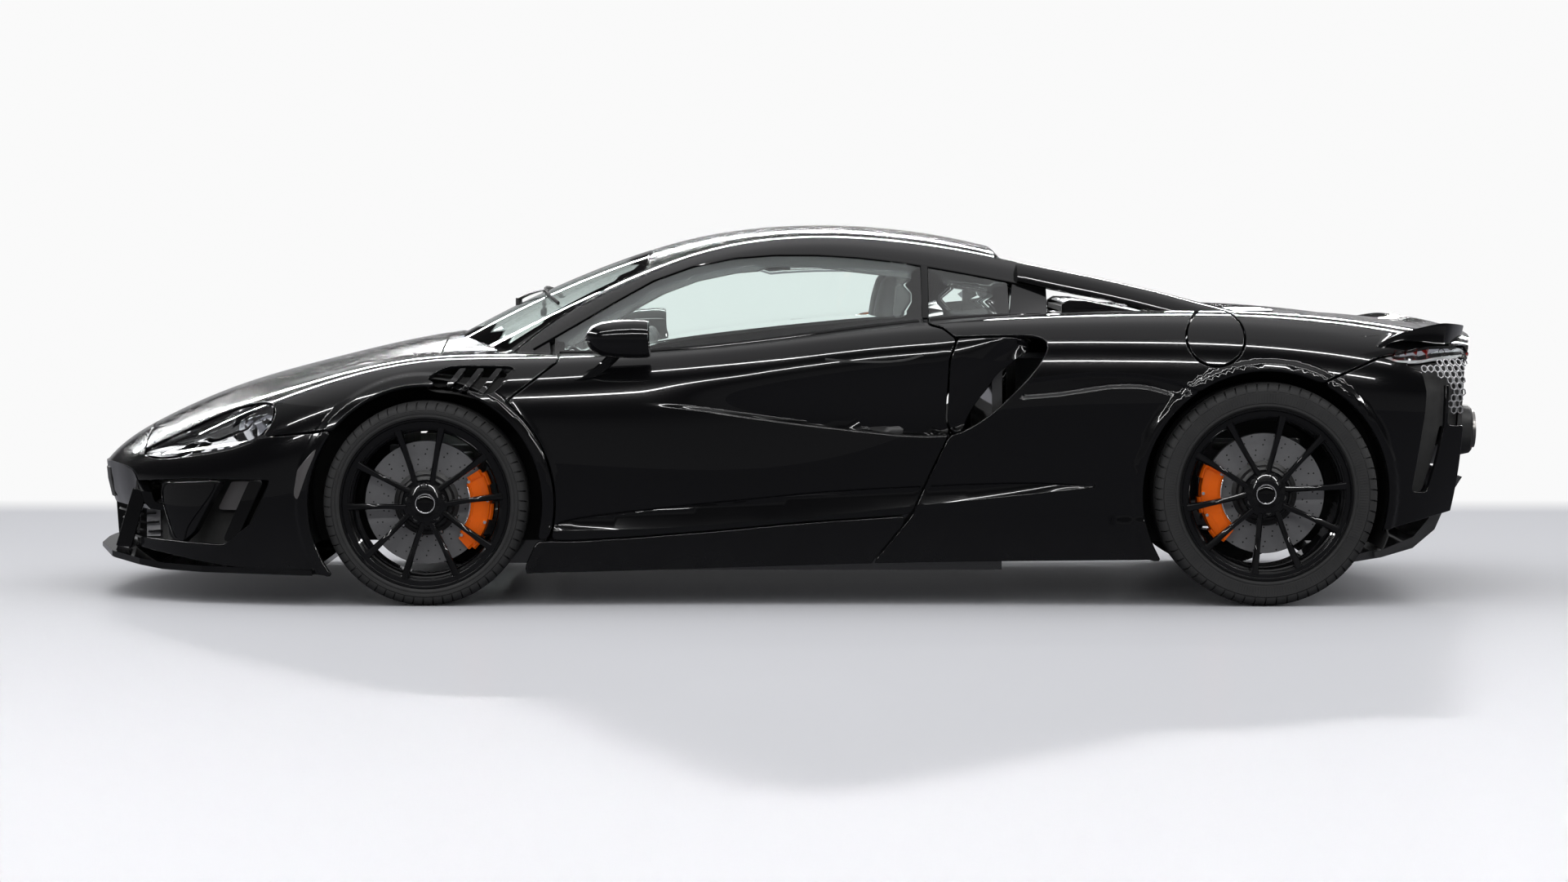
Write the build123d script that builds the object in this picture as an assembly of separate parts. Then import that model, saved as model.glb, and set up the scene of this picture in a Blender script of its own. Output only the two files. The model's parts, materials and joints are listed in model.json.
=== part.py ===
"""A mid-engined two-seat coupe with upward-swinging doors, as separate pieces with real joints.

Everything is in millimetres. The nose points towards -X, the left side towards -Y and up is +Z.
The origin lies on the ground under the middle of the car.
"""
from build123d import *
import math
import os

import numpy as np

# ---------------------------------------------------------------- driving dimensions
WHEELBASE = 2640.0
FRONT_AXLE_X = -1145.0
REAR_AXLE_X = FRONT_AXLE_X + WHEELBASE
FRONT_TRACK = 1650.0
REAR_TRACK = 1613.0
GROUND_CLEARANCE = 100.0

PANEL = 14.0            # thickness of the body panels
ROOF = 26.0             # thickness of the roof and pillars
GLASS = 6.0             # thickness of the windows
DOOR_DEPTH = 78.0       # inward depth of a door
DOOR_DROP = 44.0        # how far the door's inner face sits below its outer face
DOOR_SKIN = 0.12        # share of that depth that reaches out to the door's edge
DOOR_FLANGE = 30.0      # how far the deep middle of a door stays inside its edge
SHUT = 8.0              # gap around doors and lids
LID_SHUT = 9.0          # gap around the bonnet, whose rear edge dips as it opens

# Each row is one rib of the half body, from the centreline down to the edge of the sill:
# centreline, mid bonnet, inner crest, crest, outer crest, upper side, waist, lower side, edge.
BODY_RIBS = [
    [(-2262, 0, 425), (-2262, 180, 425), (-2205, 340, 424), (-2160, 450, 422), (-2118, 535, 414),
     (-2090, 585, 380), (-2085, 600, 320), (-2085, 602, 240), (-2085, 600, 165)],
    [(-2215, 0, 482), (-2215, 190, 482), (-2150, 370, 476), (-2095, 500, 468), (-2050, 610, 450),
     (-2020, 672, 405), (-2010, 690, 330), (-2010, 695, 240), (-2010, 690, 155)],
    [(-2080, 0, 562), (-2080, 210, 562), (-2020, 430, 548), (-1960, 590, 534), (-1915, 715, 508),
     (-1890, 780, 450), (-1880, 802, 350), (-1880, 806, 245), (-1880, 800, 135)],
    [(-1830, 0, 672), (-1830, 230, 670), (-1790, 480, 645), (-1750, 670, 628), (-1715, 805, 596),
     (-1700, 868, 520), (-1695, 888, 400), (-1695, 892, 260), (-1695, 884, 110)],
    [(-1560, 0, 744), (-1560, 240, 740), (-1545, 510, 706), (-1530, 715, 708), (-1515, 855, 678),
     (-1505, 920, 590), (-1500, 938, 440), (-1500, 942, 270), (-1500, 932, 100)],
    [(-1310, 0, 806), (-1310, 250, 800), (-1310, 530, 754), (-1305, 735, 768), (-1300, 878, 745),
     (-1300, 942, 640), (-1300, 954, 480), (-1300, 955, 290), (-1300, 942, 100)],
    [(-1100, 0, 846), (-1100, 260, 840), (-1100, 550, 774), (-1100, 745, 796), (-1100, 885, 776),
     (-1100, 948, 670), (-1100, 957, 500), (-1100, 957, 300), (-1100, 943, 100)],
    [(-850, 0, 868), (-850, 260, 862), (-850, 560, 786), (-850, 745, 790), (-850, 868, 776),
     (-850, 925, 680), (-850, 938, 510), (-850, 938, 300), (-850, 925, 105)],
    [(-500, 0, 870), (-500, 260, 864), (-500, 560, 800), (-500, 740, 796), (-500, 850, 786),
     (-500, 895, 690), (-500, 914, 520), (-500, 917, 310), (-500, 902, 112)],
    [(-100, 0, 880), (-100, 260, 874), (-100, 560, 830), (-100, 735, 836), (-100, 842, 820),
     (-100, 885, 715), (-100, 902, 540), (-100, 910, 320), (-100, 897, 125)],
    [(300, 0, 890), (300, 260, 886), (300, 560, 870), (300, 735, 892), (300, 850, 874),
     (300, 904, 760), (300, 916, 560), (300, 917, 330), (300, 902, 137)],
    [(650, 0, 895), (650, 260, 892), (650, 550, 885), (650, 740, 918), (650, 875, 900),
     (650, 936, 790), (650, 942, 580), (650, 932, 340), (650, 914, 143)],
    [(1000, 0, 900), (1000, 250, 898), (1000, 520, 895), (1000, 730, 932), (1000, 882, 912),
     (1000, 954, 800), (1000, 960, 600), (1000, 950, 350), (1000, 932, 147)],
    [(1350, 0, 905), (1350, 240, 903), (1350, 500, 898), (1350, 715, 938), (1350, 880, 916),
     (1350, 960, 805), (1350, 968, 610), (1350, 956, 360), (1350, 936, 150)],
    [(1600, 0, 908), (1600, 235, 906), (1600, 490, 895), (1600, 705, 928), (1600, 868, 900),
     (1600, 952, 790), (1600, 962, 600), (1600, 950, 380), (1600, 930, 180)],
    [(1850, 0, 905), (1850, 230, 903), (1850, 470, 886), (1850, 685, 900), (1850, 838, 870),
     (1850, 918, 762), (1850, 930, 590), (1850, 915, 400), (1850, 890, 230)],
    [(2060, 0, 872), (2060, 225, 872), (2050, 450, 862), (2045, 650, 862), (2035, 785, 832),
     (2025, 856, 720), (2020, 868, 560), (2015, 850, 400), (2005, 820, 270)],
    [(2215, 0, 850), (2215, 210, 850), (2200, 420, 844), (2180, 600, 836), (2155, 715, 800),
     (2140, 785, 690), (2130, 796, 540), (2120, 778, 400), (2100, 748, 290)],
]
# Each row is one rib of the half canopy: centreline, two roof points, rail, top of the side
# glass, middle of the side glass, and a point hidden inside the belt.
CANOPY_RIBS = [
    [(-1150, 0, 800), (-1150, 220, 800), (-1060, 420, 765), (-975, 560, 745), (-915, 655, 730),
     (-860, 730, 725), (-815, 775, 715)],
    [(-1010, 0, 880), (-1010, 225, 880), (-940, 430, 845), (-870, 575, 812), (-820, 668, 775),
     (-785, 748, 750), (-760, 800, 730)],
    [(-800, 0, 985), (-800, 225, 984), (-752, 430, 955), (-700, 580, 922), (-668, 665, 868),
     (-645, 750, 800), (-625, 812, 740)],
    [(-520, 0, 1098), (-520, 225, 1096), (-495, 425, 1070), (-470, 575, 1042), (-455, 652, 985),
     (-440, 745, 870), (-430, 818, 755)],
    [(-250, 0, 1174), (-250, 225, 1172), (-245, 415, 1154), (-235, 565, 1132), (-230, 640, 1060),
     (-225, 735, 915), (-220, 815, 770)],
    [(50, 0, 1200), (50, 220, 1198), (50, 410, 1188), (50, 556, 1166), (50, 634, 1092),
     (50, 728, 945), (50, 812, 795)],
    [(350, 0, 1188), (350, 215, 1186), (350, 405, 1172), (350, 550, 1150), (350, 626, 1075),
     (350, 720, 955), (350, 806, 838)],
    [(600, 0, 1146), (600, 210, 1144), (600, 400, 1132), (600, 542, 1112), (600, 612, 1036),
     (600, 704, 945), (600, 796, 862)],
    [(820, 0, 1082), (820, 205, 1082), (820, 395, 1076), (820, 532, 1066), (820, 596, 985),
     (820, 680, 920), (820, 776, 875)],
]
SPLINE_DEGREE = 3


# ---------------------------------------------------------------- smooth skins
def spline_weights(count, places):
    """Weights of a clamped uniform cubic B-spline with `count` control points."""
    inner = np.linspace(0, 1, count - SPLINE_DEGREE + 1)
    knots = np.concatenate([np.zeros(SPLINE_DEGREE), inner, np.ones(SPLINE_DEGREE)])
    t = np.clip(np.asarray(places, float), 0, 1 - 1e-12)[:, None]
    weights = ((t >= knots[None, :-1]) & (t < knots[None, 1:])).astype(float)
    for degree in range(1, SPLINE_DEGREE + 1):
        width = len(knots) - 1 - degree
        low = knots[degree:degree + width] - knots[:width]
        high = knots[degree + 1:degree + 1 + width] - knots[1:1 + width]
        rising = np.where(low > 0, (t - knots[:width]) / np.where(low > 0, low, 1), 0)
        falling = np.where(high > 0, (knots[degree + 1:degree + 1 + width] - t)
                           / np.where(high > 0, high, 1), 0)
        weights = rising * weights[:, :width] + falling * weights[:, 1:width + 1]
    return weights


def half_grid(ribs, along, across):
    """Points of the half surface on the +Y side, from the centreline outwards."""
    net = np.array(ribs, float)
    return np.einsum("ui,vj,ijk->uvk", spline_weights(len(ribs), along),
                     spline_weights(len(ribs[0]), across), net)


def full_grid(ribs, along, across):
    """Points of the whole surface, from the -Y edge over the centreline to the +Y edge."""
    right = half_grid(ribs, along, across)
    left = right[:, :0:-1] * np.array([1, -1, 1])
    return np.concatenate([left, right], 1)


def outward(grid):
    """Unit normals of a grid of points, pointing out of the body."""
    normal = np.cross(np.gradient(grid, axis=0), np.gradient(grid, axis=1))
    return normal / np.linalg.norm(normal, axis=2, keepdims=True)


def skin(grid):
    """A smooth face through a grid of points."""
    rows = [[Vector(*(float(c) for c in point)) for point in row] for row in grid]
    return Face.make_surface_from_array_of_points(rows, tol=0.4, min_deg=3, max_deg=3)


def slab(outer, inner):
    """The solid between two grids of points of the same size."""
    top, bottom = skin(outer), skin(inner)
    walls = []
    for edge in top.edges():
        middle = edge @ 0.5
        mate = min(bottom.edges(), key=lambda other: ((other @ 0.5) - middle).length)
        walls.append(Face.make_surface_from_curves(edge, mate))
    return Solid(Shell([top, bottom, *walls]))


def layer(grid, above, below):
    """The solid from `above` outside a grid of points to `below` inside it."""
    normal = outward(grid)
    return slab(grid + normal * above, grid - normal * below)


# ---------------------------------------------------------------- outlines
def wire_face(points, axis, curved=False):
    """A flat face across `axis` ("y" or "z") from corner points, straight or smooth."""
    spots = [Vector(a, 0, b) if axis == "y" else Vector(a, b, 0) for a, b in points]
    if curved:
        return Face(Wire([Edge.make_spline(spots, periodic=True)]))
    return Face(Wire.make_polygon(spots, close=True))


def side_prism(points, near, far, side=-1):
    """A prism with a side-view outline of (x, z) points, from |y| = near to |y| = far."""
    prism = Solid.extrude(wire_face(points, "y"), Vector(0, side * (far - near), 0))
    return Pos(0, side * near, 0) * prism


def both_sides(points, near, far):
    """The same side-view prism on the left and on the right."""
    return [side_prism(points, near, far, -1), side_prism(points, near, far, 1)]


def cross_prism(points, half_width):
    """A side-view outline carried across the car, the same distance either side of the middle."""
    prism = Solid.extrude(wire_face(points, "y"), Vector(0, 2 * half_width, 0))
    return Pos(0, -half_width, 0) * prism


def plan_prism(points, low, high):
    """A prism with a plan outline of (x, y) points, from z = low to z = high."""
    return Pos(0, 0, low) * Solid.extrude(wire_face(points, "z"), Vector(0, 0, high - low))


def mirrored(points):
    """A plan outline given for +Y, from front to back, closed over the centreline."""
    return [(x, y) for x, y in points] + [(x, -y) for x, y in reversed(points)]


def arc(centre, radius, start, end, count=9):
    """Points on an arc between two angles in degrees."""
    turns = [math.radians(start + (end - start) * i / (count - 1)) for i in range(count)]
    return [(centre[0] + radius * math.cos(t), centre[1] + radius * math.sin(t)) for t in turns]


def grown(points, amount):
    """The same outline, grown outwards by an amount, with straight edges kept straight."""
    area = sum(a[0] * b[1] - b[0] * a[1] for a, b in zip(points, points[1:] + points[:1]))
    sign = 1 if area > 0 else -1
    result = []
    for before, here, after in zip(points[-1:] + points[:-1], points, points[1:] + points[:1]):
        first = np.subtract(here, before) / math.dist(here, before)
        second = np.subtract(after, here) / math.dist(after, here)
        edge_a = sign * np.array([first[1], -first[0]])
        edge_b = sign * np.array([second[1], -second[0]])
        push = (edge_a + edge_b) / max(0.35, 1 + float(edge_a @ edge_b))
        result.append(tuple(np.add(here, push * amount)))
    return result


def box(x0, x1, y0, y1, z0, z1):
    """A box between two corners."""
    middle = Pos((x0 + x1) / 2, (y0 + y1) / 2, (z0 + z1) / 2)
    return middle * Solid.make_box(x1 - x0, y1 - y0, z1 - z0).moved(
        Pos(-(x1 - x0) / 2, -(y1 - y0) / 2, -(z1 - z0) / 2))


def band(x0, x1, near, far, z0, z1, side):
    """A box on one side of the car, from |y| = near to |y| = far."""
    y0, y1 = sorted((side * near, side * far))
    return box(x0, x1, y0, y1, z0, z1)


def rod(start, end, radius):
    """A round bar between two points."""
    start, end = Vector(*start), Vector(*end)
    return Solid.make_cylinder(radius, (end - start).length, Plane(start, z_dir=end - start))


def solids_in(*shapes):
    """Every solid in shapes and in lists of shapes."""
    found = []
    for shape in shapes:
        found += solids_in(*shape) if isinstance(shape, (list, tuple)) else list(shape.solids())
    return found


def largest(shapes):
    """The solid with the most volume."""
    return max(solids_in(shapes), key=lambda solid: solid.volume)


def fuse(*shapes):
    """One solid from several that meet."""
    first, *rest = solids_in(*shapes)
    return first.fuse(*rest) if rest else first


def minus(shapes, *tools):
    """The solids of `shapes` with the tools cut away."""
    return [left for solid in solids_in(shapes)
            for left in solids_in(solid.cut(*solids_in(*tools)) or [])]


def common(shapes, *areas):
    """What the solids of `shapes` share with each of the areas."""
    return [shared for solid in solids_in(shapes) for area in solids_in(*areas)
            for shared in solids_in(solid.intersect(area) or [])]


NODES = {}


def keep(name, *shapes):
    """Store the solids of one named piece."""
    NODES[name] = solids_in(*shapes)


# ---------------------------------------------------------------- shared surfaces
BODY = full_grid(BODY_RIBS, np.linspace(0, 1, 45), np.linspace(0, 1, 23))
CANOPY = full_grid(CANOPY_RIBS, np.linspace(0, 1, 29), np.linspace(0, 1, 17))
body_plate = layer(BODY, 0, PANEL)
outside_body = layer(BODY, 140, PANEL)


under_canopy = CANOPY + outward(CANOPY) * SHUT
cabin_space = slab(under_canopy, under_canopy * np.array([1, 1, 0]) + np.array([0, 0, 560.0]))

# ---------------------------------------------------------------- side-view outlines
FRONT_HUB = (FRONT_AXLE_X, 322.0)
REAR_HUB = (REAR_AXLE_X, 351.0)
FRONT_ARCH_R = 367.0
REAR_ARCH_R = 388.0
DOOR_BOTTOM = [(-760, 206), (-678, 205), (-486, 216), (-220, 237), (43, 262), (384, 286)]
DOOR_REAR = [(417, 365), (502, 544), (489, 583), (502, 775), (525, 838), (482, 873), (440, 884)]
DOOR_OPENING = (arc(FRONT_HUB, 408, 51.7, -13) + DOOR_BOTTOM + DOOR_REAR
                + [(400, 1010), (-690, 1010), (-733, 766)])
SILL = [(-830, 40), (-830, 206)] + DOOR_BOTTOM + [(264, 140), (250, 40)]
HEADLAMP = [(-2085, 461), (-2046, 487), (-1942, 534), (-1812, 593), (-1708, 625), (-1643, 630),
            (-1627, 611), (-1635, 580), (-1669, 534), (-1760, 495), (-1890, 469), (-2020, 452)]
FRONT_BUMPER = [(-2400, 0), (-2400, 640), (-2092, 640), (-2085, 470), (-1890, 480), (-1669, 529),
                (-1440, 552), (-1440, 0)]
REAR_BUMPER = [(1640, 0), (1640, 690), (1865, 785), (2010, 792), (2400, 792), (2400, 0)]
NOSE_LIP_Z = 290.0      # bottom of the panel under the nose
PLATE_Z = 665.0         # height of the rear number plate's bolts
TAIL_LAMP = [(1876, 790), (1960, 812), (2150, 812), (2150, 792), (2010, 786)]
SIDE_INTAKE = [(-2140, 200), (-2110, 372), (-1900, 392), (-1640, 392), (-1700, 260), (-1790, 190)]
SIDE_GLASS_TOP = [(-881, 765), (-698, 870), (-541, 961), (-436, 1019), (-306, 1066), (-175, 1092),
                  (-44, 1102), (87, 1102), (217, 1094), (348, 1079), (479, 1058), (610, 1034),
                  (740, 1008), (850, 985)]
BONNET = mirrored([(-2098, 120), (-2080, 300), (-2010, 400), (-1800, 450), (-1500, 500),
                   (-1250, 560), (-1122, 572)])
ENGINE_COVER = mirrored([(885, 470), (1450, 440), (1600, 390), (1690, 290)])


# ---------------------------------------------------------------- body panels
def wheel_arches(extra=0.0):
    """Round cutters through both sides at each wheel."""
    cutters = []
    for hub, radius in ((FRONT_HUB, FRONT_ARCH_R), (REAR_HUB, REAR_ARCH_R)):
        for side in (-1, 1):
            cutters.append(rod((hub[0], side * 520, hub[1]), (hub[0], side * 1100, hub[1]),
                               radius + extra))
    return cutters


def make_panels():
    """The fixed outer panels and the bonnet, cut from one thin plate."""
    arches = wheel_arches()
    plate = minus(body_plate, cabin_space, arches)
    sill_areas = both_sides(SILL, 500, 1100)
    door_areas = both_sides(DOOR_OPENING, 500, 1100)
    lamp_areas = both_sides(HEADLAMP, 380, 1100)
    tail_areas = both_sides(TAIL_LAMP, 500, 1100)
    nose = both_sides(FRONT_BUMPER, 0, 1100)
    tail = both_sides(REAR_BUMPER, 0, 1100)
    fixed = minus(plate, sill_areas, door_areas, lamp_areas, tail_areas, nose, tail,
                  plan_prism(grown(BONNET, LID_SHUT), 300, 1000), plan_prism(ENGINE_COVER, 600, 1100))
    keep("bonnet", common(body_plate, plan_prism(BONNET, 300, 1000)))
    keep("engine_cover", common(body_plate, plan_prism(ENGINE_COVER, 600, 1100)))
    keep("lamps", common(body_plate, lamp_areas, tail_areas))
    keep("front_clam", largest(minus(fixed, box(-600, 2600, -1100, 1100, 0, 1300))))
    keep("rear_clam", minus(fixed, box(-2600, 0, -1100, 1100, 0, 1300)),
         minus(make_buttresses(), NODES["roof_panel"], NODES["rear_windows"]))
    intakes = both_sides(SIDE_INTAKE, 400, 1100)
    keep("front_bumper", fuse(minus(common(plate, nose), lamp_areas, intakes,
                                    plan_prism(grown(BONNET, LID_SHUT), 300, 1000), NODES["splitter"]),
                              make_nose()))
    plate_holes = [rod((2050, side * 150, PLATE_Z), (2250, side * 150, PLATE_Z), 3)
                   for side in (-1, 1)]
    keep("rear_bumper", minus(fuse(minus(common(plate, tail), tail_areas), make_fascia()),
                              tail_pipes(67), plate_holes))
    keep("sills", common(minus(body_plate, arches), sill_areas))


def make_nose():
    """The upright panel under the tip of the nose, down to the lower intake."""
    edge = full_grid(BODY_RIBS, [0.0], np.linspace(0, 0.58, 12))[0]
    span = max(y for x, y, z in edge)
    low = np.array([[x + 30 * (1 - (y / span) ** 2) + 2, y, NOSE_LIP_Z] for x, y, z in edge])
    grid = np.array([edge * (1 - s) + low * s for s in np.linspace(-0.06, 1, 4)])
    grid[..., 0] += 3
    return slab(grid, grid + np.array([PANEL, 0, 0]))


def make_fascia():
    """The upright panel that closes the tail between the two sides."""
    edge = half_grid(BODY_RIBS, [1.0], np.linspace(0.5, 0.86, 9))[0]
    across = np.linspace(-1, 1, 21)
    grid = np.array([[(x - 2 + 55 * (1 - t * t), t * (y - 16), z) for t in across]
                     for x, y, z in edge])
    back = grid - np.array([PANEL, 0, 0])
    return slab(grid, back)


def make_buttresses():
    """The two blades that run from the roof's rear corners down to the deck."""
    stations = [(700, 1094, 1012, 545, 640, 500), (845, 1066, 984, 550, 640, 500),
                (1106, 1021, 915, 562, 655, 500), (1300, 979, 905, 575, 690, 495),
                (1490, 938, 900, 592, 700, 510)]
    blades = []
    for side in (-1, 1):
        wires = [Wire.make_polygon([Vector(x, side * mid, high), Vector(x, side * out, low),
                                    Vector(x, side * inner, low)], close=True)
                 for x, high, low, mid, out, inner in stations]
        blades.append(Solid.make_loft(wires, True))
    return blades


def make_canopy():
    """Windscreen, roof with its pillars, and the fixed side and rear windows."""
    thin = layer(CANOPY, 0, GLASS)
    thick = layer(CANOPY, 0, ROOF)
    screen = mirrored([(-1320, 640), (-960, 606), (-800, 566), (-455, 505)])
    screen_area = plan_prism(screen, 500, 1300)
    hull = layer(BODY, 0, 130)
    keep("windscreen", minus(common(thin, screen_area), hull))
    quarter = [(436, 1046), (716, 1000), (700, 912), (436, 870)]
    quarter_areas = both_sides(quarter, 400, 1000)
    door_glass = [(-750, 700), (-750, 834)] + [p for p in SIDE_GLASS_TOP if -740 < p[0] < 400] + [
        (424, 1066), (424, 700)]
    glass_areas = both_sides(grown(door_glass, -SHUT), 400, 1000)
    below_rails = both_sides(SIDE_GLASS_TOP + [(850, 600), (-881, 600)], 560, 1000)
    pillar = both_sides([(424, 1090), (437, 1090), (437, 840), (424, 840)], 500, 1000)
    corner = both_sides([(716, 1030), (850, 995), (850, 860), (700, 860), (700, 912)], 560, 1000)
    sail = both_sides([(-881, 780), (-762, 840), (-762, 700), (-900, 700)], 560, 1000)
    roof = minus(thick, below_rails, hull, plan_prism(grown(screen, 1.0), 500, 1300),
                 box(655, 900, -520, 520, 900, 1300))
    keep("roof_panel", fuse(roof, minus(common(thick, pillar, corner, sail), hull)))
    across = np.linspace(-1, 1, 9)
    rows = [(663, 1120, 508), (760, 1020, 505), (862, 910, 498)]
    grid = np.array([[(x, t * half, z - 18 * t * t) for t in across] for x, z, half in rows])
    grid = np.array([grid[0] * (1 - s) + grid[2] * s for s in np.linspace(0, 1, 5)])
    rear_screen = minus(slab(grid, grid - outward(grid) * GLASS), hull, NODES["roof_panel"])
    keep("rear_windows", rear_screen,
         minus(common(thin, quarter_areas), hull, NODES["roof_panel"]))
    return [common(thin, area) for area in glass_areas]


def make_doors(glasses):
    """Two doors, each a thick shell with its own window and mirror."""
    along = np.linspace(0.36, 0.72, 25)
    across = np.linspace(0.36, 1.0, 17)
    outer = half_grid(BODY_RIBS, along, across)
    outline = grown(DOOR_OPENING, -SHUT)
    for name, side, glass in (("door_left", -1, glasses[0]), ("door_right", 1, glasses[1])):
        grid = outer * np.array([1, side, 1])
        inward = Vector(0, -side * DOOR_DEPTH, -DOOR_DROP)
        outer_skin = common(Solid.extrude(skin(grid), inward * DOOR_SKIN),
                            side_prism(outline, 500, 1100, side))
        core = common(Solid.extrude(skin(grid), inward),
                      side_prism(grown(outline, -DOOR_FLANGE), 500, 1100, side))
        lift = band(-350, -150, 800, 850, 700, 775, side)
        shell = minus(fuse(minus(fuse(outer_skin, core), cabin_space), lift), glass)
        keep(name + "_shell", shell)
        keep(name + "_glass", glass)
        keep(name + "_mirror", largest(minus(make_mirror(side), shell)))


def make_mirror(side):
    """A mirror housing on a blade arm that stands on the door."""
    stations = [(-628, 22, 16), (-610, 46, 40), (-560, 66, 56), (-490, 74, 62), (-440, 74, 60)]
    wires = []
    for x, half_width, half_height in stations:
        spots = [Vector(x, side * (966 + half_width * math.cos(a)), 842 + half_height * math.sin(a))
                 for a in np.linspace(0, 2 * math.pi, 13)[:-1]]
        wires.append(Wire([Edge.make_spline(spots, periodic=True)]))
    housing = Solid.make_loft(wires, False)
    blade = [(-700, 690), (-640, 690), (-500, 790), (-500, 830), (-580, 830)]
    arm = side_prism(blade, 893, 925, side)
    return fuse(housing, arm)


# ---------------------------------------------------------------- wheels and running gear
class Wheel:
    """Sizes of one wheel and its place, measured outwards from the wheel's middle plane."""

    def __init__(self, name, x, y, radius, width, flange, lip, seat, disc, bottom, pair_angle):
        self.name, self.x, self.y, self.radius = name, x, y, radius
        self.width, self.flange, self.lip, self.seat = width, flange, lip, seat
        self.disc, self.bottom, self.pair_angle = disc, bottom, pair_angle
        self.side = 1 if y > 0 else -1

    def ring(self, points):
        """A solid turned about the axle from (radius, outward distance) points."""
        spots = [Vector(r, self.side * d, 0) for r, d in points]
        face = Face(Wire.make_polygon(spots, close=True))
        solid = Solid.revolve(face, 360, Axis((0, 0, 0), (0, 1, 0)))
        return Pos(self.x, self.y, self.bottom) * solid


HUB_PAD = 45.0          # back of the hub, measured inwards from the outer flange
DISC_FACE = 85.0        # outer face of the brake disc, measured the same way
DISC_THICK = 32.0
STUB_R = 30.0


def make_tyre(w):
    """A tyre with a flat tread and rounded shoulders."""
    half, bead = w.width / 2, w.flange - 8.3
    outside = [(w.seat, bead), (w.lip + 2, bead), (w.lip + 4, half - 2), (w.radius - 34, half),
               (w.radius - 12, half - 9), (w.radius - 2, half - 26)]
    ring = outside + [(w.radius, 0)] + [(r, -d) for r, d in reversed(outside)]
    inner = [(w.seat + 12, -bead + 14), (w.radius - 34, -half + 14), (w.radius - 16, -half + 34),
             (w.radius - 16, half - 34), (w.radius - 34, half - 14), (w.seat + 12, bead - 14)]
    return w.ring(ring + inner)


def make_rim(w):
    """A rim with ten spokes in five pairs."""
    f, r = w.flange, w.seat - 0.3
    outer = [(w.lip, f), (w.lip, f - 8), (r, f - 8), (r, f - 40), (r - 12, f - 60), (r - 12, -f + 50),
             (r, -f + 36), (r, -f + 8), (w.lip - 4, -f + 8), (w.lip - 4, -f), (r - 6, -f),
             (r - 7, -f + 34), (r - 20, -f + 52), (r - 20, f - 62), (r - 8, f - 36), (r - 8, f)]
    barrel = w.ring(outer)
    hub = w.ring([(30.5, f - HUB_PAD), (30.5, f - 25), (0, f - 25), (0, f - 14), (40, f - 16),
                  (72, f - 22), (72, f - HUB_PAD)])
    spokes = []
    for pair in range(5):
        for lean in (-1, 1):
            spokes.append(make_spoke(w, w.pair_angle + 72 * pair, lean))
    return fuse(barrel, hub, *spokes)


def make_spoke(w, middle, lean):
    """One spoke, from beside the hub to just inside the rim."""
    def section(radius, spread, half_width, front, back):
        turn = math.radians(middle + lean * spread)
        along = np.array([math.cos(turn), math.sin(turn)])
        cross = np.array([-along[1], along[0]])
        spots = []
        for offset, depth in ((-1, back), (1, back), (1, front), (-1, front)):
            flat = along * radius + cross * offset * half_width
            spots.append(Vector(w.x + flat[0], w.y + w.side * depth, w.bottom + flat[1]))
        return Wire.make_polygon(spots, close=True)

    f = w.flange
    return Solid.make_loft([section(58, 9, 11, f - 20, f - HUB_PAD),
                            section(w.seat - 4, 19.5, 10, f - 4, f - 30)], True)


def make_disc(w):
    """A brake disc with its hat."""
    f = w.flange
    face = f - DISC_FACE
    return w.ring([(36, f - HUB_PAD - 8), (36, f - HUB_PAD - 0.2), (103, f - HUB_PAD - 0.2),
                   (103, face), (w.disc, face), (w.disc, face - DISC_THICK), (92, face - DISC_THICK),
                   (92, f - HUB_PAD - 8)])


def make_caliper(w, middle):
    """A brake caliper that straddles the disc."""
    f = w.flange
    face = f - DISC_FACE
    block = w.ring([(136, face + 32), (136, face - DISC_THICK - 32), (214, face - DISC_THICK - 32),
                    (214, face + 22), (204, face + 32)])
    slot = w.ring([(90, face + 8), (90, face - DISC_THICK - 8), (w.disc + 8, face - DISC_THICK - 8),
                   (w.disc + 8, face + 8)])
    reach = 320.0
    edges = [math.radians(middle + step) for step in (-36, 0, 36)]
    wedge = [(w.x, w.bottom)] + [(w.x + reach * math.cos(a), w.bottom + reach * math.sin(a))
                                 for a in edges]
    near, far = abs(w.y) - 200, abs(w.y) + 200
    return common(block.cut(slot), side_prism(wedge, near, far, w.side))


def make_upright(w, caliper_angle, king_y):
    """The upright that holds the stub axle, the caliper and the two ball pins."""
    f, s = w.flange, w.side
    inner = king_y
    block = box(w.x - 42, w.x + 42, min(s * (inner - 24), s * (inner + 24)),
                max(s * (inner - 24), s * (inner + 24)), w.bottom - 106, w.bottom + 106)
    stub = rod((w.x, s * inner, w.bottom), (w.x, s * (abs(w.y) + f - 30), w.bottom), STUB_R)
    pin = rod((w.x, s * inner, w.bottom - 142), (w.x, s * inner, w.bottom + 142), 12)
    turn = math.radians(caliper_angle)
    reach = (w.x + 175 * math.cos(turn), w.bottom + 175 * math.sin(turn))
    back = abs(w.y) + f - DISC_FACE - DISC_THICK - 32
    arm = rod((w.x, s * (back - 12), w.bottom), (reach[0], s * (back - 12), reach[1]), 12)
    pad = rod((reach[0], s * (back - 24), reach[1]), (reach[0], s * (back + 0.0), reach[1]), 22)
    return fuse(block, stub, pin, arm, pad)


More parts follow.
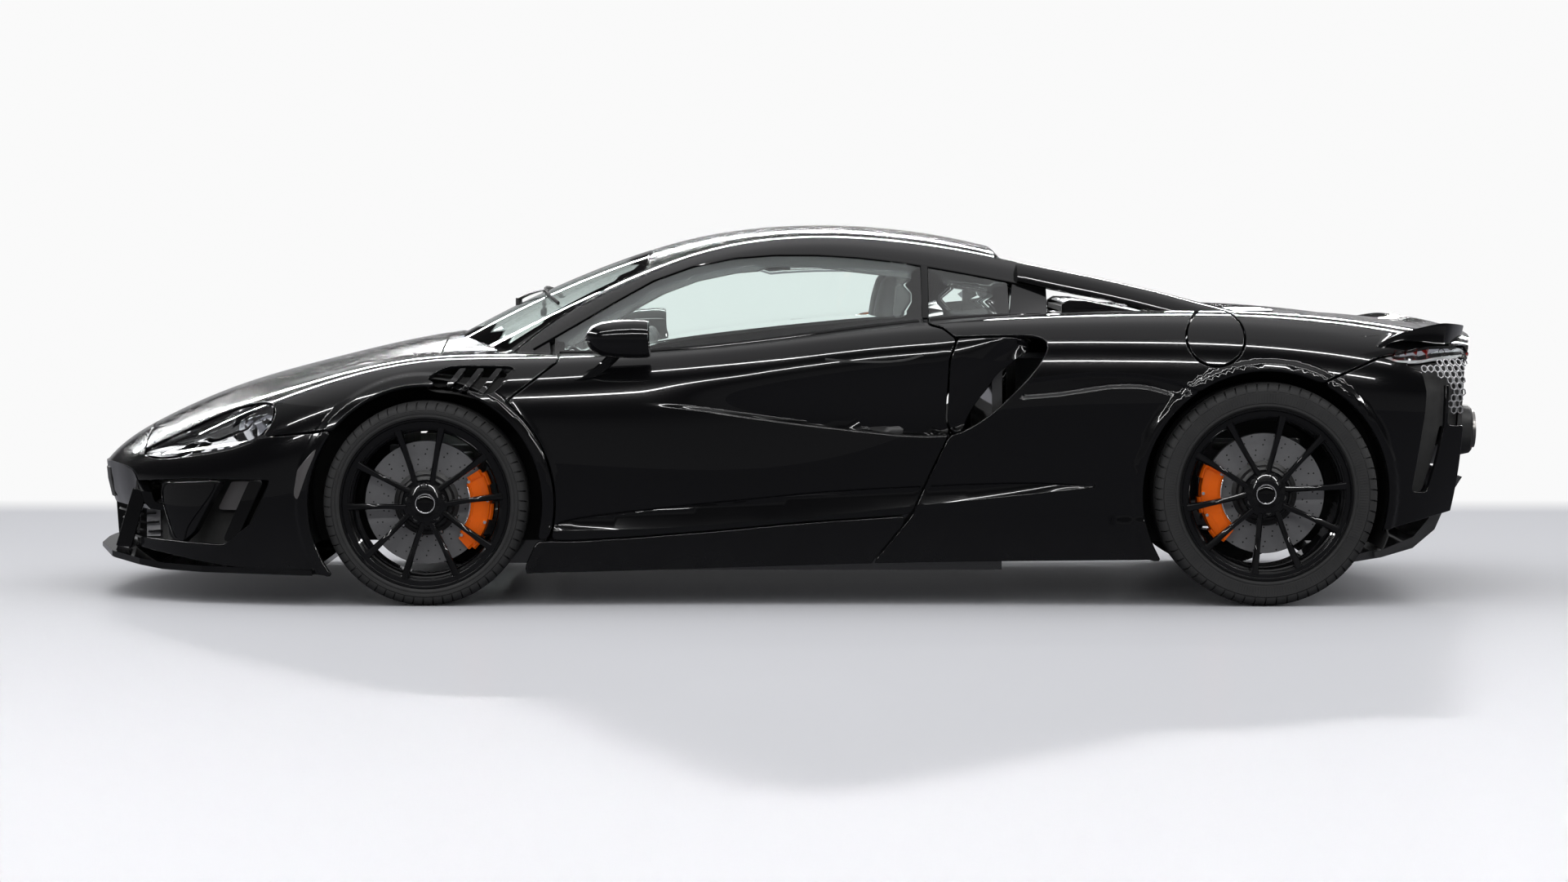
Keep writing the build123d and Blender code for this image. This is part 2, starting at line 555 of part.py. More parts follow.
KING_Y = 765.0          # distance of the steering axes from the middle
TOW_EYE_R = 8.0
WHEELS = {
    "front_left": Wheel("front_left", FRONT_AXLE_X, -FRONT_TRACK / 2, 322, 235, 113, 266, 243, 195,
                        322, -14),
    "front_right": Wheel("front_right", FRONT_AXLE_X, FRONT_TRACK / 2, 322, 235, 113, 266, 243, 195,
                         322, -14),
    "rear_left": Wheel("rear_left", REAR_AXLE_X, -REAR_TRACK / 2, 352, 295, 146, 270, 250, 190,
                       352, 26),
    "rear_right": Wheel("rear_right", REAR_AXLE_X, REAR_TRACK / 2, 352, 295, 146, 270, 250, 190,
                        352, 26),
}


def make_arms(w, king_y, subframe_y, turning):
    """Upper and lower wishbones with an eye around each ball pin."""
    pieces = []
    for level, spread, rise in ((-134, 150, 30), (134, 110, -10)):
        z = w.bottom + level
        eye = rod((w.x, w.side * king_y, z - 12), (w.x, w.side * king_y, z + 12), 26)
        legs = [rod((w.x, w.side * king_y, z), (w.x + lean * spread, w.side * subframe_y, z + rise), 13)
                for lean in (-1, 1)]
        bore = rod((w.x, w.side * king_y, z - 20), (w.x, w.side * king_y, z + 20), 12.5)
        pieces += minus(fuse(eye, *legs), bore) if turning else [fuse(eye, *legs)]
    return pieces


def make_running_gear():
    """Wheels, uprights, calipers and the front and rear subframes with their wishbones."""
    angles = {"front_left": -8, "front_right": -8, "rear_left": 190, "rear_right": 190}
    rear_uprights, rear_calipers, arms = [], [], {"front": [], "rear": []}
    for name, w in WHEELS.items():
        keep("tyre_" + name, make_tyre(w))
        keep("rim_" + name, make_rim(w))
        keep("brake_disc_" + name, make_disc(w))
        end = name.split("_")[0]
        king_y = KING_Y if end == "front" else abs(w.y) - 70
        upright = make_upright(w, angles[name], king_y)
        caliper = make_caliper(w, angles[name])
        arms[end] += make_arms(w, king_y, 400, end == "front")
        if end == "front":
            keep("knuckle_" + name.split("_")[1], upright)
            keep("caliper_" + name, caliper)
        else:
            rear_uprights.append(upright)
            rear_calipers.append(caliper)
    keep("rear_calipers", *rear_calipers)
    front, rear = [], []
    for side in (-1, 1):
        y0, y1 = sorted((side * 340, side * 412))
        front += [box(-2050, -940, y0, y1, 190, 270), box(-1300, -990, y0, y1, 270, 480)]
        rear += [box(672, 1900, y0, y1, 220, 300), box(1840, 1900, y0, y1, 300, 480),
                 box(1840, 2125, y0, y1, 420, 480)]
        hole = rod((REAR_AXLE_X, side * 300, 352), (REAR_AXLE_X, side * 450, 352), 26)
        rear += minus(box(1330, 1660, y0, y1, 300, 500), hole)
    front += [box(-2080, -2030, -500, 500, 190, 290), box(-1180, -1110, -412, 412, 190, 270)]
    rear += [box(1850, 1900, -412, 412, 220, 300)]
    tow_eye = rod((-2100, 250, 240), (-2040, 250, 240), TOW_EYE_R)
    keep("subframes", minus(fuse(front, arms["front"]), tow_eye),
         fuse(rear, arms["rear"], rear_uprights))


def make_liners():
    """Half-round liners over the wheels, each with an inner wall."""
    pieces = []
    for hub, radius, inner in ((FRONT_HUB, 392, 534), (REAR_HUB, 402, 560)):
        for side in (-1, 1):
            shell = rod((hub[0], side * inner, hub[1]), (hub[0], side * 940, hub[1]), radius + 4)
            room = rod((hub[0], side * (inner + 4), hub[1]), (hub[0], side * 960, hub[1]), radius)
            access = rod((hub[0], side * (inner - 10), hub[1]), (hub[0], side * 700, hub[1]), 230)
            floor_cut = box(hub[0] - 500, hub[0] + 500, -1100, 1100, 0, 180)
            piece = shell.cut(room, access, floor_cut, outside_body)
            pieces.append(max(piece.solids(), key=lambda solid: solid.volume))
    keep("arch_liners", *pieces)


# ---------------------------------------------------------------- structure and interior
def make_tub():
    """The cabin tub: floor, sills, bulkheads and the hoop behind the seats."""
    floor = fuse(box(-930, 670, -530, 530, GROUND_CLEARANCE + 5, 140),
                 box(-745, 670, -650, 650, GROUND_CLEARANCE + 5, 140))
    tunnel = box(-900, 650, -100, 100, 130, 400)
    pieces = [floor, tunnel, box(-940, -912, -530, 530, 105, 740), box(640, 672, -800, 800, 105, 880)]
    for side in (-1, 1):
        section = [(-745, 105), (-745, 420), (-600, 400), (560, 400), (650, 470), (650, 105)]
        pieces.append(side_prism(section, 640, 806, side))
        pieces.append(band(-935, -725, 510, 530, 105, 700, side))
        pieces.append(band(-745, -720, 510, 760, 105, 680, side))
        pieces.append(band(600, 650, 540, 590, 850, 1000, side))
    keep("tub", fuse(*pieces))


def make_luggage_bay():
    """The open tub under the bonnet."""
    outer = box(-1960, -1260, -330, 330, 275, 600)
    slope = [(-2000, 560), (-2000, 520), (-1640, 600), (-1200, 660), (-1200, 800), (-2000, 800)]
    room = box(-1948, -1272, -318, 318, 287, 900)
    keep("luggage_bay", minus(outer, cross_prism(slope, 500), room))


def make_interior():
    """Seats, dashboard and steering wheel."""
    profile = [(-290, 141), (-300, 350), (-260, 372), (60, 300), (130, 312), (320, 800),
               (350, 925), (420, 930), (440, 800), (300, 300), (250, 141)]
    seats = [side_prism(profile, 140, 600, side) for side in (-1, 1)]
    keep("seats", *seats)
    front = [(-905, 560), (-905, 735), (-760, 775), (-700, 775), (-700, 540)]
    back = [(-716, 540), (-716, 774), (-620, 768), (-545, 720), (-560, 600), (-700, 540)]
    body = fuse(cross_prism(front, 505), cross_prism(back, 630))
    axis = Vector(math.cos(math.radians(20)), 0, math.sin(math.radians(20)))
    hub = Vector(-392, -370, 690)
    start, end = hub - axis * 330, hub - axis * 60
    sleeve = rod(tuple(hub - axis * 220), tuple(hub - axis * 100), 40)
    bore = rod(tuple(start), tuple(end), 15.5)
    keep("dashboard", fuse(body, sleeve).cut(bore))
    plane = Plane(hub, z_dir=axis)
    ring = plane * Solid.make_torus(172, 15)
    centre = rod(tuple(hub - axis * 34), tuple(hub + axis * 8), 60)
    shaft = rod(tuple(hub - axis * 320), tuple(hub), 15)
    bars = [plane * (Rot(0, 0, turn) * box(0, 165, -16, 16, -14, 0)) for turn in (90, -90, 180)]
    keep("steering_wheel", fuse(ring, centre, shaft, *bars))


def make_engine():
    """Engine and gearbox as one plain block with the two driveshafts."""
    block = box(740, 1330, -300, 300, 160, 760)
    gearbox = box(1320, 1800, -190, 190, 200, 560)
    keep("engine_block", fuse(block, gearbox, *make_shafts()))


def make_shafts():
    """Driveshafts from the gearbox to the rear uprights."""
    return [rod((REAR_AXLE_X, side * 150, 352), (REAR_AXLE_X, side * 711, 352), 15)
            for side in (-1, 1)]


def make_underbody():
    """Splitter, diffuser and exhaust."""
    profile = [(-2269, 148), (-2180, 124), (-2000, 101), (-1500, 96), (-1500, 112), (-2000, 122),
               (-2180, 144), (-2269, 158)]
    blade = cross_prism(profile, 1000)
    plan = mirrored([(-2269, 60), (-2255, 300), (-2190, 520), (-2080, 670), (-1860, 830),
                     (-1512, 934), (-1500, 934)])
    keep("splitter", common(blade, plan_prism(plan, 50, 400)))
    profile = [(1700, 108), (1795, 116), (1899, 142), (2002, 186), (2054, 250), (2145, 394),
               (2128, 398), (2040, 262), (1990, 202), (1890, 160), (1795, 134), (1700, 126)]
    pan = cross_prism(profile, 700)
    fins = []
    for y in (-620, -380, -130, 115, 365, 605):
        fin = [(1720, 100), (1899, 130), (2000, 160), (2070, 220), (2145, 392), (1990, 202), (1890, 160)]
        fins.append(Pos(0, y, 0) * Solid.extrude(wire_face(fin, "y"), Vector(0, 15, 0)))
    sides = [band(1600, 1868, 640, 720, 50, 400, side) for side in (-1, 1)]
    keep("diffuser", fuse(minus(fuse(pan, *fins), sides)))
    can = box(1805, 2040, -330, 330, 430, 610)
    keep("exhaust", fuse(can, minus(tail_pipes(62), tail_pipes(56, 1990, 2300))))


def tail_pipes(radius, start=1830, end=2270):
    """Two round bars along the tail pipes."""
    return [rod((start, side * 120, 520), (end, side * 120, 520), radius) for side in (-1, 1)]


def main():
    """Build every piece and write one file for each."""
    make_underbody()
    door_glass = make_canopy()
    make_panels()
    make_doors(door_glass)
    make_running_gear()
    make_liners()
    make_tub()
    make_luggage_bay()
    make_interior()
    make_engine()
    os.makedirs("parts", exist_ok=True)
    for name, solids in NODES.items():
        shape = solids[0] if len(solids) == 1 else Compound(children=solids)
        export_step(shape, f"parts/{name}.step")
        print(name, len(solids), [round(s.volume / 1e6, 2) for s in solids])


main()
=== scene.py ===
"""The looks of a mid-engined two-seat coupe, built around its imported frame.

Shapes are worked out in millimetres in the frame's own axes: the nose points towards -X, the left
side towards -Y and up is +Z. A half of the car is made on the +Y side and mirrored.
"""
from __future__ import annotations

import json
import logging
import math
from collections.abc import Callable, Sequence
from dataclasses import dataclass, field
from enum import Enum

import bpy
import numpy as np
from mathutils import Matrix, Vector
from mathutils.bvhtree import BVHTree
from mathutils.geometry import delaunay_2d_cdt

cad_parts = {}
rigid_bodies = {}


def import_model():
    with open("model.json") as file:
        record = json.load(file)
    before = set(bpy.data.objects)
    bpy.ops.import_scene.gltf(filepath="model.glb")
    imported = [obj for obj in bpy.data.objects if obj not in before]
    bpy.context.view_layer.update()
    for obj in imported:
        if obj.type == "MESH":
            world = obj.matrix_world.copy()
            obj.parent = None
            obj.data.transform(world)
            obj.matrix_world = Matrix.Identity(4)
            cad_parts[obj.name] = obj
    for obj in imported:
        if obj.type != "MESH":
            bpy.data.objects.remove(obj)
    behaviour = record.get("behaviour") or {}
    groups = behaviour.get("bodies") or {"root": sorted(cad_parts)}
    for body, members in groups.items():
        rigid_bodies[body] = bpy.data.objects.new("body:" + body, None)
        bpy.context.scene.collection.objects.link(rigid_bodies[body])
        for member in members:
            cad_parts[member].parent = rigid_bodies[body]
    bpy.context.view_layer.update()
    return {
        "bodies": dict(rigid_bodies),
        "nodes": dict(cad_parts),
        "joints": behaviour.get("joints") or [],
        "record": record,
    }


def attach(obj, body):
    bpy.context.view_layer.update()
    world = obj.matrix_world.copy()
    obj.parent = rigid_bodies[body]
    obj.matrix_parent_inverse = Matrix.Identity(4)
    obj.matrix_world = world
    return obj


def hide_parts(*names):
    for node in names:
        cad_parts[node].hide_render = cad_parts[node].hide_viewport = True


LOG = logging.getLogger("coupe")
MM = 0.001
Array = np.ndarray
Spots = Sequence[tuple[float, ...]]
Field = Callable[[Array], Array]
MIRROR = np.array([1.0, -1.0, 1.0])
SPLINE_DEGREE = 3
BEYOND = 1400.0  # a place outside the body, where rays towards it start


class Side(Enum):
    """A side of the car, with its name and its sign along Y."""

    LEFT = ("left", -1)
    RIGHT = ("right", 1)

    @property
    def word(self) -> str:
        """The side's name as the frame's nodes spell it."""
        return self.value[0]

    @property
    def sign(self) -> int:
        """The side's sign along Y."""
        return self.value[1]


# ---------------------------------------------------------------- curves and outlines
def arc(centre: tuple[float, float], radius: float, start: float, end: float,
        count: int = 24) -> Spots:
    """Points on an arc.

    Args:
        centre: The arc's centre.
        radius: Its radius.
        start: Its first angle in degrees.
        end: Its last angle in degrees.
        count: How many points it gets.

    Returns:
        The points, in order.
    """
    turns = np.radians(np.linspace(start, end, count))
    return [(centre[0] + radius * math.cos(t), centre[1] + radius * math.sin(t)) for t in turns]


def flowing(points: Spots, step: float = 12.0, closed: bool = False) -> Array:
    """A smooth curve through points.

    Args:
        points: The points, in the plane or in space.
        step: The distance between the points of the result.
        closed: Whether the curve returns to its start.

    Returns:
        Evenly spaced points along the curve.
    """
    spots = np.array(points, float)
    if closed:
        spots = np.vstack([spots[-1], spots, spots[0], spots[1]])
    else:
        spots = np.vstack([2 * spots[0] - spots[1], spots, 2 * spots[-1] - spots[-2]])
    rows = []
    for before, first, last, after in zip(spots, spots[1:], spots[2:], spots[3:]):
        span = float(np.linalg.norm(last - first)) + 1e-9
        t = np.linspace(0, 1, max(3, int(3 * span / step)), endpoint=False)[:, None]
        slope_in = (last - before) * span / (span + np.linalg.norm(first - before) + 1e-9)
        slope_out = (after - first) * span / (span + np.linalg.norm(after - last) + 1e-9)
        rows.append((2 * t ** 3 - 3 * t ** 2 + 1) * first + (t ** 3 - 2 * t ** 2 + t) * slope_in
                    + (3 * t ** 2 - 2 * t ** 3) * last + (t ** 3 - t ** 2) * slope_out)
    rows.append(spots[-2][None] if not closed else rows[0][:1])
    return evenly(np.vstack(rows), step)


def evenly(line: Array, step: float) -> Array:
    """The same line with its points evenly spaced, about `step` apart."""
    gaps = np.linalg.norm(np.diff(line, axis=0), axis=1)
    run = np.concatenate([[0], np.cumsum(gaps)])
    places = np.linspace(0, run[-1], max(2, int(round(run[-1] / step)) + 1))
    return np.stack([np.interp(places, run, line[:, k]) for k in range(line.shape[1])], 1)


def gap_to(line: Array, spots: Array) -> Array:
    """The distance from each spot to an open line in the plane."""
    best = np.full(len(spots), 1e9)
    for a, b in zip(line[:-1], line[1:]):
        along = b - a
        t = np.clip(((spots - a) @ along) / max(float(along @ along), 1e-12), 0, 1)
        best = np.minimum(best, np.linalg.norm(spots - a - t[:, None] * along, axis=1))
    return best


def inside(outline: Array, spots: Array) -> Array:
    """Whether each spot is inside a closed outline."""
    odd = np.zeros(len(spots), bool)
    x, y = spots[:, 0], spots[:, 1]
    for (ax, ay), (bx, by) in zip(outline, np.roll(outline, -1, 0)):
        crosses = (ay > y) != (by > y)
        if ay != by:
            odd ^= crosses & (x < (bx - ax) * (y - ay) / (by - ay) + ax)
    return odd


def depth_in(outline: Spots, spots: Array) -> Array:
    """How far each spot is inside a closed outline, and below zero outside it."""
    loop = np.array(outline, float)
    gaps = gap_to(np.vstack([loop, loop[:1]]), spots)
    return np.where(inside(loop, spots), gaps, -gaps)


def smooth_step(value: Array | float) -> Array:
    """A smooth rise from 0 at 0 to 1 at 1."""
    t = np.clip(value, 0, 1)
    return t * t * (3 - 2 * t)


def side_area(outline: Spots, near: float) -> Field:
    """A field that is positive inside a side-view outline, outboard of |y| = near."""
    def depth(points: Array) -> Array:
        """The depth inside the outline or outboard of the limit, whichever is less."""
        return np.minimum(depth_in(outline, points[:, [0, 2]]), np.abs(points[:, 1]) - near)
    return depth


def plan_area(outline: Spots) -> Field:
    """A field that is positive inside a plan outline given for +Y."""
    loop = [*outline, (outline[-1][0], -400.0), (outline[0][0], -400.0)]

    def depth(points: Array) -> Array:
        """The depth inside the outline, seen in plan."""
        spots = np.stack([points[:, 0], np.abs(points[:, 1])], 1)
        return depth_in(loop, spots)
    return depth


def outside_of(area: Field) -> Field:
    """The field of everything outside an area."""
    return lambda points: -area(points)


# ---------------------------------------------------------------- shapes
@dataclass
class Shape:
    """A mesh in the making: points in millimetres, faces, and normals where they are known."""

    points: Array
    faces: list[tuple[int, ...]]
    normals: Array | None = None

    def mirrored(self) -> Shape:
        """The same shape on the other side of the car, with its faces turned back out."""
        normals = None if self.normals is None else self.normals * MIRROR
        return Shape(self.points * MIRROR, [face[::-1] for face in self.faces], normals)

    def moved(self, offset: Spots | Array) -> Shape:
        """The same shape somewhere else."""
        return Shape(self.points + np.array(offset, float), self.faces, self.normals)

    def on(self, side: Side) -> Shape:
        """A shape made for +Y, on the side asked for."""
        return self if side is Side.RIGHT else self.mirrored()


def joined(shapes: Sequence[Shape]) -> Shape:
    """One shape from several, each left as it is."""
    points, faces, start = [], [], 0
    known = all(shape.normals is not None for shape in shapes)
    for shape in shapes:
        points.append(shape.points)
        faces += [tuple(i + start for i in face) for face in shape.faces]
        start += len(shape.points)
    normals = np.vstack([shape.normals for shape in shapes]) if known else None
    return Shape(np.vstack(points), faces, normals)


def lofted(rings: Array, capped: bool = True, closed: bool = True) -> Shape:
    """A skin through rings of points.

    Args:
        rings: The points, as (ring, point, xyz), turning so that the skin faces out.
        capped: Whether the first and last rings are filled.
        closed: Whether each ring returns to its first point.

    Returns:
        The shape.
    """
    count, size = rings.shape[:2]
    last = size if closed else size - 1
    faces = [(i * size + j, i * size + (j + 1) % size, (i + 1) * size + (j + 1) % size,
              (i + 1) * size + j) for i in range(count - 1) for j in range(last)]
    if capped:
        faces += [tuple(range(size))[::-1], tuple((count - 1) * size + j for j in range(size))]
    return Shape(rings.reshape(-1, 3), faces)


def facing_out(shape: Shape) -> Shape:
    """A closed shape with its faces turned so that its volume is positive."""
    volume = 0.0
    for face in shape.faces:
        first = shape.points[face[0]]
        for a, b in zip(face[1:-1], face[2:]):
            volume += float(first @ np.cross(shape.points[a], shape.points[b]))
    if volume < 0:
        return Shape(shape.points, [face[::-1] for face in shape.faces], shape.normals)
    return shape


def prism(outline: Spots, near: float, far: float, axis: int = 1) -> Shape:
    """An outline carried along an axis, from near to far.

    Args:
        outline: (x, z), (x, y) or (y, z) points, for an axis of 1, 2 or 0.
        near: The first coordinate along the axis.
        far: The last coordinate along the axis.
        axis: The axis that the outline is carried along.

    Returns:
        The closed shape.
    """
    flat = np.array(outline, float)
    rings = np.stack([np.insert(flat, axis, place, 1) for place in (near, far)])
    return facing_out(lofted(rings))


def turned(profile: Spots, steps: int = 96) -> Shape:
    """A closed profile of (radius, distance) points turned about the Y axis at the origin."""
    flat = np.array(profile, float)
    turns = np.linspace(0, 2 * math.pi, steps, endpoint=False)
    rings = np.stack([np.stack([flat[:, 0] * math.cos(t), flat[:, 1], flat[:, 0] * math.sin(t)], 1)
                      for t in turns])
    size = len(flat)
    faces = [(i * size + j, i * size + (j + 1) % size, (i + 1) % steps * size + (j + 1) % size,
              (i + 1) % steps * size + j) for i in range(steps) for j in range(size)]
    return facing_out(Shape(rings.reshape(-1, 3), faces))


def tube(path: Array, radius: float | Array, sides: int = 10, flat: float = 1.0) -> Shape:
    """A round bar along a path, its section flattened in height by `flat`."""
    line = np.array(path, float)
    ahead = np.gradient(line, axis=0)
    ahead /= np.linalg.norm(ahead, axis=1, keepdims=True)
    up = np.array([0, 0, 1.0]) if abs(float(ahead[:, 2].mean())) < 0.8 else np.array([1.0, 0, 0])
    across = np.cross(ahead, up)
    across /= np.linalg.norm(across, axis=1, keepdims=True)
    rise = np.cross(across, ahead)
    turns = np.linspace(0, 2 * math.pi, sides, endpoint=False)
    size = np.broadcast_to(np.array(radius, float), (len(line),))[:, None, None]
    rings = line[:, None] + size * (np.cos(turns)[None, :, None] * across[:, None]
                                    + flat * np.sin(turns)[None, :, None] * rise[:, None])
    return facing_out(lofted(rings))


def strip(line: Array, normal: Array, width: float, height: float) -> Shape:
    """A flat bar with rounded corners along a line, its back on the line."""
    ahead = np.gradient(line, axis=0)
    ahead /= np.linalg.norm(ahead, axis=1, keepdims=True)
    across = np.cross(ahead, normal)
    across /= np.linalg.norm(across, axis=1, keepdims=True)
    section = [(-1, 0), (-1, 0.6), (-0.75, 0.95), (0, 1.05), (0.75, 0.95), (1, 0.6), (1, 0)]
    rings = np.stack([line + across * (a * width / 2) + normal * (b * height)
                      for a, b in section], 1)
    return facing_out(lofted(rings))


# ---------------------------------------------------------------- smooth skins
def spline_weights(count: int, places: Array) -> Array:
    """Weights of a clamped uniform cubic B-spline with `count` control points."""
    inner = np.linspace(0, 1, count - SPLINE_DEGREE + 1)
    knots = np.concatenate([np.zeros(SPLINE_DEGREE), inner, np.ones(SPLINE_DEGREE)])
    t = np.clip(places, 0, 1 - 1e-12)[:, None]
    weights = ((t >= knots[None, :-1]) & (t < knots[None, 1:])).astype(float)
    for degree in range(1, SPLINE_DEGREE + 1):
        width = len(knots) - 1 - degree
        low = knots[degree:degree + width] - knots[:width]
        high = knots[degree + 1:degree + 1 + width] - knots[1:1 + width]
        rising = np.where(low > 0, (t - knots[:width]) / np.where(low > 0, low, 1), 0)
        falling = np.where(high > 0, (knots[degree + 1:degree + 1 + width] - t)
                           / np.where(high > 0, high, 1), 0)
        weights = rising * weights[:, :width] + falling * weights[:, 1:width + 1]
    return weights


@dataclass
class Skin:
    """A smooth half surface on the +Y side, from the centreline outwards, with its own forms."""

    ribs: Array
    length: float
    girth: float
    forms: list[Field] = field(default_factory=list)

    def base(self, uv: Array) -> Array:
        """Points of the plain surface."""
        rows, columns = self.ribs.shape[:2]
        along = spline_weights(rows, uv[:, 0]) @ self.ribs.reshape(rows, -1)
        across = spline_weights(columns, uv[:, 1])
        return (along.reshape(-1, columns, 3) * across[:, :, None]).sum(1)

    def base_normal(self, uv: Array) -> Array:
        """Outward normals of the plain surface."""
        return self._across(uv, self.base)

    def points(self, uv: Array) -> Array:
        """Points of the surface with its forms."""
        plain, normal = self.base(uv), self.base_normal(uv)
        return plain + normal * sum((form(plain) for form in self.forms),
                                    np.zeros(len(uv)))[:, None]

    def normals(self, uv: Array) -> Array:
        """Outward normals of the surface with its forms."""
        return self._across(uv, self.points)

    def _across(self, uv: Array, surface: Callable[[Array], Array]) -> Array:
        """Unit normals across a surface, by steps of under a millimetre each way."""
        step_u, step_v = 0.8 / self.length, 0.8 / self.girth
        ahead_u = np.clip(uv + [step_u, 0], 0, 1)
        ahead_v = np.clip(uv + [0, step_v], 0, 1)
        back_u, back_v = np.clip(uv - [step_u, 0], 0, 1), np.clip(uv - [0, step_v], 0, 1)
        normal = np.cross(surface(ahead_u) - surface(back_u), surface(ahead_v) - surface(back_v))
        middle = uv[:, 1] <= 0
        normal[middle, 1] = 0
        return normal / np.maximum(np.linalg.norm(normal, axis=1, keepdims=True), 1e-12)


def contours(values: Array, places: Array) -> list[Array]:
    """Lines where a field over a grid is zero.

    Args:
        values: The field, as (row, column).
        places: The grid's own coordinates, as (row, column, 2).

    Returns:
        The lines, closed ones ending where they start.
    """
    rows, columns = values.shape
    flat, spots = values.ravel(), places.reshape(-1, 2)
    ids = np.arange(rows * columns).reshape(rows, columns)
    a, b = ids[:-1, :-1].ravel(), ids[1:, :-1].ravel()
    c, d = ids[1:, 1:].ravel(), ids[:-1, 1:].ravel()
    corners = np.vstack([np.stack([a, b, c], 1), np.stack([a, c, d], 1)])
    above = flat[corners] > 0
    mixed = corners[(above.sum(1) > 0) & (above.sum(1) < 3)]
    links: dict[tuple[int, int], list[tuple[int, int]]] = {}
    for corner in mixed.tolist():
        keys = []
        for p, q in ((0, 1), (1, 2), (2, 0)):
            low, high = sorted((corner[p], corner[q]))
            if (flat[low] > 0) != (flat[high] > 0):
                keys.append((low, high))
        links.setdefault(keys[0], []).append(keys[1])
        links.setdefault(keys[1], []).append(keys[0])
    lines, used = [], set()
    for start in sorted(links, key=lambda key: len(links[key])):
        if start in used:
            continue
        chain, here = [start], start
        used.add(start)
        while True:
            ahead = [key for key in links[here] if key not in used]
            if not ahead:
                break
            here = ahead[0]
            used.add(here)
            chain.append(here)
        if len(chain) > 2 and chain[0] in links[chain[-1]]:
            chain.append(chain[0])
        ends = np.array(chain)
        share = flat[ends[:, 0]] / (flat[ends[:, 0]] - flat[ends[:, 1]])
        lines.append(spots[ends[:, 0]] + share[:, None] * (spots[ends[:, 1]] - spots[ends[:, 0]]))
    return lines


def softened(line: Array, rounds: int = 2) -> Array:
    """A line with its small kinks and very short steps taken out, its ends kept."""
    keep = [0]
    for i in range(1, len(line) - 1):
        if np.linalg.norm(line[i] - line[keep[-1]]) > 4.5:
            keep.append(i)
    line = line[keep + [len(line) - 1]]
    closed = np.allclose(line[0], line[-1])
    for _ in range(rounds):
        middle = line.copy()
        middle[1:-1] = 0.5 * line[1:-1] + 0.25 * (line[:-2] + line[2:])
        if closed and len(line) > 4:
            middle[0] = middle[-1] = 0.5 * line[0] + 0.25 * (line[1] + line[-2])
        line = middle
    return line


@dataclass
class Guide:
    """Lines that a mesh follows: where a field has the levels given, inside an area."""

    height: Field
    levels: tuple[float, ...]
    area: Field


